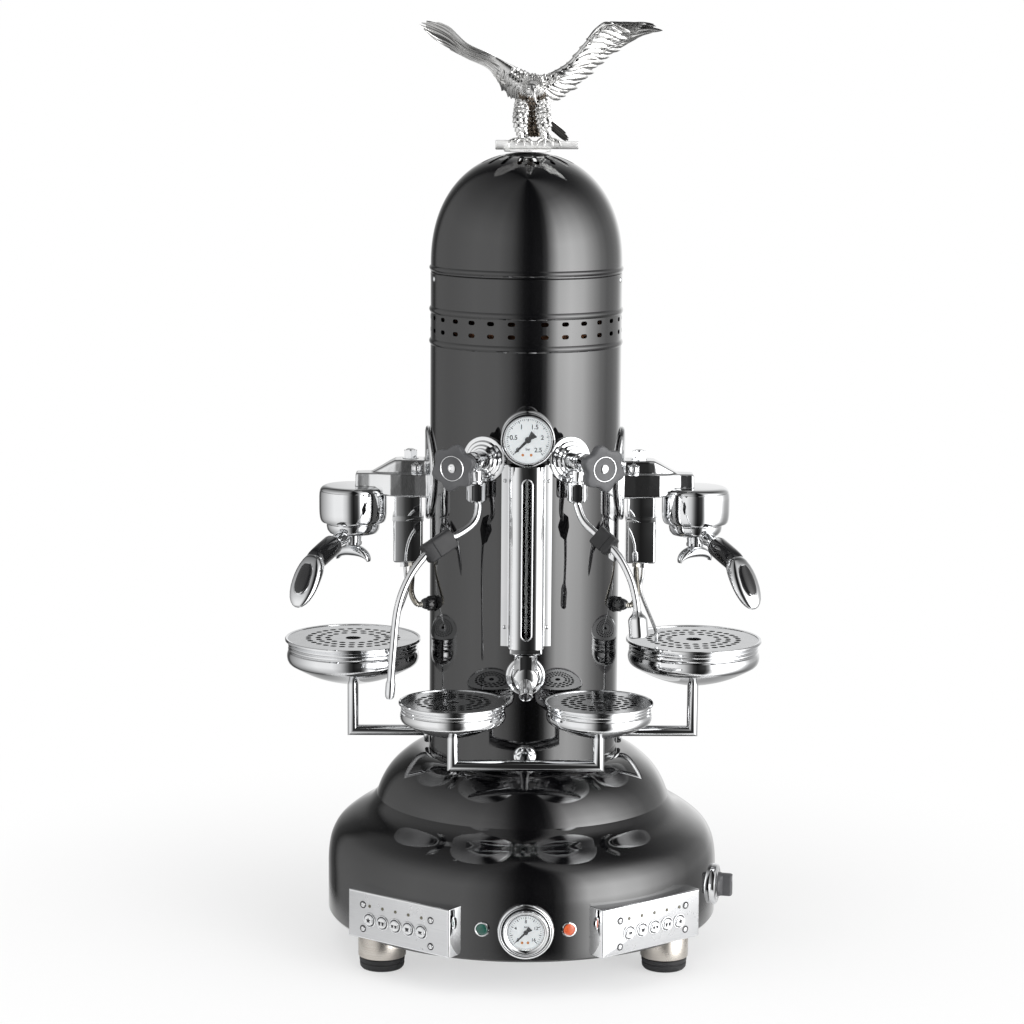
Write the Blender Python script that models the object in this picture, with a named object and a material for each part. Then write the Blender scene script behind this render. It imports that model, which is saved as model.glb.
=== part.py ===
"""Upright two-group espresso machine: bell base, vented boiler column, dome and eagle finial.

Metres, +Z up, the front faces -Y.  The column's axis is the part's own upright axis.
Each sub-part is one object.  The pieces on the right side are built on +X and mirrored for the left.
"""

import math

import bmesh
import bpy
from mathutils import Matrix, Vector

# Fits that every seat, bore and wrap uses
SEAT_GAP = 0.0003
RUNNING_GAP = 0.0005
CUT_OVERRUN = 0.004
FULL_TURN = 2 * math.pi

# Base: a pressed steel bell on four feet
FOOT_HEIGHT = 0.045
FOOT_RADIUS = 0.0305
FOOT_PAD_HEIGHT = 0.016
FOOT_PAD_RADIUS = 0.0285
FOOT_PAD_EDGE = 0.003
FOOT_SEGMENTS = 12
BASE_RADIUS = 0.2555
FOOT_INSET = 0.0309
FOOT_AZIMUTH = math.radians(53.7)
FOOT_X = (BASE_RADIUS - FOOT_INSET) * math.sin(FOOT_AZIMUTH)
FOOT_Y = (BASE_RADIUS - FOOT_INSET) * math.cos(FOOT_AZIMUTH)
BASE_WALL = 0.0025
BASE_TOP_HEIGHT = 0.260
BASE_LIP = 0.003
BASE_SHOULDER_HEIGHT = 0.118
BASE_SHOULDER_RISE = 0.079
BASE_STEP_HEIGHT = BASE_SHOULDER_HEIGHT + BASE_SHOULDER_RISE
BASE_SHOULDER_WIDTH = 0.064
BASE_STEP_RADIUS = BASE_RADIUS - BASE_SHOULDER_WIDTH
# Each pair: width and rise, as shares of the shoulder or the neck
BASE_SHOULDER_SHARES = ((0.06, 0.32), (0.25, 0.56), (0.65, 0.78))
BASE_NECK_SHARES = ((0.12, 0.34), (0.45, 0.74))
BASE_SEGMENTS = 36
BASE_PLATE_THICKNESS = 0.003

# Column: a rolled sheet tube with two rows of vents, closed by a dome
COLUMN_RADIUS = 0.123
COLUMN_WALL = 0.002
COLUMN_LENGTH = 0.622
COLUMN_TOP = BASE_TOP_HEIGHT + COLUMN_LENGTH
BEAD_RISE = 0.0018
VENT_COLUMNS = 28
VENT_WIDTH = 0.0097
VENT_HEIGHT = 0.0055
VENT_FRONT_GAP = 0.042
LOWER_VENT_DROP = 0.0725
UPPER_VENT_DROP = 0.0565
LOWER_VENT_HEIGHT = COLUMN_TOP - LOWER_VENT_DROP
UPPER_VENT_HEIGHT = COLUMN_TOP - UPPER_VENT_DROP
DOME_RISE = 0.1427
DOME_POWER = 2.2
DOME_WALL = 0.002
DOME_BEAD_HEIGHT = 0.010
DOME_SLOTS = 16
DOME_SLOT_INNER = 0.034
DOME_SLOT_OUTER = 0.060
DOME_SLOT_ANGLE = math.radians(8.5)
DOME_OUTER_SHARES = (0.18, 0.33, 0.46, 0.57)
DOME_INNER_SHARES = (0.26, 0.52)
FINIAL_STUD_RADIUS = 0.005
FINIAL_STUD_HEIGHT = 0.006

# Boiler: a copper vessel that stands inside the column on the base's flange
BOILER_CLEARANCE = 0.023
BOILER_RADIUS = COLUMN_RADIUS - BOILER_CLEARANCE
BOILER_FLANGE_OVERLAP = 0.005
BASE_FLANGE_BORE = BOILER_RADIUS - BOILER_FLANGE_OVERLAP
BOILER_WALL = 0.0025
BOILER_HEIGHT = 0.592
BOILER_CROWN = 0.035
BOILER_PORT_RADIUS = 0.012
BOILER_SKIRT_WIDTH = 0.014
BOILER_SKIRT_RADIUS = BOILER_RADIUS + BOILER_SKIRT_WIDTH
BOILER_SKIRT_HEIGHT = 0.004
BOILER_SEGMENTS = 14
BOILER_FLOOR_SHARE = 0.6
# Each pair: radius, and drop from the top as a share of the crown
BOILER_CROWN_SHARES = ((0.88, 0.45), (0.55, 0.1))

# Heights that stack up from the base: tube, side tray, cup, spout, filter holder, bell and arm
SIDE_TUBE_RISE = 0.0195
SIDE_TRAY_RISE = 0.1245
CUP_SPACE = 0.101
SPOUT_DROP = 0.022
SPOUT_BOSS_LENGTH = 0.014
HOLDER_DROP = 0.016
BELL_DROP = 0.065
SIDE_TUBE_HEIGHT = BASE_TOP_HEIGHT + SIDE_TUBE_RISE
SIDE_TRAY_RIM = SIDE_TUBE_HEIGHT + SIDE_TRAY_RISE
SPOUT_TIP_HEIGHT = SIDE_TRAY_RIM + CUP_SPACE
SPOUT_BOSS_BOTTOM = SPOUT_TIP_HEIGHT + SPOUT_DROP
HOLDER_BOTTOM = SPOUT_BOSS_BOTTOM + SPOUT_BOSS_LENGTH
BELL_BOTTOM = HOLDER_BOTTOM + HOLDER_DROP
GROUP_HEIGHT = BELL_BOTTOM + BELL_DROP

# Brew groups, one on each side of the column
GROUP_OVERHANG = 0.0995
GROUP_REACH = COLUMN_RADIUS + GROUP_OVERHANG
SADDLE_HALF_HEIGHT = 0.061
SADDLE_HALF_WIDTH = 0.046
SADDLE_THICKNESS = 0.006
SADDLE_SEGMENTS = 16
BELL_RADIUS = 0.044
BELL_HEIGHT = 0.048
BELL_TOP = BELL_BOTTOM + BELL_HEIGHT
BELL_ROUND = 0.005
BELL_SEGMENTS = 20
LEDGE_THICKNESS = 0.005
LUG_REACH = 0.0045
LUG_HALF_ANGLE = math.radians(20)
LUG_THICKNESS = 0.006
ARM_BLOCK_DEPTH = 0.028
ARM_BLOCK_TOP = GROUP_HEIGHT
ARM_BLOCK_BOTTOM = ARM_BLOCK_TOP - ARM_BLOCK_DEPTH
ARM_BLOCK_HALF_WIDTH = 0.028
ARM_BLOCK_LENGTH = 0.055
ARM_WAIST = COLUMN_RADIUS + ARM_BLOCK_LENGTH
ARM_NOSE_SETBACK = 0.0225
ARM_NOSE_SHORTFALL = 0.0035
ARM_NOSE_START = GROUP_REACH - ARM_NOSE_SETBACK
ARM_NOSE_END = GROUP_REACH - ARM_NOSE_SHORTFALL
ARM_NOSE_HALF_WIDTH = 0.015
RIDGE_RISE = 0.0185
RIDGE_TOP = ARM_BLOCK_TOP + RIDGE_RISE
RIDGE_HALF_WIDTH = 0.021
RIDGE_CREST_LENGTH = 0.050
RIDGE_FOOT_SETBACK = 0.0185
RIDGE_CREST_END = COLUMN_RADIUS + RIDGE_CREST_LENGTH
RIDGE_FOOT_END = GROUP_REACH - RIDGE_FOOT_SETBACK
BOLT_RADIUS = 0.0095
BOLT_HEIGHT = 0.011
BOLT_STAND = 0.025
BOLT_X = COLUMN_RADIUS + BOLT_STAND
ACORN_RADIUS = 0.008
ACORN_LENGTH = 0.013
ACORN_STAND = 0.017
ACORN_RISE = 0.009
ACORN_X = COLUMN_RADIUS + ACORN_STAND
ACORN_HEIGHT = ARM_BLOCK_TOP + ACORN_RISE

# Solenoid valve under each arm, with its thin drain pipe
SOLENOID_STAND = 0.009
SOLENOID_LENGTH = 0.038
SOLENOID_NEAR = COLUMN_RADIUS + SOLENOID_STAND
SOLENOID_FAR = SOLENOID_NEAR + SOLENOID_LENGTH
SOLENOID_HALF_WIDTH = 0.020
SOLENOID_HEAD_HEIGHT = 0.029
SOLENOID_CAN_HEIGHT = 0.059
SOLENOID_STEP_HEIGHT = ARM_BLOCK_BOTTOM - SOLENOID_HEAD_HEIGHT
SOLENOID_BOTTOM = SOLENOID_STEP_HEIGHT - SOLENOID_CAN_HEIGHT
SOLENOID_STEP = 0.0015
SOLENOID_EDGE = 0.003
DRAIN_PIPE_RADIUS = 0.0022
DRAIN_PIPE_SIDES = 6
DRAIN_PIPE_STEPS = 8
DRAIN_PIPE_CLEARANCE = 0.002
DRAIN_PIPE_END_SHARES = (0.58, 0.41)
DRAIN_KNEE_SHARE = 0.42
DRAIN_ANKLE_SHARES = (0.2, 0.3, 0.2)
DRAIN_FOOT_SHARE = 0.1

# Armoured conduit from each solenoid to a gland in the column
GLAND_AZIMUTH = math.radians(71.5)
GLAND_DROP = 0.049
GLAND_HEIGHT = SOLENOID_BOTTOM - GLAND_DROP
GLAND_RADIUS = 0.010
GLAND_LENGTH = 0.015
GLAND_NECK_RADIUS = 0.0065
CONDUIT_RADIUS = 0.0036
CONDUIT_VALLEY_RADIUS = 0.0030
CONDUIT_BORE_RADIUS = 0.0020
CONDUIT_RIBS = 14
CONDUIT_STRAIGHT = 0.008
CONDUIT_SIDES = 8
CONDUIT_EXIT_INSET = 0.014
CONDUIT_EXIT_X = SOLENOID_NEAR + CONDUIT_EXIT_INSET
CONDUIT_EXIT_Y = -0.004
CONDUIT_BORE_STEP = 4
# Each pair: how far forward, and how far up, as shares of the conduit's way
CONDUIT_BEND_SHARES = ((0.35, 0.55), (0.75, 0.22))
GLAND_NUT_SHARE = 0.55

# Filter holders
HOLDER_RADIUS = 0.0345
HOLDER_DEPTH = 0.045
HOLDER_RIM = HOLDER_BOTTOM + HOLDER_DEPTH
BASKET_WALL = 0.005
BASKET_RADIUS = HOLDER_RADIUS - BASKET_WALL
BASKET_FLOOR_RISE = 0.019
BASKET_FLOOR = HOLDER_BOTTOM + BASKET_FLOOR_RISE
HOLDER_ROUND = 0.006
HOLDER_SEGMENTS = 20
HOLDER_TURN = math.radians(30)
HOLDER_UNLOCK = math.radians(50)
SPOUT_BOSS_RADIUS = 0.010
SPOUT_REACH = 0.024
SPOUT_DEPTH_TAPER_SHARE = 0.5
SPOUT_WIDTH_TAPER_SHARE = 0.3
SPOUT_RADIUS = 0.0075
SPOUT_SIDES = 6
SPOUT_STEPS = 4
NECK_RADIUS = 0.0085
NECK_START = 0.030
NECK_END = 0.050
NECK_RISE = 0.0095
NECK_HEIGHT = HOLDER_BOTTOM + NECK_RISE
HANDLE_LENGTH = 0.114
HANDLE_HALF_WIDTH = 0.0195
HANDLE_HALF_DEPTH = 0.0135
HANDLE_SIDES = 10
HANDLE_STEP_SHARES = (0.0, 0.04, 0.32, 0.40, 0.50, 0.62, 0.76, 0.88, 0.96, 1.0)
HANDLE_SLOPES = (19, 19, 19, 30, 46, 52, 54, 55, 56, 56)
HANDLE_WIDTH_SHARES = (0.60, 0.69, 0.69, 0.74, 0.90, 1.0, 0.97, 0.80, 0.52, 0.22)
HANDLE_DEPTH_SHARES = (0.86, 1.0, 1.0, 0.96, 0.82, 0.70, 0.60, 0.50, 0.36, 0.18)

# Valves with lobed knobs, left and right of the pressure gauge
VALVE_AZIMUTH = math.radians(25.4)
VALVE_RISE = 0.0335
VALVE_HEIGHT = GROUP_HEIGHT + VALVE_RISE
VALVE_LENGTH = 0.097
ROSETTE_RADIUS = 0.029
ROSETTE_DEPTH = 0.014
VALVE_BODY_RADIUS = 0.0115
VALVE_NUT_RADIUS = 0.0135
VALVE_NUT_START = 0.044
VALVE_NUT_END = 0.058
VALVE_STEM_RADIUS = 0.005
# Each pair: radius as a share of the rosette's, and depth as a share of its depth
ROSETTE_SHARES = ((1.0, 0.3), (0.80, 0.6), (0.68, 1.0))
VALVE_SEGMENTS = 12
KNOB_RADIUS = 0.0295
KNOB_LOBES = 6
KNOB_LOBE_DEPTH_SHARE = 0.115
KNOB_POINTS = 24
KNOB_THICKNESS = 0.014
KNOB_HUB_RADIUS = 0.0125
KNOB_HUB_LENGTH = 0.016
KNOB_EDGE = 0.0025
KNOB_SOCKET_DEPTH = 0.014
SWIVEL_STAND = 0.0235
SWIVEL_DISTANCE = COLUMN_RADIUS + SWIVEL_STAND
SWIVEL_NECK_RADIUS = 0.0065
SWIVEL_NUT_RADIUS = 0.0125
SWIVEL_NECK_DROP = 0.028
SWIVEL_NUT_HEIGHT = 0.024
SWIVEL_NUT_TOP = VALVE_HEIGHT - SWIVEL_NECK_DROP
SWIVEL_NUT_BOTTOM = SWIVEL_NUT_TOP - SWIVEL_NUT_HEIGHT
SWIVEL_NUT_ROUND = 0.003

# Steam wand on the left and hot water wand on the right
WAND_RADIUS = 0.0047
WAND_SIDES = 8
WAND_STEPS = 13
STEAM_WAND_REACH = 0.106
STEAM_WAND_FORWARD = 0.066
STEAM_WAND_DROP = 0.2215
STEAM_WAND_REACH_SHARES = (0.0, -0.02, 0.03, 0.22, 0.42, 0.62, 0.80, 0.92, 0.97, 1.0)
STEAM_WAND_FORWARD_SHARES = (0.0, 0.04, 0.14, 0.28, 0.42, 0.56, 0.70, 0.82, 0.93, 1.0)
STEAM_WAND_DROP_SHARES = (0.0, 0.04, 0.12, 0.185, 0.22, 0.30, 0.42, 0.58, 0.80, 1.0)
STEAM_TIP_RADIUS = 0.0060
STEAM_TIP_LENGTH = 0.024
WATER_WAND_REACH = 0.074
WATER_WAND_FORWARD = 0.058
WATER_WAND_DROP = 0.134
WATER_WAND_REACH_SHARES = (0.0, 0.02, 0.12, 0.36, 0.56, 0.74, 0.90, 0.98, 1.0)
WATER_WAND_FORWARD_SHARES = (0.0, 0.06, 0.20, 0.38, 0.52, 0.66, 0.82, 0.94, 1.0)
WATER_WAND_DROP_SHARES = (0.0, 0.07, 0.19, 0.31, 0.40, 0.52, 0.70, 0.88, 1.0)
WATER_BELL_RADIUS = 0.0120
WATER_BELL_LENGTH = 0.034
WAND_END_LENGTH_SHARES = (0.0, 0.25, 0.4, 0.88, 1.0)
WAND_END_RADIUS_SHARES = (0.85, 1.0, 1.0, 0.8)
WAND_SOCKET_SHARE = 1.1
GRIP_HALF_WIDTH = 0.0125
GRIP_HALF_DEPTH = 0.0105
GRIP_START_SHARE = 0.34
GRIP_END_SHARE = 0.47

# Pressure gauge on the column and sight glass under it
GAUGE_RISE = 0.031
GAUGE_HEIGHT = VALVE_HEIGHT + GAUGE_RISE
GAUGE_STAND = 0.045
GAUGE_FRONT = COLUMN_RADIUS + GAUGE_STAND
GAUGE_BEZEL_RADIUS = 0.0337
GAUGE_CASE_RADIUS = 0.0305
GAUGE_DIAL_RADIUS = 0.0285
GAUGE_BEZEL_DEPTH = 0.010
GAUGE_DIAL_DEPTH = 0.006
GAUGE_GLASS_THICKNESS = 0.0012
GAUGE_SEGMENTS = 20
NEEDLE_PIN_RADIUS = 0.0022
NEEDLE_THICKNESS = 0.0010
NEEDLE_HALF_WIDTH = 0.0014
NEEDLE_REACH_SHARE = 0.82
NEEDLE_TAIL_SHARE = 0.36
NEEDLE_REST = math.radians(225)
COVER_GAUGE_DROP = 0.0365
COVER_LENGTH = 0.2315
COVER_BODY_OVERHANG = 0.0075
COVER_TOP = GAUGE_HEIGHT - COVER_GAUGE_DROP
COVER_FLANGE_BOTTOM = COVER_TOP - COVER_LENGTH
COVER_BODY_BOTTOM = COVER_FLANGE_BOTTOM - COVER_BODY_OVERHANG
COVER_HALF_WIDTH = 0.0317
COVER_BODY_HALF_WIDTH = 0.0229
COVER_FLANGE_STAND = 0.0045
COVER_BODY_STAND = 0.027
COVER_FLANGE_FRONT = COLUMN_RADIUS + COVER_FLANGE_STAND
COVER_BODY_FRONT = COLUMN_RADIUS + COVER_BODY_STAND
COVER_THICKNESS = 0.0020
COVER_SLOT_HALF_WIDTH = 0.0060
COVER_SLOT_TOP_MARGIN = 0.016
COVER_SLOT_BOTTOM_MARGIN = 0.0125
COVER_SLOT_TOP = COVER_TOP - COVER_SLOT_TOP_MARGIN
COVER_SLOT_BOTTOM = COVER_FLANGE_BOTTOM + COVER_SLOT_BOTTOM_MARGIN
COVER_ARC_STEPS = 8
GLASS_TUBE_RADIUS = 0.0062
GLASS_TUBE_STAND = 0.0145
GLASS_TUBE_DISTANCE = COLUMN_RADIUS + GLASS_TUBE_STAND
GLASS_TUBE_SIDES = 14
COCK_DROP = 0.031
COCK_HEIGHT = COVER_BODY_BOTTOM - COCK_DROP
COCK_FLANGE_RADIUS = 0.025
COCK_FLANGE_DEPTH = 0.006
COCK_BODY_RADIUS = 0.0165
COCK_BODY_STAND = 0.029
COCK_BODY_FRONT = COLUMN_RADIUS + COCK_BODY_STAND
COCK_NUT_RADIUS = 0.0145
COCK_NOZZLE_RADIUS = 0.0085
COCK_NOZZLE_LENGTH = 0.024
COCK_FLANGE_STEP_SHARE = 1.5
COCK_NOZZLE_SLOPE = math.radians(40)

# Cup trays
TUBE_RADIUS = 0.0072
TUBE_SIDES = 10
SIDE_TRAY_STAND = 0.100
SIDE_TRAY_REACH = COLUMN_RADIUS + SIDE_TRAY_STAND
SIDE_TRAY_RADIUS = 0.0886
SIDE_TRAY_DEPTH = 0.064
SIDE_ROSETTE_RADIUS = 0.016
SIDE_ROSETTE_DEPTH = 0.006
FRONT_TRAY_X = 0.0915
FRONT_TRAY_STAND = 0.050
FRONT_TRAY_Y = -(COLUMN_RADIUS + FRONT_TRAY_STAND)
FRONT_TUBE_RISE = 0.0155
FRONT_TRAY_RISE = 0.0825
FRONT_TRAY_RADIUS = 0.0680
FRONT_TRAY_DEPTH = 0.050
FRONT_TUBE_HEIGHT = BASE_TOP_HEIGHT + FRONT_TUBE_RISE
FRONT_TRAY_RIM = FRONT_TUBE_HEIGHT + FRONT_TRAY_RISE
FRONT_BOSS_RADIUS = 0.0145
FRONT_BOSS_DEPTH = 0.010
FRONT_BOSS_NECK_RADIUS = 0.010
TRAY_SEGMENTS = 20
TRAY_OUTER_RADIUS_SHARES = (1.0, 1.0, 0.955, 0.955, 0.925, 0.64)
TRAY_OUTER_DEPTH_SHARES = (0.0, 0.075, 0.11, 0.38, 0.45, 0.74)
TRAY_INNER_RADIUS_SHARES = (0.90, 0.61)
TRAY_INNER_DEPTH_SHARES = (0.38, 0.68)
TRAY_FLOOR_SHARE = 0.94
TRAY_TUBE_SHARE = 0.965
GRATE_DROP = 0.0012
GRATE_THICKNESS = 0.0020
GRATE_LEDGE = 0.0035
GRATE_RIM_WALL = 0.0030
GRATE_HOLE_SHARE = 0.16
GRATE_ROW_SHARES = (0.44, 0.70)
GRATE_ROW_COUNTS = (6, 10)
GRATE_SLOT_LENGTH_SHARE = 0.22
GRATE_SLOT_WIDTH_SHARE = 0.08

# Keypads
KEYPAD_AZIMUTH = math.radians(36.5)
KEYPAD_STAND = 0.012
KEYPAD_DISTANCE = BASE_RADIUS + KEYPAD_STAND
KEYPAD_WIDTH = 0.159
KEYPAD_BOTTOM = 0.052
KEYPAD_HEIGHT = 0.062
KEYPAD_TOP = KEYPAD_BOTTOM + KEYPAD_HEIGHT
KEYPAD_WALL = 0.0018
KEYPAD_EDGE = 0.002
BUTTON_COUNT = 5
BUTTON_PITCH = 0.0205
BUTTON_ROW_SHIFT = 0.004
BUTTON_RISE = 0.0265
BUTTON_HEIGHT = KEYPAD_BOTTOM + BUTTON_RISE
BUTTON_RADIUS = 0.0072
BUTTON_PROUD = 0.0030
BUTTON_BACK = 0.0025
BUTTON_SEGMENTS = 8

# Pump gauge, pilot lamps and power switch on the base's skirt
SKIRT_PANEL_HEIGHT = 0.0865
PUMP_GAUGE_STAND = 0.0135
PUMP_GAUGE_FRONT = BASE_RADIUS + PUMP_GAUGE_STAND
PUMP_BEZEL_RADIUS = 0.0352
PUMP_STEP_RADIUS = 0.0290
PUMP_DIAL_RADIUS = 0.0238
PUMP_STEP_DEPTH = 0.005
PUMP_STEP_SHARE = 1.5
PUMP_STEM_RADIUS = 0.014
PUMP_STEM_LENGTH = 0.020
LAMP_AZIMUTH = math.radians(12.2)
LAMP_RADIUS = 0.0095
LAMP_LENS_RADIUS = 0.0072
LAMP_PROUD = 0.0035
LAMP_STEM_RADIUS = 0.006
LAMP_STEM_LENGTH = 0.014
SWITCH_AZIMUTH = math.radians(76)
SWITCH_HEIGHT = 0.090
SWITCH_BEZEL_RADIUS = 0.0265
SWITCH_BEZEL_DEPTH = 0.0075
SWITCH_KNOB_RADIUS = 0.0158
SWITCH_KNOB_LENGTH = 0.0185
SWITCH_KNOB_FLAT_SHARE = 0.42
SWITCH_STEM_RADIUS = 0.008
SWITCH_STEM_LENGTH = 0.020
PANEL_SEGMENTS = 14

# Eagle finial: a generic spread eagle on a short perch bar
PERCH_HALF_LENGTH = 0.053
PERCH_SHIFT = 0.012
PERCH_RADIUS = 0.0062
PERCH_PLATE_RADIUS = 0.030
PERCH_PLATE_THICKNESS = 0.0035
PERCH_SEAT_SINK = 0.0012
# Each pair: place along the bar from its middle as a share of its half length, and share of its radius
PERCH_STEP_SHARES = ((-1.0, 1.0), (-0.75, 1.0), (-0.74, 0.82), (1.0, 0.82))
EAGLE_HEIGHT = 0.1565
EAGLE_BODY_RADIUS = 0.022
EAGLE_SIDES = 8
# Places are (across as a share of the perch's shift, back and up as shares of the eagle's height)
BODY_ACROSS_SHARE = 0.45
BODY_TILT = math.radians(40)
# Each: back, up, then width and depth as shares of the body's radius
BODY_SHARES = ((0.15, 0.17, 0.30, 0.22), (0.10, 0.26, 0.74, 0.62), (0.03, 0.37, 1.0, 0.92),
               (-0.06, 0.49, 0.96, 0.9), (-0.15, 0.57, 0.58, 0.6))
HEAD_PLACE_SHARES = (0.2, -0.22, 0.47)
HEAD_TILT = math.radians(-20)
HEAD_WAY_SHARES = (0.22, 0.60)
HEAD_SIZE_SHARES = (0.56, 0.60)
# Each pair: place from the crown to the beak's tip, and size as a share of the head's
HEAD_STEP_SHARES = ((-1.0, 0.62), (-0.35, 0.95), (0.35, 0.9), (0.85, 0.5), (1.5, 0.22), (2.0, 0.06))
NECK_START_SHARES = (0.35, -0.07, 0.52)
NECK_END_SHARES = (0.25, -0.20, 0.53)
NECK_SIZE_SHARES = (0.66, 0.5)
HIP_SHARES = (0.45, 0.03, 0.34)
HIP_SPREAD_SHARE = 0.5
ANKLE_ACROSS_SHARE = 0.9
ANKLE_SPREAD_SHARE = 0.75
ANKLE_RISE_SHARE = 1.1
CLAW_SHARES = (0.2, 0.4)
THIGH_SHARE = 0.55
LEG_SIZE_SHARES = (0.42, 0.34, 0.19, 0.30)
TAIL_PLACE_SHARES = (0.6, 0.07, 0.27)
TAIL_WAY_SHARES = (0.17, 0.22, -0.2)
TAIL_TILT = math.radians(53)
# Each: place along the tail, then width and depth as shares of the body's radius
TAIL_STEP_SHARES = ((0.0, 0.42, 0.3), (0.5, 0.6, 0.17), (1.0, 0.78, 0.1))
LIMB_SIDES = 6
WING_THICKNESS = 0.0048
WING_SPAN_LEFT = 0.137
WING_SPAN_RIGHT = 0.170
# Each: reach as a share of the span, then leading and trailing edge, height and depth,
# as shares of the eagle's height
LEFT_WING_SHARES = (
    (0.015, 0.551, 0.346, -0.026, 0.038), (0.117, 0.627, 0.372, -0.038, 0.09),
    (0.219, 0.672, 0.442, -0.05, 0.153), (0.35, 0.730, 0.608, -0.064, 0.217),
    (0.56, 0.806, 0.698, -0.077, 0.243), (0.73, 0.934, 0.774, -0.064, 0.217),
    (0.876, 0.985, 0.857, -0.04, 0.14), (1.0, 0.998, 0.96, -0.013, 0.04))
RIGHT_WING_SHARES = (
    (0.05, 0.532, 0.263, -0.026, 0.05), (0.18, 0.589, 0.314, -0.038, 0.077),
    (0.31, 0.679, 0.410, -0.05, 0.09), (0.45, 0.864, 0.544, -0.05, 0.10),
    (0.58, 0.966, 0.691, -0.04, 0.10), (0.71, 0.992, 0.806, -0.026, 0.09),
    (0.86, 0.998, 0.896, -0.013, 0.064), (1.0, 0.960, 0.931, 0.0, 0.026))


def clear_scene():
    """Start from nothing."""
    for existing in list(bpy.data.objects):
        bpy.data.objects.remove(existing, do_unlink=True)


def make_material(name, colour, metallic, roughness, transmission=0.0):
    """One Principled material for a sub-part."""
    material = bpy.data.materials.new(name)
    material.use_nodes = True
    shader = material.node_tree.nodes["Principled BSDF"]
    shader.inputs["Base Color"].default_value = (*colour, 1.0)
    shader.inputs["Metallic"].default_value = metallic
    shader.inputs["Roughness"].default_value = roughness
    shader.inputs["Transmission Weight"].default_value = transmission
    material.diffuse_color = (*colour, 1.0)
    return material


FINISHES = {
    "black_enamel": ((0.012, 0.012, 0.013), 0.0, 0.08, 0.0),
    "chrome": ((0.86, 0.87, 0.88), 1.0, 0.06, 0.0),
    "brushed_steel": ((0.62, 0.59, 0.55), 1.0, 0.32, 0.0),
    "satin_steel": ((0.66, 0.68, 0.70), 1.0, 0.24, 0.0),
    "copper": ((0.72, 0.33, 0.18), 1.0, 0.28, 0.0),
    "black_plastic": ((0.045, 0.045, 0.047), 0.0, 0.42, 0.0),
    "black_gloss": ((0.02, 0.02, 0.021), 0.0, 0.12, 0.0),
    "rubber_grip": ((0.03, 0.03, 0.03), 0.0, 0.6, 0.0),
    "clear_glass": ((0.94, 0.96, 0.96), 0.0, 0.03, 1.0),
    "green_lens": ((0.01, 0.16, 0.09), 0.0, 0.15, 0.0),
    "amber_lens": ((0.75, 0.16, 0.03), 0.0, 0.15, 0.0),
}


def finish(name):
    """The shared material of this name, made at its first use."""
    existing = bpy.data.materials.get(name)
    if existing:
        return existing
    colour, metallic, roughness, transmission = FINISHES[name]
    return make_material(name, colour, metallic, roughness, transmission)


def circle_angles(count, start=0.0):
    """Evenly spaced angles for a round shape."""
    return [start + FULL_TURN * index / count for index in range(count)]


def point_outwards(bm):
    """Make the faces of one closed body look out."""
    bmesh.ops.recalc_face_normals(bm, faces=bm.faces)
    if bm.calc_volume(signed=True) < 0:
        bmesh.ops.reverse_faces(bm, faces=bm.faces)
    return bm


def lathe(profile, angles, openings=()):
    """Turn a loop of (radius, height) points round Z; two points on the axis in a row are a solid core.

    openings lists (row, other row, column): the faces of both rows in that column are left out and
    the two edges are walled to each other, which pierces the shell there.
    """
    bm = bmesh.new()
    rings = []
    for radius, height in profile:
        if radius == 0:
            rings.append([bm.verts.new((0, 0, height))])
        else:
            rings.append([bm.verts.new((radius * math.sin(angle), -radius * math.cos(angle), height))
                          for angle in angles])
    left_out = {(row, column) for first, second, column in openings for row in (first, second)}
    count = len(angles)
    for row, low in enumerate(rings):
        high = rings[(row + 1) % len(rings)]
        for column in range(count):
            after = (column + 1) % count
            if (row, column) in left_out:
                continue
            if len(low) == 1 and len(high) == 1:
                continue
            if len(low) == 1:
                bm.faces.new((low[0], high[column], high[after]))
            elif len(high) == 1:
                bm.faces.new((low[column], low[after], high[0]))
            else:
                bm.faces.new((low[column], low[after], high[after], high[column]))
    for first, second, column in openings:
        after = (column + 1) % count
        outer = (rings[first][column], rings[first][after],
                 rings[first + 1][after], rings[first + 1][column])
        inner = (rings[second + 1][column], rings[second + 1][after],
                 rings[second][after], rings[second][column])
        for corner in range(4):
            following = (corner + 1) % 4
            bm.faces.new((outer[corner], outer[following], inner[following], inner[corner]))
    return point_outwards(bm)


def loft(rings):
    """Skin equal rings of points into one closed body with flat ends."""
    bm = bmesh.new()
    levels = [[bm.verts.new(point) for point in ring] for ring in rings]
    count = len(levels[0])
    for low, high in zip(levels, levels[1:]):
        for index in range(count):
            after = (index + 1) % count
            bm.faces.new((low[index], low[after], high[after], high[index]))
    bm.faces.new(levels[0])
    bm.faces.new(levels[-1])
    return point_outwards(bm)


def smooth_route(points, steps):
    """Points at even steps along a smooth curve through the given points."""
    samples = []
    fine = 12
    ends = [points[0] * 2 - points[1]] + list(points) + [points[-1] * 2 - points[-2]]
    for before, start, end, after in zip(ends, ends[1:], ends[2:], ends[3:]):
        for index in range(fine):
            t = index / fine
            samples.append(0.5 * (2 * start + (end - before) * t
                                  + (2 * before - 5 * start + 4 * end - after) * t ** 2
                                  + (3 * start - before - 3 * end + after) * t ** 3))
    samples.append(points[-1])
    lengths = [0.0]
    for first, second in zip(samples, samples[1:]):
        lengths.append(lengths[-1] + (second - first).length)
    route = []
    index = 0
    for step in range(steps + 1):
        wanted = lengths[-1] * step / steps
        while index < len(lengths) - 2 and lengths[index + 1] < wanted:
            index += 1
        part = (wanted - lengths[index]) / (lengths[index + 1] - lengths[index])
        route.append(samples[index].lerp(samples[index + 1], min(part, 1.0)))
    return route


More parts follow.
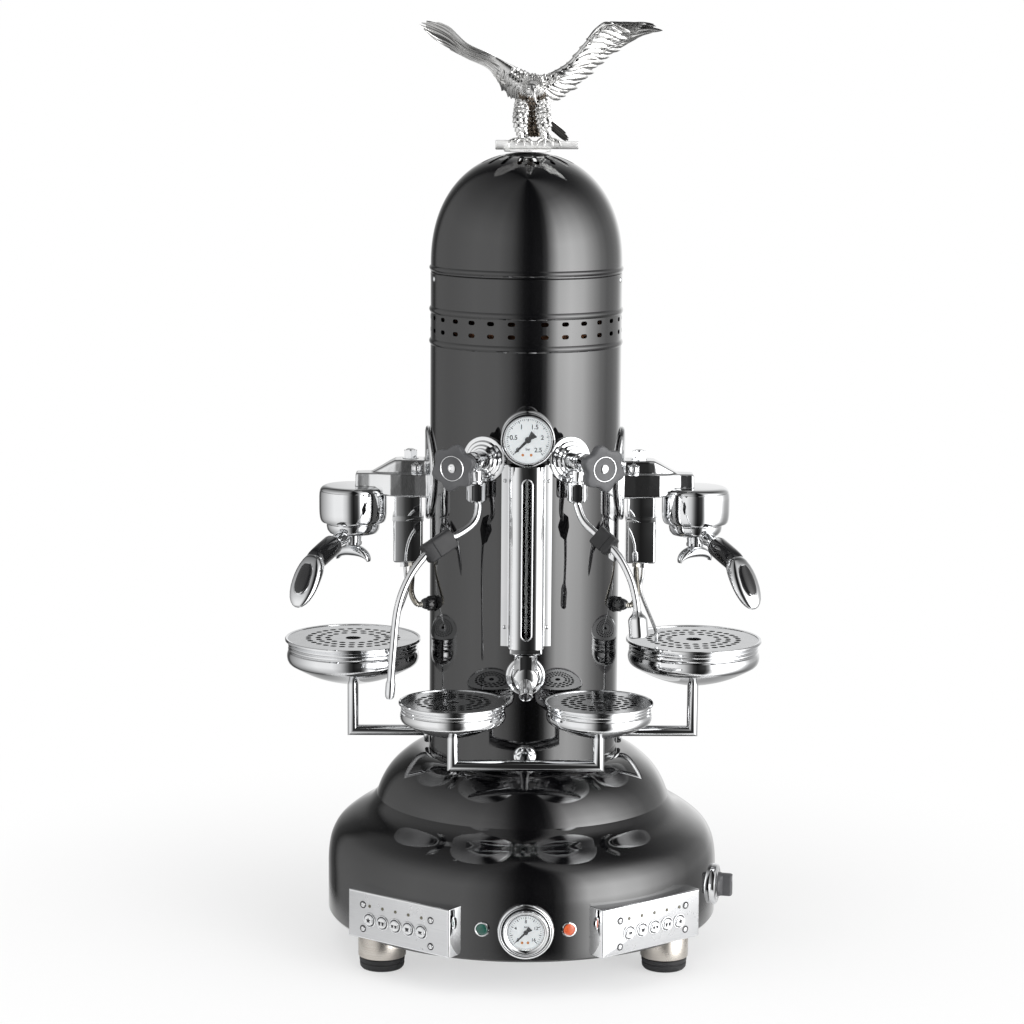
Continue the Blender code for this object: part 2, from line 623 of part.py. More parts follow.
def route_frames(route):
    """A steady cross-section frame at each point of a route."""
    frames = []
    side = None
    for index, point in enumerate(route):
        before = route[max(index - 1, 0)]
        after = route[min(index + 1, len(route) - 1)]
        forward = (after - before).normalized()
        if side is None:
            guide = Vector((0, 1, 0)) if abs(forward.y) < 0.9 else Vector((1, 0, 0))
            side = guide.cross(forward).normalized()
        side = (side - forward * side.dot(forward)).normalized()
        frames.append((point, side, forward.cross(side)))
    return frames


def tube(route, radii, sides):
    """A round tube along a route; radii is one radius or one for each point."""
    if not isinstance(radii, (list, tuple)):
        radii = [radii] * len(route)
    rings = []
    for (point, side, up), radius in zip(route_frames(route), radii):
        rings.append([point + (side * math.cos(angle) + up * math.sin(angle)) * radius
                      for angle in circle_angles(sides)])
    return loft(rings)


def mitred_tube(corners, radius, sides):
    """A round tube in straight runs, whose corners are cut and joined on the mitre."""
    rings = []
    for index, corner in enumerate(corners):
        before = (corner - corners[index - 1]).normalized() if index else None
        after = (corners[index + 1] - corner).normalized() if index + 1 < len(corners) else None
        run = before or after
        plane = (run + (after or before)).normalized()
        normal = Vector((0, 1, 0)) if abs(run.y) < 0.9 else Vector((1, 0, 0))
        side = normal.cross(run).normalized()
        up = run.cross(side)
        ring = []
        for angle in circle_angles(sides):
            offset = (side * math.cos(angle) + up * math.sin(angle)) * radius
            slide = -offset.dot(plane) / run.dot(plane)
            ring.append(corner + offset + run * slide)
        rings.append(ring)
    return loft_mitred(rings)


def loft_mitred(rings):
    """Skin mitred rings, matching each ring to the nearest turn of the one before."""
    matched = [rings[0]]
    for ring in rings[1:]:
        best = min(
            (list_turned(ring, turn, flip) for turn in range(len(ring)) for flip in (False, True)),
            key=lambda turned: sum((point - other).length_squared
                                   for point, other in zip(turned, matched[-1])))
        matched.append(best)
    return loft(matched)


def list_turned(ring, turn, flip):
    """The ring started at another point, in the same or the other direction."""
    turned = ring[turn:] + ring[:turn]
    if flip:
        turned.reverse()
    return turned


def box(low, high, edge=0.0):
    """A box between two corners, its edges rounded by edge."""
    bm = bmesh.new()
    bmesh.ops.create_cube(bm, size=1)
    size = Vector(high) - Vector(low)
    middle = (Vector(high) + Vector(low)) / 2
    bmesh.ops.transform(bm, verts=bm.verts,
                        matrix=Matrix.Translation(middle) @ Matrix.Diagonal((*size, 1)))
    if edge:
        bmesh.ops.bevel(bm, geom=bm.edges, offset=edge, segments=1, affect="EDGES")
    return point_outwards(bm)


def prism(outline, low, high, place=None):
    """An outline of (x, y) points extruded from low to high along Z, then put in place."""
    bm = bmesh.new()
    bottom = [bm.verts.new((x, y, low)) for x, y in outline]
    top = [bm.verts.new((x, y, high)) for x, y in outline]
    count = len(outline)
    for index in range(count):
        after = (index + 1) % count
        bm.faces.new((bottom[index], bottom[after], top[after], top[index]))
    bm.faces.new(bottom)
    bm.faces.new(top)
    if place:
        bmesh.ops.transform(bm, verts=bm.verts, matrix=place)
    return point_outwards(bm)


def circle_outline(radius, count, start=0.0):
    """A round or regular outline."""
    return [(radius * math.cos(angle), radius * math.sin(angle))
            for angle in circle_angles(count, start)]


def placed(bm, place):
    """Move a body by a matrix."""
    bmesh.ops.transform(bm, verts=bm.verts, matrix=place)
    return point_outwards(bm)


def mirrored(bm):
    """The left-hand copy of a body built on the right."""
    bmesh.ops.transform(bm, verts=bm.verts, matrix=Matrix.Diagonal((-1, 1, 1, 1)))
    return point_outwards(bm)


def on_side(bm, side):
    """The body on its own side: 1 is right, -1 is left."""
    return bm if side > 0 else mirrored(bm)


def radial_frame(azimuth, distance, height):
    """A frame on a spoke of the machine: local +Z points outwards and local +Y is up."""
    across = Vector((math.cos(azimuth), math.sin(azimuth), 0))
    outwards = Vector((math.sin(azimuth), -math.cos(azimuth), 0))
    place = Matrix((across, Vector((0, 0, 1)), outwards)).transposed().to_4x4()
    place.translation = outwards * distance + Vector((0, 0, height))
    return place


def spoke_point(azimuth, distance, height):
    """A point on a spoke of the machine."""
    return Vector((math.sin(azimuth) * distance, -math.cos(azimuth) * distance, height))


def temporary(bm):
    """A passing object for a Boolean step."""
    mesh = bpy.data.meshes.new("working")
    bm.to_mesh(mesh)
    bm.free()
    return bpy.data.objects.new("working", mesh)


def combined(first, others, operation, weld=SEAT_GAP / 30):
    """Join or cut closed bodies with exact Booleans and give the result as one body."""
    subject = temporary(first)
    bpy.context.scene.collection.objects.link(subject)
    tools = [temporary(other) for other in others]
    for tool in tools:
        bpy.context.scene.collection.objects.link(tool)
        step = subject.modifiers.new(operation, "BOOLEAN")
        step.operation = operation
        step.object = tool
        step.solver = "EXACT"
    graph = bpy.context.evaluated_depsgraph_get()
    result = bmesh.new()
    result.from_mesh(subject.evaluated_get(graph).to_mesh())
    for worn in [subject] + tools:
        mesh = worn.data
        bpy.data.objects.remove(worn, do_unlink=True)
        bpy.data.meshes.remove(mesh)
    bmesh.ops.remove_doubles(result, verts=result.verts, dist=weld)
    return result


def united(first, *others):
    """One body from several that meet."""
    return combined(first, others, "UNION")


def cut(first, *others):
    """A body with other bodies taken away."""
    return combined(first, others, "DIFFERENCE")


MACHINE = None


def add_part(name, bm, material_name, origin=(0, 0, 0), parent=None, turn=0.0):
    """Make the named object of one sub-part, with its own origin in the machine's frame."""
    origin = Vector(origin)
    place = Matrix.Translation(origin) @ Matrix.Rotation(turn, 4, "Z")
    bmesh.ops.transform(bm, verts=bm.verts, matrix=place.inverted())
    mesh = bpy.data.meshes.new(name)
    bm.to_mesh(mesh)
    bm.free()
    return place_part(name, mesh, material_name, place, parent)


def place_part(name, mesh, material_name, place, parent=None):
    """Put an object with this mesh at its place under the machine's frame."""
    mesh.shade_smooth()
    mesh.set_sharp_from_angle(angle=math.radians(32))
    if not mesh.materials:
        mesh.materials.append(finish(material_name))
    part = bpy.data.objects.new(name, mesh)
    bpy.context.scene.collection.objects.link(part)
    part.parent = parent or MACHINE
    if parent:
        place = parent.matrix_basis.inverted() @ place
    part.matrix_basis = place
    return part


def side_word(side):
    """The name of a side."""
    return "right" if side > 0 else "left"


def column_angles():
    """The edges of the vents round the column, which has a wider gap at the front."""
    half_front = VENT_FRONT_GAP / COLUMN_RADIUS / 2 - VENT_WIDTH / COLUMN_RADIUS / 2
    half_vent = VENT_WIDTH / COLUMN_RADIUS / 2
    spread = FULL_TURN - 2 * (half_front + half_vent)
    angles = []
    for index in range(VENT_COLUMNS):
        middle = half_front + half_vent + spread * index / (VENT_COLUMNS - 1)
        angles += [middle - half_vent, middle + half_vent]
    return angles


def column_sleeve(extra):
    """A body with the column's own facets, wider than the column by extra, to cut what wraps it."""
    radius = COLUMN_RADIUS + extra
    profile = [(0, BASE_TOP_HEIGHT), (radius, BASE_TOP_HEIGHT), (radius, COLUMN_TOP), (0, COLUMN_TOP)]
    return lathe(profile, column_angles())


def skirt_sleeve(extra):
    """A body with the base skirt's own facets, wider by extra, to cut what seats on the skirt."""
    radius = BASE_RADIUS + extra
    profile = [(0, 0), (radius, 0), (radius, BASE_TOP_HEIGHT), (0, BASE_TOP_HEIGHT)]
    return lathe(profile, circle_angles(BASE_SEGMENTS))


def base_outline():
    """The bell's outer outline from its lip up to the column, as (radius, height)."""
    top_radius = COLUMN_RADIUS + BASE_WALL
    outline = [(BASE_RADIUS - BASE_LIP, FOOT_HEIGHT), (BASE_RADIUS, FOOT_HEIGHT + BASE_LIP),
               (BASE_RADIUS, BASE_SHOULDER_HEIGHT)]
    shoulder_width = BASE_RADIUS - BASE_STEP_RADIUS
    shoulder_rise = BASE_STEP_HEIGHT - BASE_SHOULDER_HEIGHT
    for width_share, rise_share in BASE_SHOULDER_SHARES:
        outline.append((BASE_RADIUS - shoulder_width * width_share,
                        BASE_SHOULDER_HEIGHT + shoulder_rise * rise_share))
    outline.append((BASE_STEP_RADIUS, BASE_STEP_HEIGHT))
    bell_width = BASE_STEP_RADIUS - top_radius
    bell_rise = BASE_TOP_HEIGHT - BASE_STEP_HEIGHT
    for width_share, rise_share in BASE_NECK_SHARES:
        outline.append((BASE_STEP_RADIUS - bell_width * width_share,
                        BASE_STEP_HEIGHT + bell_rise * rise_share))
    outline.append((top_radius, BASE_TOP_HEIGHT))
    return outline


def base_housing():
    """The open-bottomed bell, with a flat flange on top that carries column and boiler."""
    outer = base_outline()
    inner = [(BASE_FLANGE_BORE, BASE_TOP_HEIGHT), (BASE_FLANGE_BORE, BASE_TOP_HEIGHT - BASE_WALL)]
    for radius, height in (outer[-2], outer[-4], outer[4], outer[2]):
        inner.append((radius - BASE_WALL, height - BASE_WALL))
    inner.append((BASE_RADIUS - BASE_LIP - BASE_WALL, FOOT_HEIGHT))
    shell = lathe(outer + inner, circle_angles(BASE_SEGMENTS))
    bores = [panel_bore(0, PUMP_STEM_RADIUS, SKIRT_PANEL_HEIGHT),
             panel_bore(LAMP_AZIMUTH, LAMP_STEM_RADIUS, SKIRT_PANEL_HEIGHT),
             panel_bore(-LAMP_AZIMUTH, LAMP_STEM_RADIUS, SKIRT_PANEL_HEIGHT),
             panel_bore(SWITCH_AZIMUTH, SWITCH_STEM_RADIUS, SWITCH_HEIGHT)]
    add_part("base_housing", cut(shell, *bores), "black_enamel")


def panel_bore(azimuth, radius, height):
    """A bore through the skirt for a stem of this radius."""
    reach = BASE_WALL + CUT_OVERRUN
    return placed(prism(circle_outline(radius + SEAT_GAP, PANEL_SEGMENTS // 2), -reach, reach),
                  radial_frame(azimuth, BASE_RADIUS, height))


def base_plate():
    """The flat plate that closes the bell and stands on the feet."""
    radius = BASE_RADIUS - BASE_LIP - BASE_WALL - SEAT_GAP
    profile = [(0, FOOT_HEIGHT), (radius, FOOT_HEIGHT),
               (radius, FOOT_HEIGHT + BASE_PLATE_THICKNESS), (0, FOOT_HEIGHT + BASE_PLATE_THICKNESS)]
    add_part("base_plate", lathe(profile, circle_angles(BASE_SEGMENTS)), "satin_steel")


def feet():
    """Four round feet: a rubber pad under a steel sleeve."""
    top = FOOT_HEIGHT - SEAT_GAP
    profile = [(0, 0), (FOOT_PAD_RADIUS - FOOT_PAD_EDGE, 0), (FOOT_PAD_RADIUS, FOOT_PAD_EDGE),
               (FOOT_PAD_RADIUS, FOOT_PAD_HEIGHT), (FOOT_RADIUS, FOOT_PAD_HEIGHT),
               (FOOT_RADIUS, top), (0, top)]
    bm = lathe(profile, circle_angles(FOOT_SEGMENTS))
    mesh = bpy.data.meshes.new("foot")
    bm.to_mesh(mesh)
    bm.free()
    for row, y in (("front", -FOOT_Y), ("rear", FOOT_Y)):
        for side in (-1, 1):
            place_part("foot_%s_%s" % (row, side_word(side)), mesh, "brushed_steel",
                       Matrix.Translation((side * FOOT_X, y, 0)))


def keypad_box(side):
    """A folded housing that wraps the skirt, open at the back, with a hole for each button."""
    frame = radial_frame(KEYPAD_AZIMUTH, KEYPAD_DISTANCE, 0)
    half = KEYPAD_WIDTH / 2
    depth = KEYPAD_STAND + half ** 2 / BASE_RADIUS
    shell = box((-half, KEYPAD_BOTTOM, -depth), (half, KEYPAD_TOP, 0), KEYPAD_EDGE)
    hollow = box((-half + KEYPAD_WALL, KEYPAD_BOTTOM + KEYPAD_WALL, -depth - CUT_OVERRUN),
                 (half - KEYPAD_WALL, KEYPAD_TOP - KEYPAD_WALL, -KEYPAD_WALL))
    holes = [placed(prism(circle_outline(BUTTON_RADIUS + SEAT_GAP, BUTTON_SEGMENTS),
                          -KEYPAD_WALL - CUT_OVERRUN, CUT_OVERRUN),
                    Matrix.Translation((across, BUTTON_HEIGHT, 0)))
             for across in button_places()]
    body = cut(shell, hollow, *holes)
    body = cut(placed(body, frame), skirt_sleeve(SEAT_GAP))
    add_part("keypad_box_%s" % side_word(side), on_side(body, side), "satin_steel")


def button_places():
    """Where the buttons' centres lie along the plate, from its middle outwards."""
    first = -BUTTON_PITCH * (BUTTON_COUNT - 1) / 2 + BUTTON_ROW_SHIFT
    return [first + BUTTON_PITCH * index for index in range(BUTTON_COUNT)]


def buttons(side):
    """Five push buttons, each through its own hole in the plate."""
    back = -KEYPAD_WALL - BUTTON_BACK
    profile = [(0, BUTTON_PROUD), (BUTTON_RADIUS, BUTTON_PROUD), (BUTTON_RADIUS, back), (0, back)]
    bm = lathe(profile, circle_angles(BUTTON_SEGMENTS, FULL_TURN / 4))
    mesh = bpy.data.meshes.new("button_%s" % side_word(side))
    bm.to_mesh(mesh)
    bm.free()
    for number, across in enumerate(button_places(), 1):
        frame = radial_frame(side * KEYPAD_AZIMUTH, KEYPAD_DISTANCE, BUTTON_HEIGHT)
        place = frame @ Matrix.Translation((side * across, 0, 0))
        place_part("button_%s_%d" % (side_word(side), number), mesh, "chrome", place)


def gauge_case(frame, dial, outside, wrap):
    """A round gauge case with a sunk dial behind its glass and a pin for its needle."""
    profile = [(0, -GAUGE_DIAL_DEPTH), (dial, -GAUGE_DIAL_DEPTH), (dial, 0)]
    pin = prism(circle_outline(NEEDLE_PIN_RADIUS / 2, 8), -GAUGE_DIAL_DEPTH - SEAT_GAP,
                -GAUGE_DIAL_DEPTH + NEEDLE_PIN_RADIUS)
    case = united(lathe(profile + outside, circle_angles(GAUGE_SEGMENTS)), pin)
    return cut(placed(case, frame), wrap)


def gauge_works(name, frame, dial):
    """The needle on its pin and the glass in its seat."""
    reach = dial * NEEDLE_REACH_SHARE
    tail = dial * NEEDLE_TAIL_SHARE
    hub = NEEDLE_PIN_RADIUS
    outline = [(-NEEDLE_HALF_WIDTH, -tail), (NEEDLE_HALF_WIDTH, -tail), (NEEDLE_HALF_WIDTH, -hub),
               (hub, 0), (NEEDLE_HALF_WIDTH / 2, hub), (NEEDLE_HALF_WIDTH / 4, reach),
               (-NEEDLE_HALF_WIDTH / 4, reach), (-NEEDLE_HALF_WIDTH / 2, hub), (-hub, 0),
               (-NEEDLE_HALF_WIDTH, -hub)]
    low = -GAUGE_DIAL_DEPTH + NEEDLE_PIN_RADIUS + SEAT_GAP
    turned = Matrix.Rotation(NEEDLE_REST - FULL_TURN / 4, 4, "Z")
    needle = prism(outline, low, low + NEEDLE_THICKNESS)
    add_part("%s_needle" % name, placed(needle, frame @ turned), "black_plastic",
             frame.translation)
    disc = prism(circle_outline(dial - SEAT_GAP, GAUGE_SEGMENTS, FULL_TURN / 4),
                 -GAUGE_GLASS_THICKNESS, 0, frame)
    add_part("%s_glass" % name, disc, "clear_glass")


def pump_gauge():
    """The pump pressure gauge on the front of the skirt, with a stem through it."""
    frame = radial_frame(0, PUMP_GAUGE_FRONT, SKIRT_PANEL_HEIGHT)
    reach = PUMP_GAUGE_STAND
    back = -reach - GAUGE_BEZEL_DEPTH
    outside = [(PUMP_STEP_RADIUS, 0), (PUMP_STEP_RADIUS, -PUMP_STEP_DEPTH),
               (PUMP_BEZEL_RADIUS - PUMP_STEP_DEPTH / 2, -PUMP_STEP_DEPTH),
               (PUMP_BEZEL_RADIUS, -PUMP_STEP_DEPTH * PUMP_STEP_SHARE), (PUMP_BEZEL_RADIUS, back), (0, back)]
    case = gauge_case(frame, PUMP_DIAL_RADIUS, outside, skirt_sleeve(SEAT_GAP))
    stem = placed(prism(circle_outline(PUMP_STEM_RADIUS, PANEL_SEGMENTS // 2),
                        -reach - PUMP_STEM_LENGTH, -GAUGE_BEZEL_DEPTH), frame)
    add_part("pump_gauge_case", united(case, stem), "chrome")
    gauge_works("pump_gauge", frame, PUMP_DIAL_RADIUS)


def boiler_gauge():
    """The boiler pressure gauge on the front of the column, with a collar at the column."""
    frame = radial_frame(0, GAUGE_FRONT, GAUGE_HEIGHT)
    collar = COLUMN_RADIUS - GAUGE_FRONT + GAUGE_BEZEL_DEPTH / 2
    back = collar - GAUGE_BEZEL_DEPTH
    outside = [(GAUGE_BEZEL_RADIUS - GAUGE_GLASS_THICKNESS, 0),
               (GAUGE_BEZEL_RADIUS, -GAUGE_GLASS_THICKNESS), (GAUGE_BEZEL_RADIUS, -GAUGE_BEZEL_DEPTH),
               (GAUGE_CASE_RADIUS, -GAUGE_BEZEL_DEPTH), (GAUGE_CASE_RADIUS, collar),
               (GAUGE_BEZEL_RADIUS, collar), (GAUGE_BEZEL_RADIUS, back), (0, back)]
    case = gauge_case(frame, GAUGE_DIAL_RADIUS, outside, column_sleeve(SEAT_GAP))
    add_part("boiler_gauge_case", case, "chrome")
    gauge_works("boiler_gauge", frame, GAUGE_DIAL_RADIUS)


def pilot_lamps():
    """A green and an amber lamp, each with a stem through the skirt."""
    for name, side, material_name in (("pilot_lamp_green", -1, "green_lens"),
                                      ("pilot_lamp_amber", 1, "amber_lens")):
        frame = radial_frame(side * LAMP_AZIMUTH, BASE_RADIUS, SKIRT_PANEL_HEIGHT)
        profile = [(0, LAMP_PROUD), (LAMP_LENS_RADIUS, LAMP_PROUD),
                   (LAMP_LENS_RADIUS, LAMP_PROUD / 2), (LAMP_RADIUS, LAMP_PROUD / 2),
                   (LAMP_RADIUS, -CUT_OVERRUN), (0, -CUT_OVERRUN)]
        head = cut(placed(lathe(profile, circle_angles(PANEL_SEGMENTS)), frame), skirt_sleeve(SEAT_GAP))
        stem = placed(prism(circle_outline(LAMP_STEM_RADIUS, PANEL_SEGMENTS // 2),
                            -LAMP_STEM_LENGTH, LAMP_PROUD / 2), frame)
        add_part(name, united(head, stem), material_name)


def power_switch():
    """A rotary switch on the right of the skirt: a round bezel and a winged knob."""
    frame = radial_frame(SWITCH_AZIMUTH, BASE_RADIUS, SWITCH_HEIGHT)
    depth = SWITCH_BEZEL_DEPTH
    profile = [(0, depth / 2), (SWITCH_KNOB_RADIUS, depth / 2), (SWITCH_BEZEL_RADIUS - depth, depth),
               (SWITCH_BEZEL_RADIUS, depth / 2), (SWITCH_BEZEL_RADIUS, -depth), (0, -depth)]
    bezel = cut(placed(lathe(profile, circle_angles(PANEL_SEGMENTS)), frame), skirt_sleeve(SEAT_GAP))
    stem = placed(prism(circle_outline(SWITCH_STEM_RADIUS, PANEL_SEGMENTS // 2),
                        -SWITCH_STEM_LENGTH, depth / 2), frame)
    add_part("switch_bezel", united(bezel, stem), "chrome")
    wing = SWITCH_KNOB_RADIUS * SWITCH_KNOB_FLAT_SHARE
    low = depth / 2 + SEAT_GAP
    skirt = low + SWITCH_KNOB_LENGTH / 3
    disc = prism(circle_outline(SWITCH_KNOB_RADIUS - SEAT_GAP, PANEL_SEGMENTS), low, skirt)
    grip = box((-wing, -SWITCH_KNOB_RADIUS + wing / 4, skirt - SEAT_GAP),
               (wing, SWITCH_KNOB_RADIUS - wing / 4, low + SWITCH_KNOB_LENGTH), wing / 4)
    grip = united(disc, grip)
    add_part("switch_knob", placed(grip, frame), "black_plastic", frame.translation)


def column_shell():
    """The black column: open at both ends, with two rows of vents near its top."""
    radius = COLUMN_RADIUS
    bottom = BASE_TOP_HEIGHT + SEAT_GAP
    vents = []
    for vent in (UPPER_VENT_HEIGHT, LOWER_VENT_HEIGHT):
        vents += [vent + VENT_HEIGHT / 2, vent - VENT_HEIGHT / 2]
    outer = [(radius, COLUMN_TOP)] + [(radius, height) for height in vents] + [(radius, bottom)]
    inside = radius - COLUMN_WALL
    inner = [(inside, bottom)] + [(inside, height) for height in reversed(vents)] + [(inside, COLUMN_TOP)]
    openings = []
    for outer_row, inner_row in ((1, len(outer) + 3), (3, len(outer) + 1)):
        for column in range(0, 2 * VENT_COLUMNS, 2):
            openings.append((outer_row, inner_row, column))
    profile = outer + inner
    add_part("column_shell", lathe(profile, column_angles(), openings), "black_enamel")


def dome_outline(radius, rise, bottom, shares):
    """A squared-off dome as (radius, height) points, from low to high."""
    points = []
    for share in shares:
        angle = share * FULL_TURN / 4
        points.append((radius * math.cos(angle) ** (2 / DOME_POWER),
                       bottom + rise * math.sin(angle) ** (2 / DOME_POWER)))
    return points


def dome_height_at(radius_at, radius, rise, bottom):
    """The height of the dome's surface above a given radius."""
    return bottom + rise * (1 - (radius_at / radius) ** DOME_POWER) ** (1 / DOME_POWER)


def dome():
    """The dome: a spun cap with a rolled lower edge and a ring of radial slots near its top."""
    bottom = COLUMN_TOP + SEAT_GAP
    start = bottom + DOME_BEAD_HEIGHT
    radius = COLUMN_RADIUS
    stud = FINIAL_STUD_RADIUS + SEAT_GAP
    outer = [(radius, bottom), (radius + BEAD_RISE, bottom + DOME_BEAD_HEIGHT / 2), (radius, start)]
    outer += dome_outline(radius, DOME_RISE, start, DOME_OUTER_SHARES)
    slot_row = len(outer)
    for ring in (DOME_SLOT_OUTER, DOME_SLOT_INNER, stud):
        outer.append((ring, dome_height_at(ring, radius, DOME_RISE, start)))
    inside = radius - DOME_WALL
    rise = DOME_RISE - DOME_WALL
    inner = []
    for ring in (stud, DOME_SLOT_INNER, DOME_SLOT_OUTER):
        inner.append((ring, dome_height_at(ring, inside, rise, start)))
    inner += reversed(dome_outline(inside, rise, start, DOME_INNER_SHARES))
    inner.append((inside, bottom))
    openings = [(slot_row, len(outer) + 1, 2 * slot) for slot in range(DOME_SLOTS)]
    add_part("dome", lathe(outer + inner, dome_angles(), openings), "black_enamel")


def dome_angles():
    """The edges of the dome's slots."""
    angles = []
    for middle in circle_angles(DOME_SLOTS, FULL_TURN / DOME_SLOTS / 2):
        angles += [middle - DOME_SLOT_ANGLE / 2, middle + DOME_SLOT_ANGLE / 2]
    return angles


def boiler():
    """A copper vessel with domed ends, a foot ring on the base's flange and an open feed port."""
    floor = BASE_TOP_HEIGHT + SEAT_GAP
    low = floor + BOILER_SKIRT_HEIGHT
    crown = BOILER_CROWN
    top = floor + BOILER_HEIGHT
    wall = BOILER_WALL
    floor_radius = BOILER_RADIUS * BOILER_FLOOR_SHARE
    outer = [(BOILER_PORT_RADIUS, low), (floor_radius, low), (BOILER_RADIUS, floor),
             (BOILER_SKIRT_RADIUS, floor), (BOILER_SKIRT_RADIUS, low),
             (BOILER_RADIUS, low + BOILER_SKIRT_HEIGHT), (BOILER_RADIUS, top - crown)]
    inner = [(0, top - wall)]
    for radius_share, drop_share in BOILER_CROWN_SHARES:
        outer.append((BOILER_RADIUS * radius_share, top - crown * drop_share))
    for radius_share, drop_share in reversed(BOILER_CROWN_SHARES):
        inner.append((BOILER_RADIUS * radius_share - wall, top - crown * drop_share - wall))
    outer.append((0, top))
    inner += [(BOILER_RADIUS - wall, top - crown), (BOILER_RADIUS - wall, low + BOILER_SKIRT_HEIGHT),
              (floor_radius, low + wall), (BOILER_PORT_RADIUS, low + wall)]
    add_part("boiler", lathe(outer + inner, circle_angles(BOILER_SEGMENTS)), "copper")


def group_arm():
    """The cast arm: a block that narrows to a nose over the bell, under a sloping ridge."""
    start = COLUMN_RADIUS - CUT_OVERRUN
    wide = ARM_BLOCK_HALF_WIDTH
    nose = ARM_NOSE_HALF_WIDTH
    plan = [(start, -wide), (ARM_WAIST, -wide), (ARM_NOSE_START, -nose), (ARM_NOSE_END, -nose),
            (ARM_NOSE_END, nose), (ARM_NOSE_START, nose), (ARM_WAIST, wide), (start, wide)]
    block = prism(plan, ARM_BLOCK_BOTTOM, ARM_BLOCK_TOP)
    profile = [(start, ARM_BLOCK_BOTTOM + CUT_OVERRUN), (RIDGE_FOOT_END, ARM_BLOCK_BOTTOM + CUT_OVERRUN),
               (RIDGE_FOOT_END, BELL_TOP), (RIDGE_CREST_END, RIDGE_TOP), (start, RIDGE_TOP)]
    stand_up = Matrix.Rotation(FULL_TURN / 4, 4, "X")
    ridge = prism(profile, -RIDGE_HALF_WIDTH, RIDGE_HALF_WIDTH, stand_up)
    return united(block, ridge)


def group_saddle():
    """The oval saddle that clamps the group on the column, as an even plate round it."""
    oval = [(SADDLE_HALF_WIDTH * math.cos(angle), SADDLE_HALF_HEIGHT * math.sin(angle))
            for angle in circle_angles(SADDLE_SEGMENTS)]
    across = Matrix.Translation((0, 0, GROUP_HEIGHT)) @ Matrix(
        ((0, 0, 1, 0), (1, 0, 0, 0), (0, 1, 0, 0), (0, 0, 0, 1)))
    slab = prism(oval, COLUMN_RADIUS / 2, COLUMN_RADIUS * 2, across)
    return combined(slab, [column_sleeve(SADDLE_THICKNESS)], "INTERSECT")


def group_bell(side):
    """The bell that takes the filter holder, with a bayonet ledge inside its mouth."""
    inner = HOLDER_RADIUS + RUNNING_GAP
    groove = inner + LUG_REACH
    ledge_top = BELL_BOTTOM + LEDGE_THICKNESS
    groove_top = ledge_top + LUG_THICKNESS + 2 * RUNNING_GAP
    ceiling = HOLDER_RIM + RUNNING_GAP
    profile = [(inner, BELL_BOTTOM), (BELL_RADIUS - BELL_ROUND / 2, BELL_BOTTOM),
               (BELL_RADIUS, BELL_BOTTOM + BELL_ROUND), (BELL_RADIUS, BELL_TOP - BELL_ROUND),
               (BELL_RADIUS - BELL_ROUND, BELL_TOP), (0, BELL_TOP), (0, ceiling), (inner, ceiling),
               (inner, groove_top), (groove, groove_top), (groove, ledge_top), (inner, ledge_top)]
    bell = lathe(profile, circle_angles(BELL_SEGMENTS))
    notch_half = math.sin(LUG_HALF_ANGLE) * groove + 2 * RUNNING_GAP
    notches = []
    entry = HOLDER_TURN - FULL_TURN / 4 - side * HOLDER_UNLOCK
    for turn in (0, FULL_TURN / 2):
        notch = box((0, -notch_half, BELL_BOTTOM - CUT_OVERRUN), (groove, notch_half, ledge_top + SEAT_GAP))
        notches.append(placed(notch, Matrix.Rotation(turn + entry, 4, "Z")))
    bell = cut(bell, *notches)
    return placed(bell, Matrix.Translation((GROUP_REACH, 0, 0)))


def group(side):
    """One brew group: saddle, arm, bell and its bolts, as one casting."""
    bolt = prism(circle_outline(BOLT_RADIUS, 6), RIDGE_TOP - CUT_OVERRUN, RIDGE_TOP + BOLT_HEIGHT,
                 Matrix.Translation((BOLT_X, 0, 0)))
    acorn = lathe([(0, -CUT_OVERRUN), (ACORN_RADIUS, -CUT_OVERRUN), (ACORN_RADIUS, ACORN_LENGTH / 2),
                   (ACORN_RADIUS / 2, ACORN_LENGTH), (0, ACORN_LENGTH)], circle_angles(8))
    facing = Matrix.Translation((ACORN_X, -RIDGE_HALF_WIDTH, ACORN_HEIGHT))
    acorn = placed(acorn, facing @ Matrix.Rotation(FULL_TURN / 4, 4, "X"))
    body = united(group_arm(), group_bell(side), group_saddle(), bolt, acorn)
    body = cut(body, column_sleeve(SEAT_GAP))
    add_part("group_%s" % side_word(side), on_side(body, side), "chrome")


def drain_pipe_route():
    """The pipe's route from the solenoid down to just above the side tray's grate."""
    start = Vector((CONDUIT_EXIT_X + GLAND_RADIUS, CONDUIT_EXIT_Y, SOLENOID_BOTTOM + CUT_OVERRUN))
    across_share, forward_share = DRAIN_PIPE_END_SHARES
    end = Vector((SIDE_TRAY_REACH - SIDE_TRAY_RADIUS * across_share, -SIDE_TRAY_RADIUS * forward_share,
                  SIDE_TRAY_RIM + DRAIN_PIPE_CLEARANCE))
    drop = start.z - end.z
    way = end - start
    knee = start + Vector((-GLAND_NECK_RADIUS / 2, 0, -drop * DRAIN_KNEE_SHARE))
    back_share, behind_share, up_share = DRAIN_ANKLE_SHARES
    ankle = Vector((end.x - way.x * back_share, end.y + abs(way.y) * behind_share, end.z + drop * up_share))
    foot = Vector((end.x, end.y, end.z + drop * DRAIN_FOOT_SHARE))
    return [start, (start + knee) / 2, knee, ankle, foot, end]


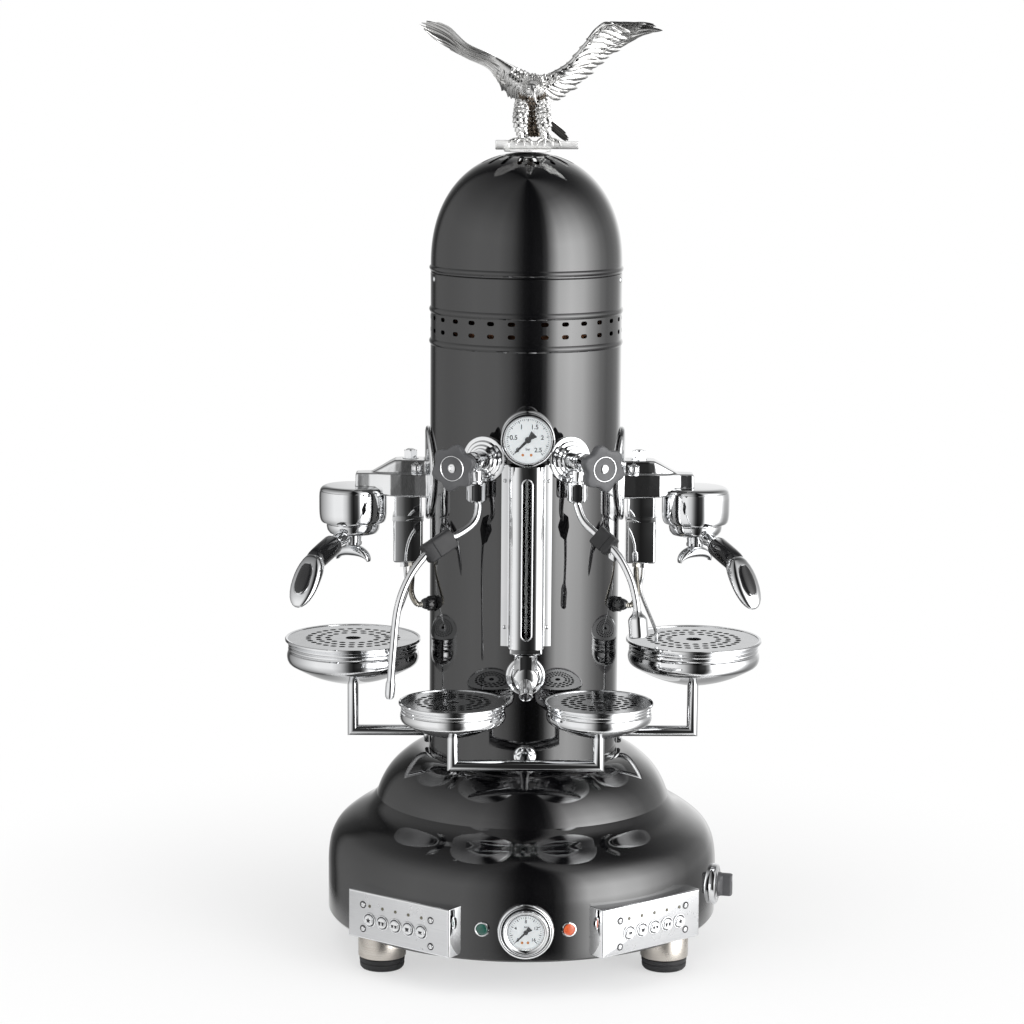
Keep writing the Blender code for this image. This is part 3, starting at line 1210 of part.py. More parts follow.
def solenoid(side):
    """The chromed solenoid housing under the arm and its drain pipe."""
    top = ARM_BLOCK_BOTTOM - SEAT_GAP
    head = box((SOLENOID_NEAR + SOLENOID_STEP, -SOLENOID_HALF_WIDTH + SOLENOID_STEP,
                SOLENOID_STEP_HEIGHT - CUT_OVERRUN),
               (SOLENOID_FAR - SOLENOID_STEP, SOLENOID_HALF_WIDTH - SOLENOID_STEP, top))
    can = box((SOLENOID_NEAR, -SOLENOID_HALF_WIDTH, SOLENOID_BOTTOM),
              (SOLENOID_FAR, SOLENOID_HALF_WIDTH, SOLENOID_STEP_HEIGHT), SOLENOID_EDGE)
    pipe = tube(smooth_route(drain_pipe_route(), DRAIN_PIPE_STEPS), DRAIN_PIPE_RADIUS, DRAIN_PIPE_SIDES)
    add_part("solenoid_%s" % side_word(side), on_side(united(head, can, pipe), side), "chrome")


def conduit_route():
    """From the solenoid's underside down and round into the gland on the column."""
    mouth = COLUMN_RADIUS + GLAND_LENGTH / 2
    end = spoke_point(GLAND_AZIMUTH, mouth, GLAND_HEIGHT)
    straight_in = spoke_point(GLAND_AZIMUTH, mouth + CONDUIT_STRAIGHT, GLAND_HEIGHT)
    start = Vector((CONDUIT_EXIT_X, CONDUIT_EXIT_Y, SOLENOID_BOTTOM - 2 * RUNNING_GAP))
    down = start - Vector((0, 0, CONDUIT_STRAIGHT))
    drop = start.z - end.z
    bends = [Vector((start.x, end.y * forward_share, end.z + drop * up_share))
             for forward_share, up_share in CONDUIT_BEND_SHARES]
    return [start, down, *bends, straight_in, end]


def conduit(side):
    """The armoured conduit, ribbed outside and bored through, in its black gland on the column."""
    steps = 2 * CONDUIT_RIBS
    route = smooth_route(conduit_route(), steps)
    radii = [CONDUIT_RADIUS if index % 2 else CONDUIT_VALLEY_RADIUS for index in range(steps + 1)]
    hose = tube(route, radii, CONDUIT_SIDES)
    bore_route = route[::CONDUIT_BORE_STEP]
    bore_route[0] = route[0] + (route[0] - route[1]).normalized() * CUT_OVERRUN
    bore_route[-1] = spoke_point(GLAND_AZIMUTH, COLUMN_RADIUS - CUT_OVERRUN, GLAND_HEIGHT)
    bore = tube(bore_route, CONDUIT_BORE_RADIUS, CONDUIT_SIDES)
    body = cut(united(hose, gland()), bore)
    add_part("conduit_%s" % side_word(side), on_side(body, side), "brushed_steel")


def gland():
    """The cable gland on the column, with a domed nut."""
    frame = radial_frame(GLAND_AZIMUTH, COLUMN_RADIUS, GLAND_HEIGHT)
    profile = [(0, -CUT_OVERRUN), (GLAND_RADIUS, -CUT_OVERRUN),
               (GLAND_RADIUS, GLAND_LENGTH * GLAND_NUT_SHARE),
               (GLAND_NECK_RADIUS, GLAND_LENGTH), (0, GLAND_LENGTH)]
    return cut(placed(lathe(profile, circle_angles(12)), frame), column_sleeve(SEAT_GAP))


def holder_head():
    """The filter holder's body: basket cup, bayonet lugs, neck, boss and a double spout."""
    round_edge = HOLDER_ROUND
    profile = [(0, HOLDER_BOTTOM), (HOLDER_RADIUS - round_edge, HOLDER_BOTTOM),
               (HOLDER_RADIUS, HOLDER_BOTTOM + round_edge), (HOLDER_RADIUS, HOLDER_RIM),
               (BASKET_RADIUS, HOLDER_RIM), (BASKET_RADIUS, BASKET_FLOOR), (0, BASKET_FLOOR)]
    cup = lathe(profile, circle_angles(HOLDER_SEGMENTS))
    boss = prism(circle_outline(SPOUT_BOSS_RADIUS, SPOUT_SIDES), SPOUT_BOSS_BOTTOM,
                 HOLDER_BOTTOM + CUT_OVERRUN)
    slope = math.radians(HANDLE_SLOPES[0])
    neck_way = Vector((0, -math.cos(slope), -math.sin(slope)))
    neck_base = Vector((0, 0, NECK_HEIGHT))
    neck = tube([neck_base + neck_way * NECK_START, neck_base + neck_way * NECK_END],
                NECK_RADIUS, SPOUT_SIDES)
    lugs = []
    lug_low = BELL_BOTTOM + LEDGE_THICKNESS + SEAT_GAP
    reach = HOLDER_RADIUS + LUG_REACH
    outline = [(0, 0)] + [(reach * math.cos(angle), reach * math.sin(angle))
                          for angle in (-LUG_HALF_ANGLE, -LUG_HALF_ANGLE / 3, LUG_HALF_ANGLE / 3,
                                        LUG_HALF_ANGLE)]
    for turn in (FULL_TURN / 4, -FULL_TURN / 4):
        lug = prism(outline, lug_low, lug_low + LUG_THICKNESS, Matrix.Rotation(turn, 4, "Z"))
        lugs.append(cut(lug, prism(circle_outline((HOLDER_RADIUS + BASKET_RADIUS) / 2, HOLDER_SEGMENTS),
                                   BELL_BOTTOM, BELL_TOP)))
    return united(cup, boss, neck, *lugs, double_spout())


def double_spout():
    """An arched spout under the boss, whose two mouths point down to either side of the handle."""
    rings = []
    rise = SPOUT_BOSS_BOTTOM + SPOUT_RADIUS / 2 - SPOUT_TIP_HEIGHT
    for step in range(-SPOUT_STEPS, SPOUT_STEPS + 1):
        share = step / SPOUT_STEPS
        angle = share * FULL_TURN / 4
        middle = Vector((SPOUT_REACH * math.sin(angle), 0, SPOUT_TIP_HEIGHT + rise * math.cos(angle)))
        forward = Vector((SPOUT_REACH * math.cos(angle), 0, -rise * math.sin(angle))).normalized()
        across = Vector((0, 1, 0))
        up = forward.cross(across)
        deep = SPOUT_RADIUS * (1 - SPOUT_DEPTH_TAPER_SHARE * abs(share))
        wide = SPOUT_RADIUS * (1 - SPOUT_WIDTH_TAPER_SHARE * abs(share))
        rings.append([middle + up * math.cos(turn) * deep + across * math.sin(turn) * wide
                      for turn in circle_angles(SPOUT_SIDES)])
    return loft(rings)


def handle_rings():
    """Cross-sections of the handle, from its ferrule to the flat drooping paddle."""
    slope = math.radians(HANDLE_SLOPES[0])
    place = Vector((0, 0, NECK_HEIGHT))
    place += Vector((0, -math.cos(slope), -math.sin(slope))) * (NECK_END + SEAT_GAP)
    rings = []
    before = 0.0
    for share, degrees, wide, deep in zip(HANDLE_STEP_SHARES, HANDLE_SLOPES, HANDLE_WIDTH_SHARES,
                                          HANDLE_DEPTH_SHARES):
        slope = math.radians(degrees)
        forward = Vector((0, -math.cos(slope), -math.sin(slope)))
        place = place + forward * (share - before) * HANDLE_LENGTH
        before = share
        across = Vector((1, 0, 0))
        up = forward.cross(across)
        rings.append([place + across * math.cos(angle) * wide * HANDLE_HALF_WIDTH
                      + up * math.sin(angle) * deep * HANDLE_HALF_DEPTH
                      for angle in circle_angles(HANDLE_SIDES)])
    return rings


def filter_holder(side):
    """The filter holder and its handle, which turn together in the bell."""
    turn = side * HOLDER_TURN
    axis = Vector((side * GROUP_REACH, 0, BELL_BOTTOM))
    to_group = Matrix.Translation((axis.x, 0, 0)) @ Matrix.Rotation(turn, 4, "Z")
    head = add_part("filter_holder_%s" % side_word(side), placed(holder_head(), to_group), "chrome",
                    axis, turn=turn)
    add_part("handle_%s" % side_word(side), placed(loft(handle_rings()), to_group), "black_gloss",
             axis, parent=head, turn=turn)


def valve_body(side):
    """A steam or water valve: rosette on the column, body, packing nut and a neck down to the swivel."""
    depth = ROSETTE_DEPTH
    radius = ROSETTE_RADIUS
    stem_end = VALVE_LENGTH - KNOB_THICKNESS - KNOB_HUB_LENGTH + KNOB_SOCKET_DEPTH - SEAT_GAP
    profile = [(0, -CUT_OVERRUN), (radius, -CUT_OVERRUN)]
    profile += [(radius * radius_share, depth * depth_share) for radius_share, depth_share in ROSETTE_SHARES]
    profile += [(VALVE_BODY_RADIUS, depth), (VALVE_BODY_RADIUS, VALVE_NUT_START),
                (VALVE_NUT_RADIUS, VALVE_NUT_START), (VALVE_NUT_RADIUS, VALVE_NUT_END),
                (VALVE_STEM_RADIUS, VALVE_NUT_END), (VALVE_STEM_RADIUS, stem_end), (0, stem_end)]
    frame = radial_frame(VALVE_AZIMUTH, COLUMN_RADIUS, VALVE_HEIGHT)
    turned = placed(lathe(profile, circle_angles(VALVE_SEGMENTS)), frame)
    neck_top = spoke_point(VALVE_AZIMUTH, SWIVEL_DISTANCE, VALVE_HEIGHT)
    neck_low = spoke_point(VALVE_AZIMUTH, SWIVEL_DISTANCE, SWIVEL_NUT_TOP + SEAT_GAP)
    neck = tube([neck_top, neck_low], SWIVEL_NECK_RADIUS, WAND_SIDES)
    body = cut(united(turned, neck), column_sleeve(SEAT_GAP))
    word = "water" if side > 0 else "steam"
    add_part("%s_valve" % word, on_side(body, side), "chrome")


def knob_outline(radius):
    """A six-lobed outline."""
    depth = radius * KNOB_LOBE_DEPTH_SHARE
    points = []
    for angle in circle_angles(KNOB_POINTS):
        reach = radius - depth + depth * math.cos(angle * KNOB_LOBES)
        points.append((reach * math.cos(angle), reach * math.sin(angle)))
    return points


def valve_knob(side):
    """The lobed knob on the valve's stem."""
    top = VALVE_LENGTH
    low = top - KNOB_THICKNESS
    edge = KNOB_EDGE
    outline = knob_outline(KNOB_RADIUS)
    narrow = knob_outline(KNOB_RADIUS - edge)
    rings = [[Vector((x, y, low)) for x, y in narrow], [Vector((x, y, low + edge)) for x, y in outline],
             [Vector((x, y, top - edge)) for x, y in outline], [Vector((x, y, top)) for x, y in narrow]]
    hub = prism(circle_outline(KNOB_HUB_RADIUS, VALVE_SEGMENTS), low - KNOB_HUB_LENGTH, low + edge)
    socket_low = low - KNOB_HUB_LENGTH - CUT_OVERRUN
    socket = prism(circle_outline(VALVE_STEM_RADIUS + SEAT_GAP, VALVE_SEGMENTS, FULL_TURN / 4), socket_low,
                   low - KNOB_HUB_LENGTH + KNOB_SOCKET_DEPTH)
    knob = cut(united(loft(rings), hub), socket)
    frame = radial_frame(VALVE_AZIMUTH, COLUMN_RADIUS, VALVE_HEIGHT)
    word = "water" if side > 0 else "steam"
    centre = spoke_point(side * VALVE_AZIMUTH, COLUMN_RADIUS + low, VALVE_HEIGHT)
    add_part("%s_knob" % word, on_side(placed(knob, frame), side), "black_plastic", centre)


def wand_route(side):
    """The wand's route down from its swivel nut, on the right side."""
    top = spoke_point(VALVE_AZIMUTH, SWIVEL_DISTANCE, SWIVEL_NUT_BOTTOM + SWIVEL_NUT_ROUND)
    if side > 0:
        sizes = (WATER_WAND_REACH, WATER_WAND_FORWARD, WATER_WAND_DROP)
        shares = (WATER_WAND_REACH_SHARES, WATER_WAND_FORWARD_SHARES, WATER_WAND_DROP_SHARES)
    else:
        sizes = (STEAM_WAND_REACH, STEAM_WAND_FORWARD, STEAM_WAND_DROP)
        shares = (STEAM_WAND_REACH_SHARES, STEAM_WAND_FORWARD_SHARES, STEAM_WAND_DROP_SHARES)
    reach, forward, drop = sizes
    points = [top + Vector((reach * x, -forward * y, -drop * z)) for x, y, z in zip(*shares)]
    return smooth_route(points, WAND_STEPS)


def wand(side):
    """A swivelling wand with its nut, and a nozzle or a bell on its end."""
    route = wand_route(side)
    pipe = tube(route, WAND_RADIUS, WAND_SIDES)
    nut_place = spoke_point(VALVE_AZIMUTH, SWIVEL_DISTANCE, 0)
    rounded = SWIVEL_NUT_RADIUS - SWIVEL_NUT_ROUND
    nut = lathe([(0, SWIVEL_NUT_BOTTOM), (rounded, SWIVEL_NUT_BOTTOM),
                 (SWIVEL_NUT_RADIUS, SWIVEL_NUT_BOTTOM + SWIVEL_NUT_ROUND),
                 (SWIVEL_NUT_RADIUS, SWIVEL_NUT_TOP - SWIVEL_NUT_ROUND),
                 (rounded, SWIVEL_NUT_TOP), (0, SWIVEL_NUT_TOP)],
                circle_angles(8))
    nut = placed(nut, Matrix.Translation(nut_place))
    way = (route[-1] - route[-2]).normalized()
    radius = WATER_BELL_RADIUS if side > 0 else STEAM_TIP_RADIUS
    length = WATER_BELL_LENGTH if side > 0 else STEAM_TIP_LENGTH
    start = route[-1] - way * WAND_RADIUS
    stations = [start + way * length * share for share in WAND_END_LENGTH_SHARES]
    radii = [WAND_RADIUS * WAND_SOCKET_SHARE] + [radius * share for share in WAND_END_RADIUS_SHARES]
    end = tube(stations, radii, WAND_SIDES)
    body = united(pipe, nut, end)
    word = "water" if side > 0 else "steam"
    origin = spoke_point(side * VALVE_AZIMUTH, SWIVEL_DISTANCE, SWIVEL_NUT_TOP)
    return add_part("%s_wand" % word, on_side(body, side), "chrome", origin), origin


def wand_grip(side, parent, origin):
    """The black rubber sleeve by which a wand is turned."""
    route = wand_route(side)
    first = round(GRIP_START_SHARE * WAND_STEPS) if side > 0 else round(GRIP_START_SHARE * WAND_STEPS) - 1
    last = first + round((GRIP_END_SHARE - GRIP_START_SHARE) * WAND_STEPS)
    start, end = route[first], route[last]
    way = (end - start).normalized()
    depth_way = Vector((0, 1, 0))
    width_way = way.cross(depth_way).normalized()
    depth_way = width_way.cross(way)
    half_length = (end - start).length / 2
    middle = (start + end) / 2
    place = Matrix((width_way, depth_way, way)).transposed().to_4x4()
    place.translation = middle
    block = placed(box((-GRIP_HALF_WIDTH, -GRIP_HALF_DEPTH, -half_length),
                       (GRIP_HALF_WIDTH, GRIP_HALF_DEPTH, half_length), GRIP_HALF_DEPTH / 5), place)
    bore = tube(route, WAND_RADIUS + SEAT_GAP, WAND_SIDES)
    word = "water" if side > 0 else "steam"
    add_part("%s_wand_grip" % word, on_side(cut(block, bore), side), "rubber_grip", origin,
             parent=parent)


def sight_glass_cover():
    """The long chromed cover: two flat flanges and a round-fronted body with a slot for the glass."""
    back_flange = COLUMN_RADIUS - CUT_OVERRUN
    flange = box((-COVER_HALF_WIDTH, -COVER_FLANGE_FRONT, COVER_FLANGE_BOTTOM),
                 (COVER_HALF_WIDTH, -back_flange, COVER_TOP))
    half = COVER_BODY_HALF_WIDTH
    bulge = COVER_BODY_FRONT - COVER_FLANGE_FRONT
    outer = [(half, -back_flange)]
    inner = [(half - COVER_THICKNESS, -back_flange + CUT_OVERRUN)]
    for step in range(COVER_ARC_STEPS + 1):
        angle = FULL_TURN / 2 * step / COVER_ARC_STEPS
        outer.append((half * math.cos(angle), -COVER_FLANGE_FRONT - bulge * math.sin(angle)))
        inner.append(((half - COVER_THICKNESS) * math.cos(angle),
                      -COVER_FLANGE_FRONT - (bulge - COVER_THICKNESS) * math.sin(angle)))
    outer.append((-half, -back_flange))
    inner.append((-half + COVER_THICKNESS, -back_flange + CUT_OVERRUN))
    body = prism(outer, COVER_BODY_BOTTOM, COVER_TOP)
    hollow = prism(inner, COVER_BODY_BOTTOM - CUT_OVERRUN, COVER_TOP + CUT_OVERRUN)
    slot_outline = []
    round_radius = COVER_SLOT_HALF_WIDTH
    for centre, start in ((COVER_SLOT_TOP - round_radius, 0),
                          (COVER_SLOT_BOTTOM + round_radius, FULL_TURN / 2)):
        for step in range(5):
            angle = start + FULL_TURN / 2 * step / 4
            slot_outline.append((round_radius * math.cos(angle), centre + round_radius * math.sin(angle)))
    slot = prism(slot_outline, COVER_FLANGE_FRONT, COVER_BODY_FRONT + CUT_OVERRUN,
                 Matrix.Rotation(FULL_TURN / 4, 4, "X"))
    cover = cut(united(flange, body), hollow, slot)
    notches = [placed(prism(circle_outline(ROSETTE_RADIUS + SEAT_GAP, VALVE_SEGMENTS), -CUT_OVERRUN,
                            ROSETTE_DEPTH * 2),
                      radial_frame(side * VALVE_AZIMUTH, COLUMN_RADIUS, VALVE_HEIGHT))
               for side in (-1, 1)]
    cover = cut(cover, column_sleeve(SEAT_GAP), *notches)
    add_part("sight_glass_cover", cover, "chrome")


def sight_glass_tube():
    """The glass tube behind the slot, held between the gauge and the cock."""
    low = COVER_BODY_BOTTOM
    high = GAUGE_HEIGHT - GAUGE_CASE_RADIUS - SEAT_GAP
    place = Matrix.Translation((0, -GLASS_TUBE_DISTANCE, 0))
    add_part("sight_glass_tube", prism(circle_outline(GLASS_TUBE_RADIUS, GLASS_TUBE_SIDES), low, high,
                                       place), "clear_glass")


def drain_cock():
    """The lower cock of the sight glass: flange, body, hexagon nut on top and a sloping nozzle."""
    frame = radial_frame(0, COLUMN_RADIUS, COCK_HEIGHT)
    front = COCK_BODY_FRONT - COLUMN_RADIUS
    depth = COCK_FLANGE_DEPTH
    step = depth * COCK_FLANGE_STEP_SHARE
    profile = [(0, -CUT_OVERRUN), (COCK_FLANGE_RADIUS, -CUT_OVERRUN), (COCK_FLANGE_RADIUS, depth),
               (COCK_FLANGE_RADIUS - depth, step), (COCK_BODY_RADIUS, step),
               (COCK_BODY_RADIUS, front - depth / 2), (COCK_BODY_RADIUS - depth / 2, front), (0, front)]
    body = placed(lathe(profile, circle_angles(VALVE_SEGMENTS)), frame)
    nut_top = COVER_BODY_BOTTOM - SEAT_GAP
    nut = prism(circle_outline(COCK_NUT_RADIUS, 6), COCK_HEIGHT + COCK_FLANGE_DEPTH / 2, nut_top,
                Matrix.Translation((0, -GLASS_TUBE_DISTANCE, 0)))
    slope = COCK_NOZZLE_SLOPE
    start = Vector((0, -COCK_BODY_FRONT + COCK_NOZZLE_RADIUS, COCK_HEIGHT))
    way = Vector((0, -math.cos(slope), -math.sin(slope)))
    nozzle = tube([start, start + way * COCK_NOZZLE_LENGTH], COCK_NOZZLE_RADIUS, SPOUT_SIDES)
    cock = cut(united(body, nut, nozzle), column_sleeve(SEAT_GAP))
    add_part("drain_cock", cock, "chrome")


def tray_profile(radius, depth, rim):
    """The bowl's outline: rolled rim, groove, bead, straight band and a shallow cone."""
    outer = [(radius * r, rim - depth * z)
             for r, z in zip(TRAY_OUTER_RADIUS_SHARES, TRAY_OUTER_DEPTH_SHARES)]
    seat = grate_radius(radius) + SEAT_GAP
    seat_height = rim - GRATE_DROP - GRATE_THICKNESS - SEAT_GAP
    inner = [(seat, rim), (seat, seat_height), (seat - GRATE_LEDGE, seat_height)]
    inner += [(radius * r, rim - depth * z)
              for r, z in zip(TRAY_INNER_RADIUS_SHARES, TRAY_INNER_DEPTH_SHARES)]
    inner.append((0, rim - depth * TRAY_FLOOR_SHARE))
    outer.append((0, rim - depth))
    return list(reversed(outer)) + inner


def grate_radius(radius):
    """A grate's radius, which leaves the tray's rolled rim round it."""
    return radius - GRATE_RIM_WALL


def tray_bowl(centre, radius, depth, rim):
    """A shallow bowl at a place."""
    return placed(lathe(tray_profile(radius, depth, rim), circle_angles(TRAY_SEGMENTS)),
                  Matrix.Translation(centre))


def side_tray(side):
    """A bowl on a mitred tube that comes out of the column's side."""
    bowl = tray_bowl((SIDE_TRAY_REACH, 0, 0), SIDE_TRAY_RADIUS, SIDE_TRAY_DEPTH, SIDE_TRAY_RIM)
    inside = SIDE_TRAY_RIM - SIDE_TRAY_DEPTH * TRAY_TUBE_SHARE
    arm = mitred_tube([Vector((COLUMN_RADIUS - CUT_OVERRUN, 0, SIDE_TUBE_HEIGHT)),
                       Vector((SIDE_TRAY_REACH, 0, SIDE_TUBE_HEIGHT)),
                       Vector((SIDE_TRAY_REACH, 0, inside))], TUBE_RADIUS, TUBE_SIDES)
    rosette = placed(prism(circle_outline(SIDE_ROSETTE_RADIUS, TUBE_SIDES), -CUT_OVERRUN,
                           SIDE_ROSETTE_DEPTH),
                     radial_frame(FULL_TURN / 4, COLUMN_RADIUS, SIDE_TUBE_HEIGHT))
    tray = cut(united(bowl, arm, rosette), column_sleeve(SEAT_GAP))
    add_part("side_tray_%s" % side_word(side), on_side(tray, side), "chrome")


def front_tray_frame():
    """Two small bowls on one mitred tube that a boss holds in front of the column."""
    inside = FRONT_TRAY_RIM - FRONT_TRAY_DEPTH * TRAY_TUBE_SHARE
    height = FRONT_TUBE_HEIGHT
    corners = [Vector((-FRONT_TRAY_X, FRONT_TRAY_Y, inside)), Vector((-FRONT_TRAY_X, FRONT_TRAY_Y, height)),
               Vector((FRONT_TRAY_X, FRONT_TRAY_Y, height)), Vector((FRONT_TRAY_X, FRONT_TRAY_Y, inside))]
    rail = mitred_tube(corners, TUBE_RADIUS, TUBE_SIDES)
    reach = -FRONT_TRAY_Y - COLUMN_RADIUS
    profile = [(0, -CUT_OVERRUN), (FRONT_BOSS_RADIUS, -CUT_OVERRUN), (FRONT_BOSS_RADIUS, FRONT_BOSS_DEPTH),
               (FRONT_BOSS_NECK_RADIUS, FRONT_BOSS_DEPTH), (FRONT_BOSS_NECK_RADIUS, reach), (0, reach)]
    boss = placed(lathe(profile, circle_angles(TUBE_SIDES)),
                  radial_frame(0, COLUMN_RADIUS, height))
    bowls = [tray_bowl((side * FRONT_TRAY_X, FRONT_TRAY_Y, 0), FRONT_TRAY_RADIUS, FRONT_TRAY_DEPTH,
                       FRONT_TRAY_RIM) for side in (-1, 1)]
    tray = cut(united(rail, boss, *bowls), column_sleeve(SEAT_GAP))
    add_part("front_tray_frame", tray, "chrome")


def grate_mesh(name, radius):
    """A round grate with rings of slots and a hole in its middle."""
    outer = grate_radius(radius)
    plate = prism(circle_outline(outer, TRAY_SEGMENTS, FULL_TURN / 4), 0, GRATE_THICKNESS)
    cutters = [prism(circle_outline(outer * GRATE_HOLE_SHARE, 10), -CUT_OVERRUN,
                     GRATE_THICKNESS + CUT_OVERRUN)]
    half_length = outer * GRATE_SLOT_LENGTH_SHARE / 2
    half_width = outer * GRATE_SLOT_WIDTH_SHARE / 2
    for row_share, count in zip(GRATE_ROW_SHARES, GRATE_ROW_COUNTS):
        for angle in circle_angles(count, row_share):
            slot = box((outer * row_share - half_width, -half_length, -CUT_OVERRUN),
                       (outer * row_share + half_width, half_length, GRATE_THICKNESS + CUT_OVERRUN))
            cutters.append(placed(slot, Matrix.Rotation(angle, 4, "Z")))
    tool = bmesh.new()
    for cutter in cutters:
        add_to(tool, cutter)
    bm = combined(plate, [tool], "DIFFERENCE")
    mesh = bpy.data.meshes.new(name)
    bm.to_mesh(mesh)
    bm.free()
    return mesh


def add_to(target, source):
    """Copy one body into another as a separate shell."""
    matched = {vert: target.verts.new(vert.co) for vert in source.verts}
    for face in source.faces:
        target.faces.new([matched[vert] for vert in face.verts])
    source.free()


def grates():
    """The four lift-out grates."""
    side_mesh = grate_mesh("side_grate", SIDE_TRAY_RADIUS)
    front_mesh = grate_mesh("front_grate", FRONT_TRAY_RADIUS)
    for side in (-1, 1):
        height = SIDE_TRAY_RIM - GRATE_DROP - GRATE_THICKNESS
        place_part("side_grate_%s" % side_word(side), side_mesh, "satin_steel",
                   Matrix.Translation((side * SIDE_TRAY_REACH, 0, height)))
        height = FRONT_TRAY_RIM - GRATE_DROP - GRATE_THICKNESS
        place_part("front_grate_%s" % side_word(side), front_mesh, "satin_steel",
                   Matrix.Translation((side * FRONT_TRAY_X, FRONT_TRAY_Y, height)))


def oval_ring(middle, wide_way, deep_way, wide, deep, sides):
    """A ring of points round a middle."""
    return [middle + wide_way * math.cos(angle) * wide + deep_way * math.sin(angle) * deep
            for angle in circle_angles(sides)]


def eagle_wing(span, shares, foot):
    """One raised wing from shoulder to tip, given by its leading and trailing edges."""
    rings = []
    for reach_share, lead_up_share, trail_up_share, lead_back_share, trail_back_share in shares:
        across = span * reach_share
        lead = Vector((across, EAGLE_HEIGHT * lead_back_share, foot + EAGLE_HEIGHT * lead_up_share))
        trail = Vector((across, EAGLE_HEIGHT * trail_back_share, foot + EAGLE_HEIGHT * trail_up_share))
        half = (trail - lead) / 2
        thick_way = half.cross(Vector((1, 0, 0))).normalized()
        thick = WING_THICKNESS * (1 - reach_share / 2) / 2
        rings.append([(lead + trail) / 2 + half * math.cos(angle) + thick_way * thick * math.sin(angle)
                      for angle in circle_angles(LIMB_SIDES)])
    return loft(rings)


def eagle_place(shares, foot):
    """A place in the figure from its shares across, back and up."""
    across_share, back_share, up_share = shares
    return Vector((PERCH_SHIFT * across_share, EAGLE_HEIGHT * back_share, foot + EAGLE_HEIGHT * up_share))


def tilted(angle):
    """The way from front to back, tilted up by an angle."""
    return Vector((0, math.cos(angle), math.sin(angle)))


def eagle_body(foot):
    """The leaning trunk, with the neck that joins it to the head."""
    rings = []
    for back_share, up_share, wide_share, deep_share in BODY_SHARES:
        middle = eagle_place((BODY_ACROSS_SHARE, back_share, up_share), foot)
        rings.append(oval_ring(middle, Vector((1, 0, 0)), tilted(BODY_TILT), EAGLE_BODY_RADIUS * wide_share,
                               EAGLE_BODY_RADIUS * deep_share, EAGLE_SIDES))
    neck = tube([eagle_place(NECK_START_SHARES, foot), eagle_place(NECK_END_SHARES, foot)],
                [EAGLE_BODY_RADIUS * share for share in NECK_SIZE_SHARES], EAGLE_SIDES)
    return [loft(rings), neck]


def eagle_head(foot):
    """The bowed head, which narrows into the beak."""
    rings = []
    forward_share, down_share = HEAD_WAY_SHARES
    wide_share, deep_share = HEAD_SIZE_SHARES
    for place_share, size_share in HEAD_STEP_SHARES:
        step = EAGLE_BODY_RADIUS * place_share
        middle = eagle_place(HEAD_PLACE_SHARES, foot) - Vector((0, step * forward_share, step * down_share))
        size = EAGLE_BODY_RADIUS * size_share
        rings.append(oval_ring(middle, Vector((1, 0, 0)), tilted(HEAD_TILT), size * wide_share,
                               size * deep_share, EAGLE_SIDES))
    return loft(rings)


def eagle_leg(side, foot):
    """A feathered leg from the hip to a claw on the bar."""
    hip = eagle_place(HIP_SHARES, foot) + Vector((side * EAGLE_BODY_RADIUS * HIP_SPREAD_SHARE, 0, 0))
    ankle = Vector((PERCH_SHIFT * ANKLE_ACROSS_SHARE + side * EAGLE_BODY_RADIUS * ANKLE_SPREAD_SHARE, 0,
                    foot + PERCH_RADIUS * ANKLE_RISE_SHARE))
    out_share, front_share = CLAW_SHARES
    claw = Vector((ankle.x + side * PERCH_RADIUS * out_share, -PERCH_RADIUS * front_share, foot))
    thigh = hip + (ankle - hip) * THIGH_SHARE
    sizes = [EAGLE_BODY_RADIUS * share for share in LEG_SIZE_SHARES]
    return tube([hip, thigh, ankle, claw], sizes, LIMB_SIDES)


def eagle_tail(foot):
    """The tail, which fans down to the rear right."""
    rings = []
    across_share, back_share, up_share = TAIL_WAY_SHARES
    way = Vector((EAGLE_HEIGHT * across_share, EAGLE_HEIGHT * back_share, EAGLE_HEIGHT * up_share))
    for place_share, wide_share, deep_share in TAIL_STEP_SHARES:
        middle = eagle_place(TAIL_PLACE_SHARES, foot) + way * place_share
        rings.append(oval_ring(middle, Vector((1, 0, 0)), tilted(TAIL_TILT), EAGLE_BODY_RADIUS * wide_share,
                               EAGLE_BODY_RADIUS * deep_share, LIMB_SIDES))
    return loft(rings)


def eagle():
    """The finial: a plate with a stud on the dome, the perch bar and the eagle that spreads its wings."""
    plate_low = COLUMN_TOP + SEAT_GAP + DOME_BEAD_HEIGHT + DOME_RISE + SEAT_GAP
    plate_high = plate_low + PERCH_PLATE_THICKNESS
    plate = lathe([(0, plate_low - FINIAL_STUD_HEIGHT), (FINIAL_STUD_RADIUS, plate_low - FINIAL_STUD_HEIGHT),
                   (FINIAL_STUD_RADIUS, plate_low), (PERCH_PLATE_RADIUS, plate_low),
                   (PERCH_PLATE_RADIUS, plate_high), (0, plate_high)], circle_angles(PANEL_SEGMENTS))
    foot = plate_high + PERCH_RADIUS - PERCH_SEAT_SINK
    bar = tube([Vector((PERCH_SHIFT + PERCH_HALF_LENGTH * place_share, 0, foot))
                for place_share, radius_share in PERCH_STEP_SHARES],
               [PERCH_RADIUS * radius_share for place_share, radius_share in PERCH_STEP_SHARES], EAGLE_SIDES)
    legs = [eagle_leg(side, foot) for side in (-1, 1)]
    wings = [eagle_wing(-WING_SPAN_LEFT, LEFT_WING_SHARES, foot),
             eagle_wing(WING_SPAN_RIGHT, RIGHT_WING_SHARES, foot)]
    pieces = [bar, *legs, *eagle_body(foot), eagle_head(foot), eagle_tail(foot), *wings]
    figure = combined(plate, pieces, "UNION", SEAT_GAP / 3)
    add_part("eagle_finial", figure, "chrome")


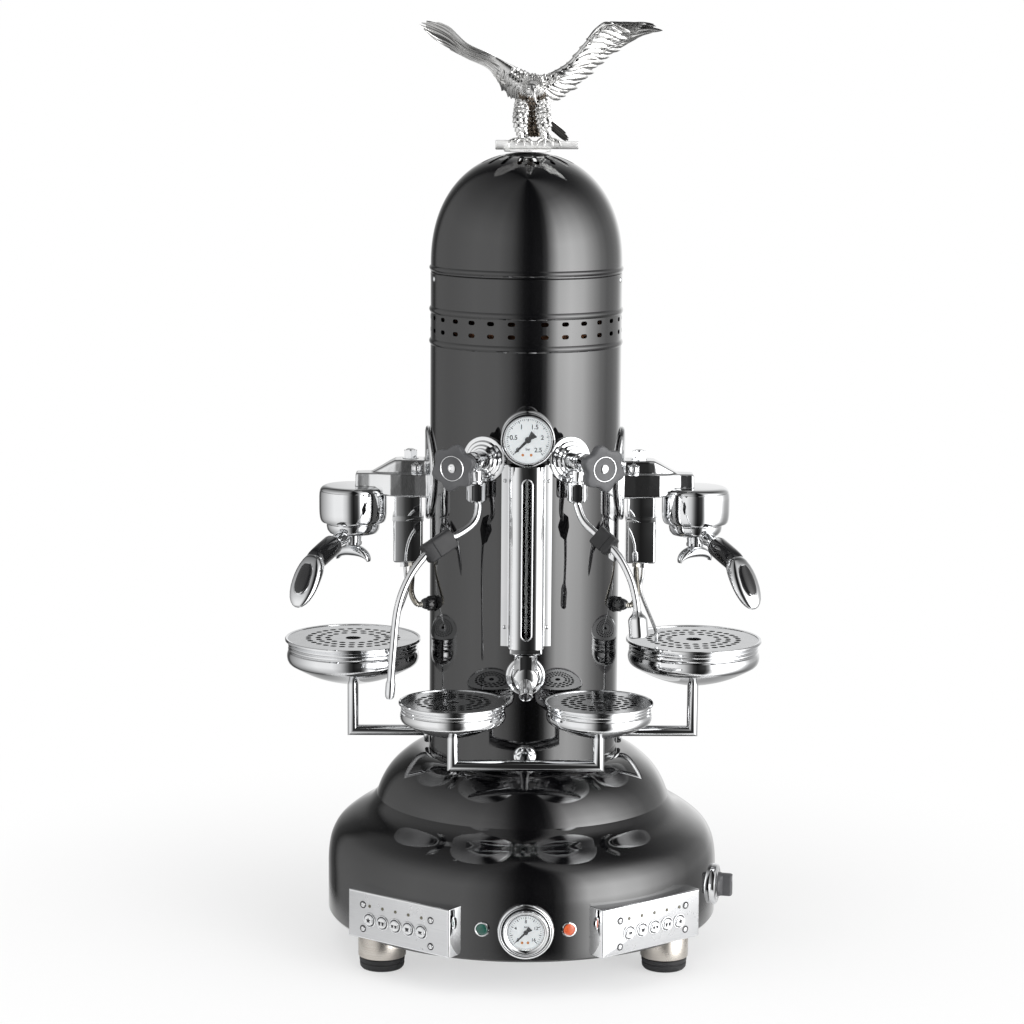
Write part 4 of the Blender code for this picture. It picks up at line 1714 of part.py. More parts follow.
def build():
    """Build every sub-part under one frame, which centres the machine's bounding box on the origin."""
    global MACHINE
    clear_scene()
    MACHINE = bpy.data.objects.new("machine_frame", None)
    bpy.context.scene.collection.objects.link(MACHINE)
    MACHINE.location = (0, (PUMP_GAUGE_FRONT - BASE_RADIUS) / 2, 0)
    base_housing()
    base_plate()
    feet()
    pump_gauge()
    pilot_lamps()
    power_switch()
    column_shell()
    dome()
    boiler()
    boiler_gauge()
    sight_glass_cover()
    sight_glass_tube()
    drain_cock()
    front_tray_frame()
    grates()
    for side in (-1, 1):
        keypad_box(side)
        buttons(side)
        group(side)
        solenoid(side)
        conduit(side)
        filter_holder(side)
        valve_body(side)
        valve_knob(side)
        part, origin = wand(side)
        wand_grip(side, part, origin)
        side_tray(side)
    eagle()


build()
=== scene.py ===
"""Looks for the upright two-group espresso machine: finished surfaces, fine pieces, light and camera.

Metres.  Pieces are drawn round the column's axis, as in the part, and moved onto the frame at the end.
"""

import math

import bmesh
import bpy
from mathutils import Matrix, Vector


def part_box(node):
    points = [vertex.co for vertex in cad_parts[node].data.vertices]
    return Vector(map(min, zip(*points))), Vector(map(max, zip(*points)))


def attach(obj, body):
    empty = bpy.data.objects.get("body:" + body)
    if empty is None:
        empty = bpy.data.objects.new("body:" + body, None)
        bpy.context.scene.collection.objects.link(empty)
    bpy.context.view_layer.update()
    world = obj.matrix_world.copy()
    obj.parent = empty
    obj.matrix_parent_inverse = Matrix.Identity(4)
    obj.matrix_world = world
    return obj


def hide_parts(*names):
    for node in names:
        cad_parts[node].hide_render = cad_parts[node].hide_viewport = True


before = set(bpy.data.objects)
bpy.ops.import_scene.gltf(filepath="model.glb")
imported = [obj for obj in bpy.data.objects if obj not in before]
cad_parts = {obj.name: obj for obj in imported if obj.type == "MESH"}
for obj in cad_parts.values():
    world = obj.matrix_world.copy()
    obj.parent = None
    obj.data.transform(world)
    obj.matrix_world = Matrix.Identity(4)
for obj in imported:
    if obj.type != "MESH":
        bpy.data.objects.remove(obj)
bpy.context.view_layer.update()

FULL_TURN = 2 * math.pi
QUARTER = math.pi / 2
SEAT = 0.0003
LEFT, RIGHT = -1, 1
SIDES = (LEFT, RIGHT)


def frame_centre(node):
    """The middle of a node's box."""
    low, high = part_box(node)
    return (low + high) / 2


# The column's axis, and the main heights, come from the frame
AXIS = Vector((frame_centre("base_housing").x, frame_centre("base_housing").y, 0))
COLUMN_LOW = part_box("column_shell")[0].z
COLUMN_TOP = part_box("column_shell")[1].z
COLUMN_RADIUS = (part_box("column_shell")[1].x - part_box("column_shell")[0].x) / 2
BASE_RADIUS = (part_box("base_housing")[1].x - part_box("base_housing")[0].x) / 2


# Shapes

def circle_angles(count, start=0.0):
    """Evenly spaced angles."""
    return [start + FULL_TURN * index / count for index in range(count)]


def outward(bm):
    """Merge doubles and turn every closed shell's faces out."""
    bmesh.ops.remove_doubles(bm, verts=bm.verts, dist=1e-7)
    bmesh.ops.recalc_face_normals(bm, faces=bm.faces)
    return bm


def lathe(profile, segments=96):
    """Turn a closed loop of (radius, height) round Z."""
    bm = bmesh.new()
    rings = []
    for radius, height in profile:
        if radius <= 1e-9:
            rings.append([bm.verts.new((0, 0, height))])
        else:
            rings.append([bm.verts.new((radius * math.sin(a), -radius * math.cos(a), height))
                          for a in circle_angles(segments)])
    for row, low in enumerate(rings):
        high = rings[(row + 1) % len(rings)]
        for column in range(segments):
            after = (column + 1) % segments
            corners = []
            for vert in (low[column % len(low)], low[after % len(low)],
                         high[after % len(high)], high[column % len(high)]):
                if vert not in corners:
                    corners.append(vert)
            if len(corners) > 2:
                bm.faces.new(corners)
    return outward(bm)


def disc(radius, low, high, sides):
    """A plain round disc."""
    return lathe([(0, low), (radius, low), (radius, high), (0, high)], sides)


def hoop(near, far, low, high, sides):
    """A plain ring with a square section."""
    return lathe([(near, low), (far, low), (far, high), (near, high)], sides)


def loft(rings, closed=False):
    """Skin equal rings of points, with flat ends or round into a loop."""
    bm = bmesh.new()
    levels = [[bm.verts.new(point) for point in ring] for ring in rings]
    count = len(levels[0])
    pairs = list(zip(levels, levels[1:]))
    if closed:
        pairs.append((levels[-1], levels[0]))
    for low, high in pairs:
        for index in range(count):
            after = (index + 1) % count
            bm.faces.new((low[index], low[after], high[after], high[index]))
    if not closed:
        bm.faces.new(levels[0])
        bm.faces.new(levels[-1])
    return outward(bm)


def spline(points, steps):
    """Points along a smooth curve through the given points, evenly spaced by length."""
    points = [Vector(point) for point in points]
    ends = [points[0] * 2 - points[1]] + points + [points[-1] * 2 - points[-2]]
    fine = []
    for a, b, c, d in zip(ends, ends[1:], ends[2:], ends[3:]):
        for index in range(16):
            t = index / 16
            fine.append(0.5 * (2 * b + (c - a) * t + (2 * a - 5 * b + 4 * c - d) * t ** 2
                               + (3 * b - a - 3 * c + d) * t ** 3))
    fine.append(points[-1])
    lengths = [0.0]
    for first, second in zip(fine, fine[1:]):
        lengths.append(lengths[-1] + (second - first).length)
    route = []
    index = 0
    for step in range(steps + 1):
        wanted = lengths[-1] * step / steps
        while index < len(lengths) - 2 and lengths[index + 1] < wanted:
            index += 1
        part = (wanted - lengths[index]) / max(lengths[index + 1] - lengths[index], 1e-12)
        route.append(fine[index].lerp(fine[index + 1], min(part, 1.0)))
    return route


def curve_2d(points, steps):
    """A smooth outline of (radius, height) points."""
    return [(point.x, point.y) for point in spline([(x, y, 0) for x, y in points], steps)]


def route_frames(route):
    """A steady cross-section frame at each point of a route."""
    frames = []
    side = None
    for index, point in enumerate(route):
        before = route[max(index - 1, 0)]
        after = route[min(index + 1, len(route) - 1)]
        forward = (after - before).normalized()
        if side is None:
            guide = Vector((0, 1, 0)) if abs(forward.y) < 0.9 else Vector((1, 0, 0))
            side = guide.cross(forward).normalized()
        side = (side - forward * side.dot(forward)).normalized()
        frames.append((point, side, forward.cross(side)))
    return frames


def tube(route, radii, sides=20):
    """A round tube along a route; radii is one radius or one for each point."""
    if not isinstance(radii, (list, tuple)):
        radii = [radii] * len(route)
    return loft([[point + (side * math.cos(a) + up * math.sin(a)) * radius for a in circle_angles(sides)]
                 for (point, side, up), radius in zip(route_frames(route), radii)])


def ball(centre, radius, squash=(1, 1, 1), detail=3):
    """A rounded lump."""
    bm = bmesh.new()
    bmesh.ops.create_icosphere(bm, subdivisions=detail, radius=radius)
    bmesh.ops.transform(bm, verts=bm.verts,
                        matrix=Matrix.Translation(centre) @ Matrix.Diagonal((*squash, 1)))
    return outward(bm)


def box(low, high):
    """A box between two corners."""
    bm = bmesh.new()
    bmesh.ops.create_cube(bm, size=1)
    size = Vector(high) - Vector(low)
    bmesh.ops.transform(bm, verts=bm.verts, matrix=Matrix.Translation((Vector(high) + Vector(low)) / 2)
                        @ Matrix.Diagonal((*size, 1)))
    return outward(bm)


def prism(outline, low, high):
    """An outline of (x, y) points between two heights."""
    return loft([[(x, y, low) for x, y in outline], [(x, y, high) for x, y in outline]])


def slot_outline(half_length, half_width, steps=6):
    """A slot with round ends, long in x."""
    straight = half_length - half_width
    points = []
    for centre, start in ((straight, -QUARTER), (-straight, QUARTER)):
        for step in range(steps + 1):
            a = start + math.pi * step / steps
            points.append((centre + half_width * math.cos(a), half_width * math.sin(a)))
    return points


def placed(bm, place):
    """Move a body by a matrix."""
    bmesh.ops.transform(bm, verts=bm.verts, matrix=place)
    return outward(bm)


def moved(bm, x=0.0, y=0.0, z=0.0):
    """Shift a body."""
    return placed(bm, Matrix.Translation((x, y, z)))


def on_side(bm, side):
    """The body on its own side; pieces are drawn on the right."""
    return bm if side == RIGHT else placed(bm, Matrix.Diagonal((-1, 1, 1, 1)))


def joined(*bodies):
    """Several closed shells as one piece."""
    whole = bmesh.new()
    for body in bodies:
        mesh = bpy.data.meshes.new("shell")
        body.to_mesh(mesh)
        body.free()
        whole.from_mesh(mesh)
        bpy.data.meshes.remove(mesh)
    return whole


def eased(bm, width, steps=2, least=28):
    """Round the edges that are sharper than an angle."""
    sharp = [edge for edge in bm.edges
             if len(edge.link_faces) == 2 and edge.calc_face_angle(0) > math.radians(least)]
    bmesh.ops.bevel(bm, geom=sharp, offset=width, segments=steps, profile=0.5, affect="EDGES",
                    clamp_overlap=True)
    return outward(bm)


def modified(bm, build):
    """Run real modifiers on a body and give back the result."""
    mesh = bpy.data.meshes.new("working")
    bm.to_mesh(mesh)
    bm.free()
    subject = bpy.data.objects.new("working", mesh)
    bpy.context.scene.collection.objects.link(subject)
    build(subject)
    graph = bpy.context.evaluated_depsgraph_get()
    result = bmesh.new()
    result.from_mesh(subject.evaluated_get(graph).to_mesh())
    bpy.data.objects.remove(subject, do_unlink=True)
    bpy.data.meshes.remove(mesh)
    return result


def fused(bm, voxel, smoothing=4):
    """Several meeting shells melted into one skin, as a casting is."""
    def build(subject):
        melt = subject.modifiers.new("melt", "REMESH")
        melt.mode = "VOXEL"
        melt.voxel_size = voxel
        relax = subject.modifiers.new("relax", "SMOOTH")
        relax.factor = 0.5
        relax.iterations = smoothing
    return modified(bm, build)


def radial_frame(azimuth, distance, height):
    """A frame on a spoke of the machine: local +Z points outwards and local +Y is up."""
    across = Vector((math.cos(azimuth), math.sin(azimuth), 0))
    outwards = Vector((math.sin(azimuth), -math.cos(azimuth), 0))
    place = Matrix((across, Vector((0, 0, 1)), outwards)).transposed().to_4x4()
    place.translation = outwards * distance + Vector((0, 0, height))
    return place


def spoke_point(azimuth, distance, height):
    """A point on a spoke of the machine."""
    return Vector((math.sin(azimuth) * distance, -math.cos(azimuth) * distance, height))


def aimed(start, way, roll=Vector((0, 0, 1))):
    """A frame at start whose +Z runs along way."""
    way = way.normalized()
    side = roll.cross(way)
    side = side.normalized() if side.length > 1e-6 else Vector((1, 0, 0))
    place = Matrix((side, way.cross(side), way)).transposed().to_4x4()
    place.translation = start
    return place


def word(side):
    """The name of a side."""
    return "right" if side == RIGHT else "left"


def piece(name, bm, material, body="machine", stands_for=(), slot=None, soften=32):
    """Finish a body as a named piece on the frame."""
    if isinstance(bm, bpy.types.Mesh):
        mesh = bm
        mesh.name = name
    else:
        mesh = bpy.data.meshes.new(name)
        bm.to_mesh(mesh)
        bm.free()
    mesh.transform(Matrix.Translation(AXIS))
    mesh.materials.clear()
    mesh.materials.append(material)
    mesh.shade_smooth()
    mesh.set_sharp_from_angle(angle=math.radians(soften))
    obj = bpy.data.objects.new(name, mesh)
    bpy.context.scene.collection.objects.link(obj)
    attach(obj, body)
    if stands_for:
        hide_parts(*stands_for)
    return obj


def side_piece(name, bm, side, material, **settings):
    """The named piece of one side, from a body drawn on the right."""
    piece(name + "_" + word(side), on_side(bm, side), material, **settings)


# Geometry trees

def tree_node(tree, kind, inputs=(), **settings):
    """Add a node, set it up and wire or fill its inputs."""
    node = tree.nodes.new(kind)
    for key, value in settings.items():
        setattr(node, key, value)
    for socket, value in dict(inputs).items():
        if isinstance(value, bpy.types.NodeSocket):
            tree.links.new(value, node.inputs[socket])
        else:
            node.inputs[socket].default_value = value
    return node


def new_geometry_tree(name, inputs):
    """A geometry tree with named inputs after its geometry; gives the tree and its input node."""
    tree = bpy.data.node_groups.new(name, "GeometryNodeTree")
    tree.interface.new_socket("Geometry", in_out="INPUT", socket_type="NodeSocketGeometry")
    for label, kind in inputs:
        tree.interface.new_socket(label, in_out="INPUT", socket_type="NodeSocket" + kind)
    tree.interface.new_socket("Geometry", in_out="OUTPUT", socket_type="NodeSocketGeometry")
    return tree, tree.nodes.new("NodeGroupInput")


def close_tree(tree, start, geometry):
    """End a tree in Realize Instances and Set Material."""
    real = tree_node(tree, "GeometryNodeRealizeInstances", {"Geometry": geometry})
    coated = tree_node(tree, "GeometryNodeSetMaterial",
                       {"Geometry": real.outputs[0], "Material": start.outputs["Material"]})
    end = tree.nodes.new("NodeGroupOutput")
    tree.links.new(coated.outputs[0], end.inputs[0])
    return tree


def ring_of_copies(tree, start):
    """Copies of the Copy object on part of a circle, each turned to face out."""
    count = start.outputs["Count"]
    last = tree_node(tree, "ShaderNodeMath", {0: count, 1: 1.0}, operation="SUBTRACT")
    index = tree_node(tree, "GeometryNodeInputIndex")
    share = tree_node(tree, "ShaderNodeMath", {0: index.outputs[0], 1: last.outputs[0]}, operation="DIVIDE")
    angle = tree_node(tree, "ShaderNodeMapRange",
                      {"Value": share.outputs[0], "To Min": start.outputs["First angle"],
                       "To Max": start.outputs["Last angle"]}, clamp=False)
    sine = tree_node(tree, "ShaderNodeMath", {0: angle.outputs[0]}, operation="SINE")
    cosine = tree_node(tree, "ShaderNodeMath", {0: angle.outputs[0]}, operation="COSINE")
    east = tree_node(tree, "ShaderNodeMath", {0: sine.outputs[0], 1: start.outputs["Radius"]},
                     operation="MULTIPLY")
    north = tree_node(tree, "ShaderNodeMath", {0: cosine.outputs[0], 1: start.outputs["Radius"]},
                      operation="MULTIPLY")
    south = tree_node(tree, "ShaderNodeMath", {0: north.outputs[0], 1: -1.0}, operation="MULTIPLY")
    spot = tree_node(tree, "ShaderNodeCombineXYZ",
                     {0: east.outputs[0], 1: south.outputs[0], 2: start.outputs["Height"]})
    points = tree_node(tree, "GeometryNodePoints", {"Count": count, "Position": spot.outputs[0]})
    turn = tree_node(tree, "ShaderNodeCombineXYZ", {2: angle.outputs[0]})
    copy = tree_node(tree, "GeometryNodeObjectInfo", {"Object": start.outputs["Copy"]})
    spread = tree_node(tree, "GeometryNodeInstanceOnPoints",
                       {"Points": points.outputs[0], "Instance": copy.outputs["Geometry"],
                        "Rotation": turn.outputs[0]})
    return spread.outputs[0]


RING_INPUTS = (("Copy", "Object"), ("Count", "Int"), ("Radius", "Float"), ("Height", "Float"),
               ("First angle", "Float"), ("Last angle", "Float"), ("Material", "Material"))


def perforation_tree():
    """Pierces the geometry with a ring of punches."""
    tree, start = new_geometry_tree("perforation", RING_INPUTS)
    punches = tree_node(tree, "GeometryNodeRealizeInstances", {"Geometry": ring_of_copies(tree, start)})
    pierced = tree_node(tree, "GeometryNodeMeshBoolean",
                        {"Mesh 1": start.outputs["Geometry"], "Mesh 2": punches.outputs[0]},
                        operation="DIFFERENCE")
    return close_tree(tree, start, pierced.outputs[0])


def fastener_tree():
    """A copy on every point of the geometry, turned by the point's own attribute and a slight seed."""
    tree, start = new_geometry_tree("fasteners", (("Copy", "Object"), ("Loose turn", "Float"),
                                                  ("Seed", "Int"), ("Material", "Material")))
    aim = tree_node(tree, "GeometryNodeInputNamedAttribute", {"Name": "turn"}, data_type="FLOAT_VECTOR")
    size = tree_node(tree, "GeometryNodeInputNamedAttribute", {"Name": "size"}, data_type="FLOAT_VECTOR")
    points = tree_node(tree, "GeometryNodeMeshToPoints", {"Mesh": start.outputs["Geometry"]})
    copy = tree_node(tree, "GeometryNodeObjectInfo", {"Object": start.outputs["Copy"]})
    spread = tree_node(tree, "GeometryNodeInstanceOnPoints",
                       {"Points": points.outputs[0], "Instance": copy.outputs["Geometry"],
                        "Rotation": aim.outputs[0], "Scale": size.outputs[0]})
    loose = tree_node(tree, "FunctionNodeRandomValue", {"Seed": start.outputs["Seed"]}, data_type="FLOAT")
    tree.links.new(start.outputs["Loose turn"], loose.inputs[3])
    spin = tree_node(tree, "ShaderNodeCombineXYZ", {2: loose.outputs[1]})
    turned = tree_node(tree, "GeometryNodeRotateInstances",
                       {"Instances": spread.outputs[0], "Rotation": spin.outputs[0]})
    return close_tree(tree, start, turned.outputs[0])


def hose_tree():
    """A ribbed hose along the geometry's curve."""
    tree, start = new_geometry_tree("ribbed hose", (("Ribs", "Int"), ("Radius", "Float"),
                                                    ("Rib depth", "Float"), ("Sides", "Int"),
                                                    ("Material", "Material")))
    curve = tree_node(tree, "GeometryNodeMeshToCurve", {"Mesh": start.outputs["Geometry"]})
    count = tree_node(tree, "ShaderNodeMath", {0: start.outputs["Ribs"], 1: 8.0}, operation="MULTIPLY")
    even = tree_node(tree, "GeometryNodeResampleCurve",
                     {"Curve": curve.outputs[0], "Count": count.outputs[0]})
    share = tree_node(tree, "GeometryNodeSplineParameter")
    phase = tree_node(tree, "ShaderNodeMath", {0: share.outputs["Factor"], 1: start.outputs["Ribs"]},
                      operation="MULTIPLY")
    turns = tree_node(tree, "ShaderNodeMath", {0: phase.outputs[0], 1: FULL_TURN}, operation="MULTIPLY")
    wave = tree_node(tree, "ShaderNodeMath", {0: turns.outputs[0]}, operation="SINE")
    swell = tree_node(tree, "ShaderNodeMath", {0: wave.outputs[0], 1: start.outputs["Rib depth"],
                                               2: start.outputs["Radius"]}, operation="MULTIPLY_ADD")
    ring = tree_node(tree, "GeometryNodeCurvePrimitiveCircle", {"Resolution": start.outputs["Sides"]})
    ring.inputs["Radius"].default_value = 1.0
    skin = tree_node(tree, "GeometryNodeCurveToMesh",
                     {"Curve": even.outputs[0], "Profile Curve": ring.outputs[0], "Scale": swell.outputs[0],
                      "Fill Caps": True})
    return close_tree(tree, start, skin.outputs[0])


TREES = {}


def tree_named(name):
    """A geometry tree, built at its first use."""
    makers = {"perforation": perforation_tree, "fasteners": fastener_tree, "hose": hose_tree}
    if name not in TREES:
        TREES[name] = makers[name]()
    return TREES[name]


def grown(mesh, steps):
    """Run geometry trees on a mesh; steps lists (tree name, {input: value}). Gives a plain mesh."""
    subject = bpy.data.objects.new("grown", mesh)
    bpy.context.scene.collection.objects.link(subject)
    for name, values in steps:
        tree = tree_named(name)
        step = subject.modifiers.new(name, "NODES")
        step.node_group = tree
        for item in tree.interface.items_tree:
            if item.in_out == "INPUT" and item.name in values:
                step[item.identifier] = values[item.name]
    graph = bpy.context.evaluated_depsgraph_get()
    result = bpy.data.meshes.new_from_object(subject.evaluated_get(graph))
    bpy.data.objects.remove(subject, do_unlink=True)
    return result


def pattern_object(bm):
    """A hidden source object for copies."""
    mesh = bpy.data.meshes.new("pattern")
    bm.to_mesh(mesh)
    bm.free()
    mesh.shade_smooth()
    mesh.set_sharp_from_angle(angle=math.radians(32))
    obj = bpy.data.objects.new("pattern", mesh)
    bpy.context.scene.collection.objects.link(obj)
    return obj


def forget(obj):
    """Remove a source object after its last use."""
    mesh = obj.data
    bpy.data.objects.remove(obj, do_unlink=True)
    bpy.data.meshes.remove(mesh)


def to_mesh(bm, name="blank"):
    """A plain mesh from a body."""
    mesh = bpy.data.meshes.new(name)
    bm.to_mesh(mesh)
    bm.free()
    return mesh


def to_body(mesh):
    """A body from a mesh."""
    bm = bmesh.new()
    bm.from_mesh(mesh)
    bpy.data.meshes.remove(mesh)
    return bm


def points_mesh(frames, sizes=None):
    """A cloud of points with the turn and size of a copy at each; frames are matrices."""
    mesh = bpy.data.meshes.new("points")
    mesh.from_pydata([place.to_translation() for place in frames], [], [])
    turn = mesh.attributes.new("turn", "FLOAT_VECTOR", "POINT")
    size = mesh.attributes.new("size", "FLOAT_VECTOR", "POINT")
    for index, place in enumerate(frames):
        turn.data[index].vector = place.to_euler()
        size.data[index].vector = sizes[index] if sizes else (1, 1, 1)
    return mesh


def fastened(copy_body, frames, material, sizes=None, loose=0.0, seed=3):
    """One mesh of a copied body at each frame."""
    source = pattern_object(copy_body)
    mesh = grown(points_mesh(frames, sizes),
                 [("fasteners", {"Copy": source, "Loose turn": loose, "Seed": seed, "Material": material})])
    forget(source)
    return mesh


def perforated(bm, punch, rows, material):
    """A body pierced by rings of punches; rows lists (count, radius, height, first, last)."""
    source = pattern_object(punch)
    steps = [("perforation", {"Copy": source, "Count": count, "Radius": radius, "Height": height,
                              "First angle": first, "Last angle": last, "Material": material})
             for count, radius, height, first, last in rows]
    mesh = grown(to_mesh(bm), steps)
    forget(source)
    return mesh


# Finishes

def new_shader_group(name, inputs, outputs):
    """A shader node group with named inputs (name, kind, value) and outputs (name, kind)."""
    tree = bpy.data.node_groups.new(name, "ShaderNodeTree")
    for label, kind, value in inputs:
        socket = tree.interface.new_socket(label, in_out="INPUT", socket_type="NodeSocket" + kind)
        if value is not None:
            socket.default_value = value
    for label, kind in outputs:
        tree.interface.new_socket(label, in_out="OUTPUT", socket_type="NodeSocket" + kind)
    return tree, tree.nodes.new("NodeGroupInput"), tree.nodes.new("NodeGroupOutput")


def handling_marks_group():
    """Soft cloudy wiping marks that vary a polish."""
    tree, start, end = new_shader_group(
        "handling marks", (("Vector", "Vector", None), ("Scale", "Float", 14.0), ("Low", "Float", 0.03),
                           ("High", "Float", 0.07)), (("Roughness", "Float"),))
    cloud = tree_node(tree, "ShaderNodeTexNoise",
                      {"Vector": start.outputs["Vector"], "Scale": start.outputs["Scale"], "Detail": 5.0,
                       "Roughness": 0.6, "Distortion": 0.4})
    level = tree_node(tree, "ShaderNodeMapRange",
                      {"Value": cloud.outputs[0], "From Min": 0.35, "From Max": 0.7,
                       "To Min": start.outputs["Low"], "To Max": start.outputs["High"]})
    tree.links.new(level.outputs[0], end.inputs["Roughness"])
    return tree


def grain_lines_group():
    """Long fine lines of a brushed or turned surface, stretched along an axis."""
    tree, start, end = new_shader_group("grain lines", (("Vector", "Vector", None),
                                                        ("Stretch", "Vector", (1.0, 1.0, 60.0)),
                                                        ("Scale", "Float", 30.0)), (("Line", "Float"),))
    pulled = tree_node(tree, "ShaderNodeVectorMath",
                       {0: start.outputs["Vector"], 1: start.outputs["Stretch"]}, operation="MULTIPLY")
    coarse = tree_node(tree, "ShaderNodeTexNoise",
                       {"Vector": pulled.outputs[0], "Scale": start.outputs["Scale"], "Detail": 6.0,
                        "Roughness": 0.7})
    tree.links.new(coarse.outputs[0], end.inputs["Line"])
    return tree


def casting_skin_group():
    """The faint waviness and pits of a polished casting or a sprayed coat."""
    tree, start, end = new_shader_group(
        "casting skin", (("Vector", "Vector", None), ("Scale", "Float", 120.0), ("Pits", "Float", 0.2)),
        (("Height", "Float"),))
    wave = tree_node(tree, "ShaderNodeTexNoise",
                     {"Vector": start.outputs["Vector"], "Scale": start.outputs["Scale"], "Detail": 3.0})
    finer = tree_node(tree, "ShaderNodeMath", {0: start.outputs["Scale"], 1: 6.0}, operation="MULTIPLY")
    pits = tree_node(tree, "ShaderNodeTexVoronoi",
                     {"Vector": start.outputs["Vector"], "Scale": finer.outputs[0]})
    small = tree_node(tree, "ShaderNodeMath",
                      {0: pits.outputs[0], 1: start.outputs["Pits"], 2: wave.outputs[0]},
                      operation="MULTIPLY_ADD")
    tree.links.new(small.outputs[0], end.inputs["Height"])
    return tree


MARKS = handling_marks_group()
GRAIN = grain_lines_group()
SKIN = casting_skin_group()


class Finish:
    """A material under construction: its tree, its shader and the object coordinates."""

    def __init__(self, name, colour, metallic=0.0, roughness=0.3, **sockets):
        self.material = bpy.data.materials.new(name)
        self.material.use_nodes = True
        self.tree = self.material.node_tree
        self.shader = self.tree.nodes["Principled BSDF"]
        self.shader.inputs["Base Color"].default_value = (*colour, 1.0)
        self.shader.inputs["Metallic"].default_value = metallic
        self.shader.inputs["Roughness"].default_value = roughness
        for label, value in sockets.items():
            self.shader.inputs[label.replace("_", " ")].default_value = value
        self.material.diffuse_color = (*colour, 1.0)
        self.place = tree_node(self.tree, "ShaderNodeTexCoord").outputs["Object"]

    def group(self, tree, **inputs):
        """Place a shared group with its own values."""
        node = self.tree.nodes.new("ShaderNodeGroup")
        node.node_tree = tree
        self.tree.links.new(self.place, node.inputs["Vector"])
        for label, value in inputs.items():
            node.inputs[label].default_value = value
        return node.outputs[0]

    def link(self, value, socket):
        """Wire a value to the shader."""
        self.tree.links.new(value, self.shader.inputs[socket])

    def marks(self, scale, low, high):
        """Vary the polish."""
        self.link(self.group(MARKS, Scale=scale, Low=low, High=high), "Roughness")
        return self

    def relief(self, height, strength, distance):
        """Raise a height as a bump, over any bump that is there already."""
        bump = tree_node(self.tree, "ShaderNodeBump", {"Height": height, "Strength": strength,
                                                       "Distance": distance})
        existing = self.shader.inputs["Normal"].links
        if existing:
            self.tree.links.new(existing[0].from_socket, bump.inputs["Normal"])
        self.link(bump.outputs[0], "Normal")
        return self

    def tint(self, value, dark, light, low=0.3, high=0.7):
        """Shift the colour between two tones."""
        level = tree_node(self.tree, "ShaderNodeMapRange",
                          {"Value": value, "From Min": low, "From Max": high})
        mix = tree_node(self.tree, "ShaderNodeMix", data_type="RGBA")
        self.tree.links.new(level.outputs[0], mix.inputs["Factor"])
        ends = {"A_Color": dark, "B_Color": light}
        for socket in mix.inputs:
            if socket.identifier in ends:
                socket.default_value = (*ends[socket.identifier], 1.0)
        colour = [socket for socket in mix.outputs if socket.identifier == "Result_Color"][0]
        self.link(colour, "Base Color")
        return self

    def noise(self, scale, detail=4.0):
        """A plain cloud on the object's coordinates."""
        return tree_node(self.tree, "ShaderNodeTexNoise", {"Vector": self.place, "Scale": scale,
                                                           "Detail": detail}).outputs[0]


def black_enamel():
    """Deep gloss black lacquer on sheet steel, with the faint peel of a sprayed coat."""
    finish = Finish("black_enamel", (0.003, 0.003, 0.0035), roughness=0.03, IOR=1.55, Coat_Weight=1.0,
                    Coat_Roughness=0.01, Coat_IOR=1.55)
    finish.marks(9.0, 0.015, 0.05)
    finish.tint(finish.noise(4.0), (0.002, 0.002, 0.0025), (0.0045, 0.0045, 0.005))
    return finish.relief(finish.group(SKIN, Scale=55.0, Pits=0.1), 0.012, 0.002).material


def mirror_chrome():
    """Bright chrome plate on turned and pressed pieces."""
    finish = Finish("mirror_chrome", (0.90, 0.91, 0.92), 1.0, 0.04)
    finish.marks(22.0, 0.02, 0.065)
    finish.tint(finish.noise(11.0), (0.86, 0.87, 0.885), (0.93, 0.935, 0.94))
    return finish.relief(finish.group(SKIN, Scale=40.0, Pits=0.02), 0.02, 0.001).material


def cast_chrome():
    """Chrome over a polished casting, a little softer and wavier."""
    finish = Finish("cast_chrome", (0.87, 0.88, 0.885), 1.0, 0.09)
    finish.marks(34.0, 0.05, 0.13)
    finish.tint(finish.noise(16.0), (0.82, 0.83, 0.84), (0.91, 0.915, 0.92))
    return finish.relief(finish.group(SKIN, Scale=90.0, Pits=0.15), 0.06, 0.001).material


def satin_steel():
    """Fine brushed sheet of the parts that are hardly seen."""
    finish = Finish("satin_steel", (0.80, 0.81, 0.83), 1.0, 0.22, Anisotropic=0.4)
    line = finish.group(GRAIN, Stretch=(1.0, 1.0, 55.0), Scale=24.0)
    finish.tint(line, (0.74, 0.75, 0.77), (0.87, 0.88, 0.90))
    finish.marks(18.0, 0.16, 0.27)
    return finish.relief(line, 0.05, 0.0004).material


def plate_steel():
    """Pale brushed plate of the keypads, with a soft even sheen."""
    finish = Finish("plate_steel", (0.62, 0.625, 0.635), 0.45, 0.30, Anisotropic=0.3)
    line = finish.group(GRAIN, Stretch=(1.0, 1.0, 55.0), Scale=24.0)
    finish.tint(line, (0.57, 0.575, 0.585), (0.66, 0.665, 0.675))
    finish.marks(18.0, 0.24, 0.36)
    return finish.relief(line, 0.05, 0.0004).material


def grate_steel():
    """Flat ground steel of the tray grates."""
    finish = Finish("grate_steel", (0.60, 0.61, 0.62), 1.0, 0.17, Anisotropic=0.3)
    line = finish.group(GRAIN, Stretch=(1.0, 45.0, 1.0), Scale=22.0)
    finish.tint(line, (0.52, 0.53, 0.54), (0.67, 0.68, 0.69))
    finish.marks(26.0, 0.12, 0.22)
    return finish.relief(line, 0.04, 0.0004).material


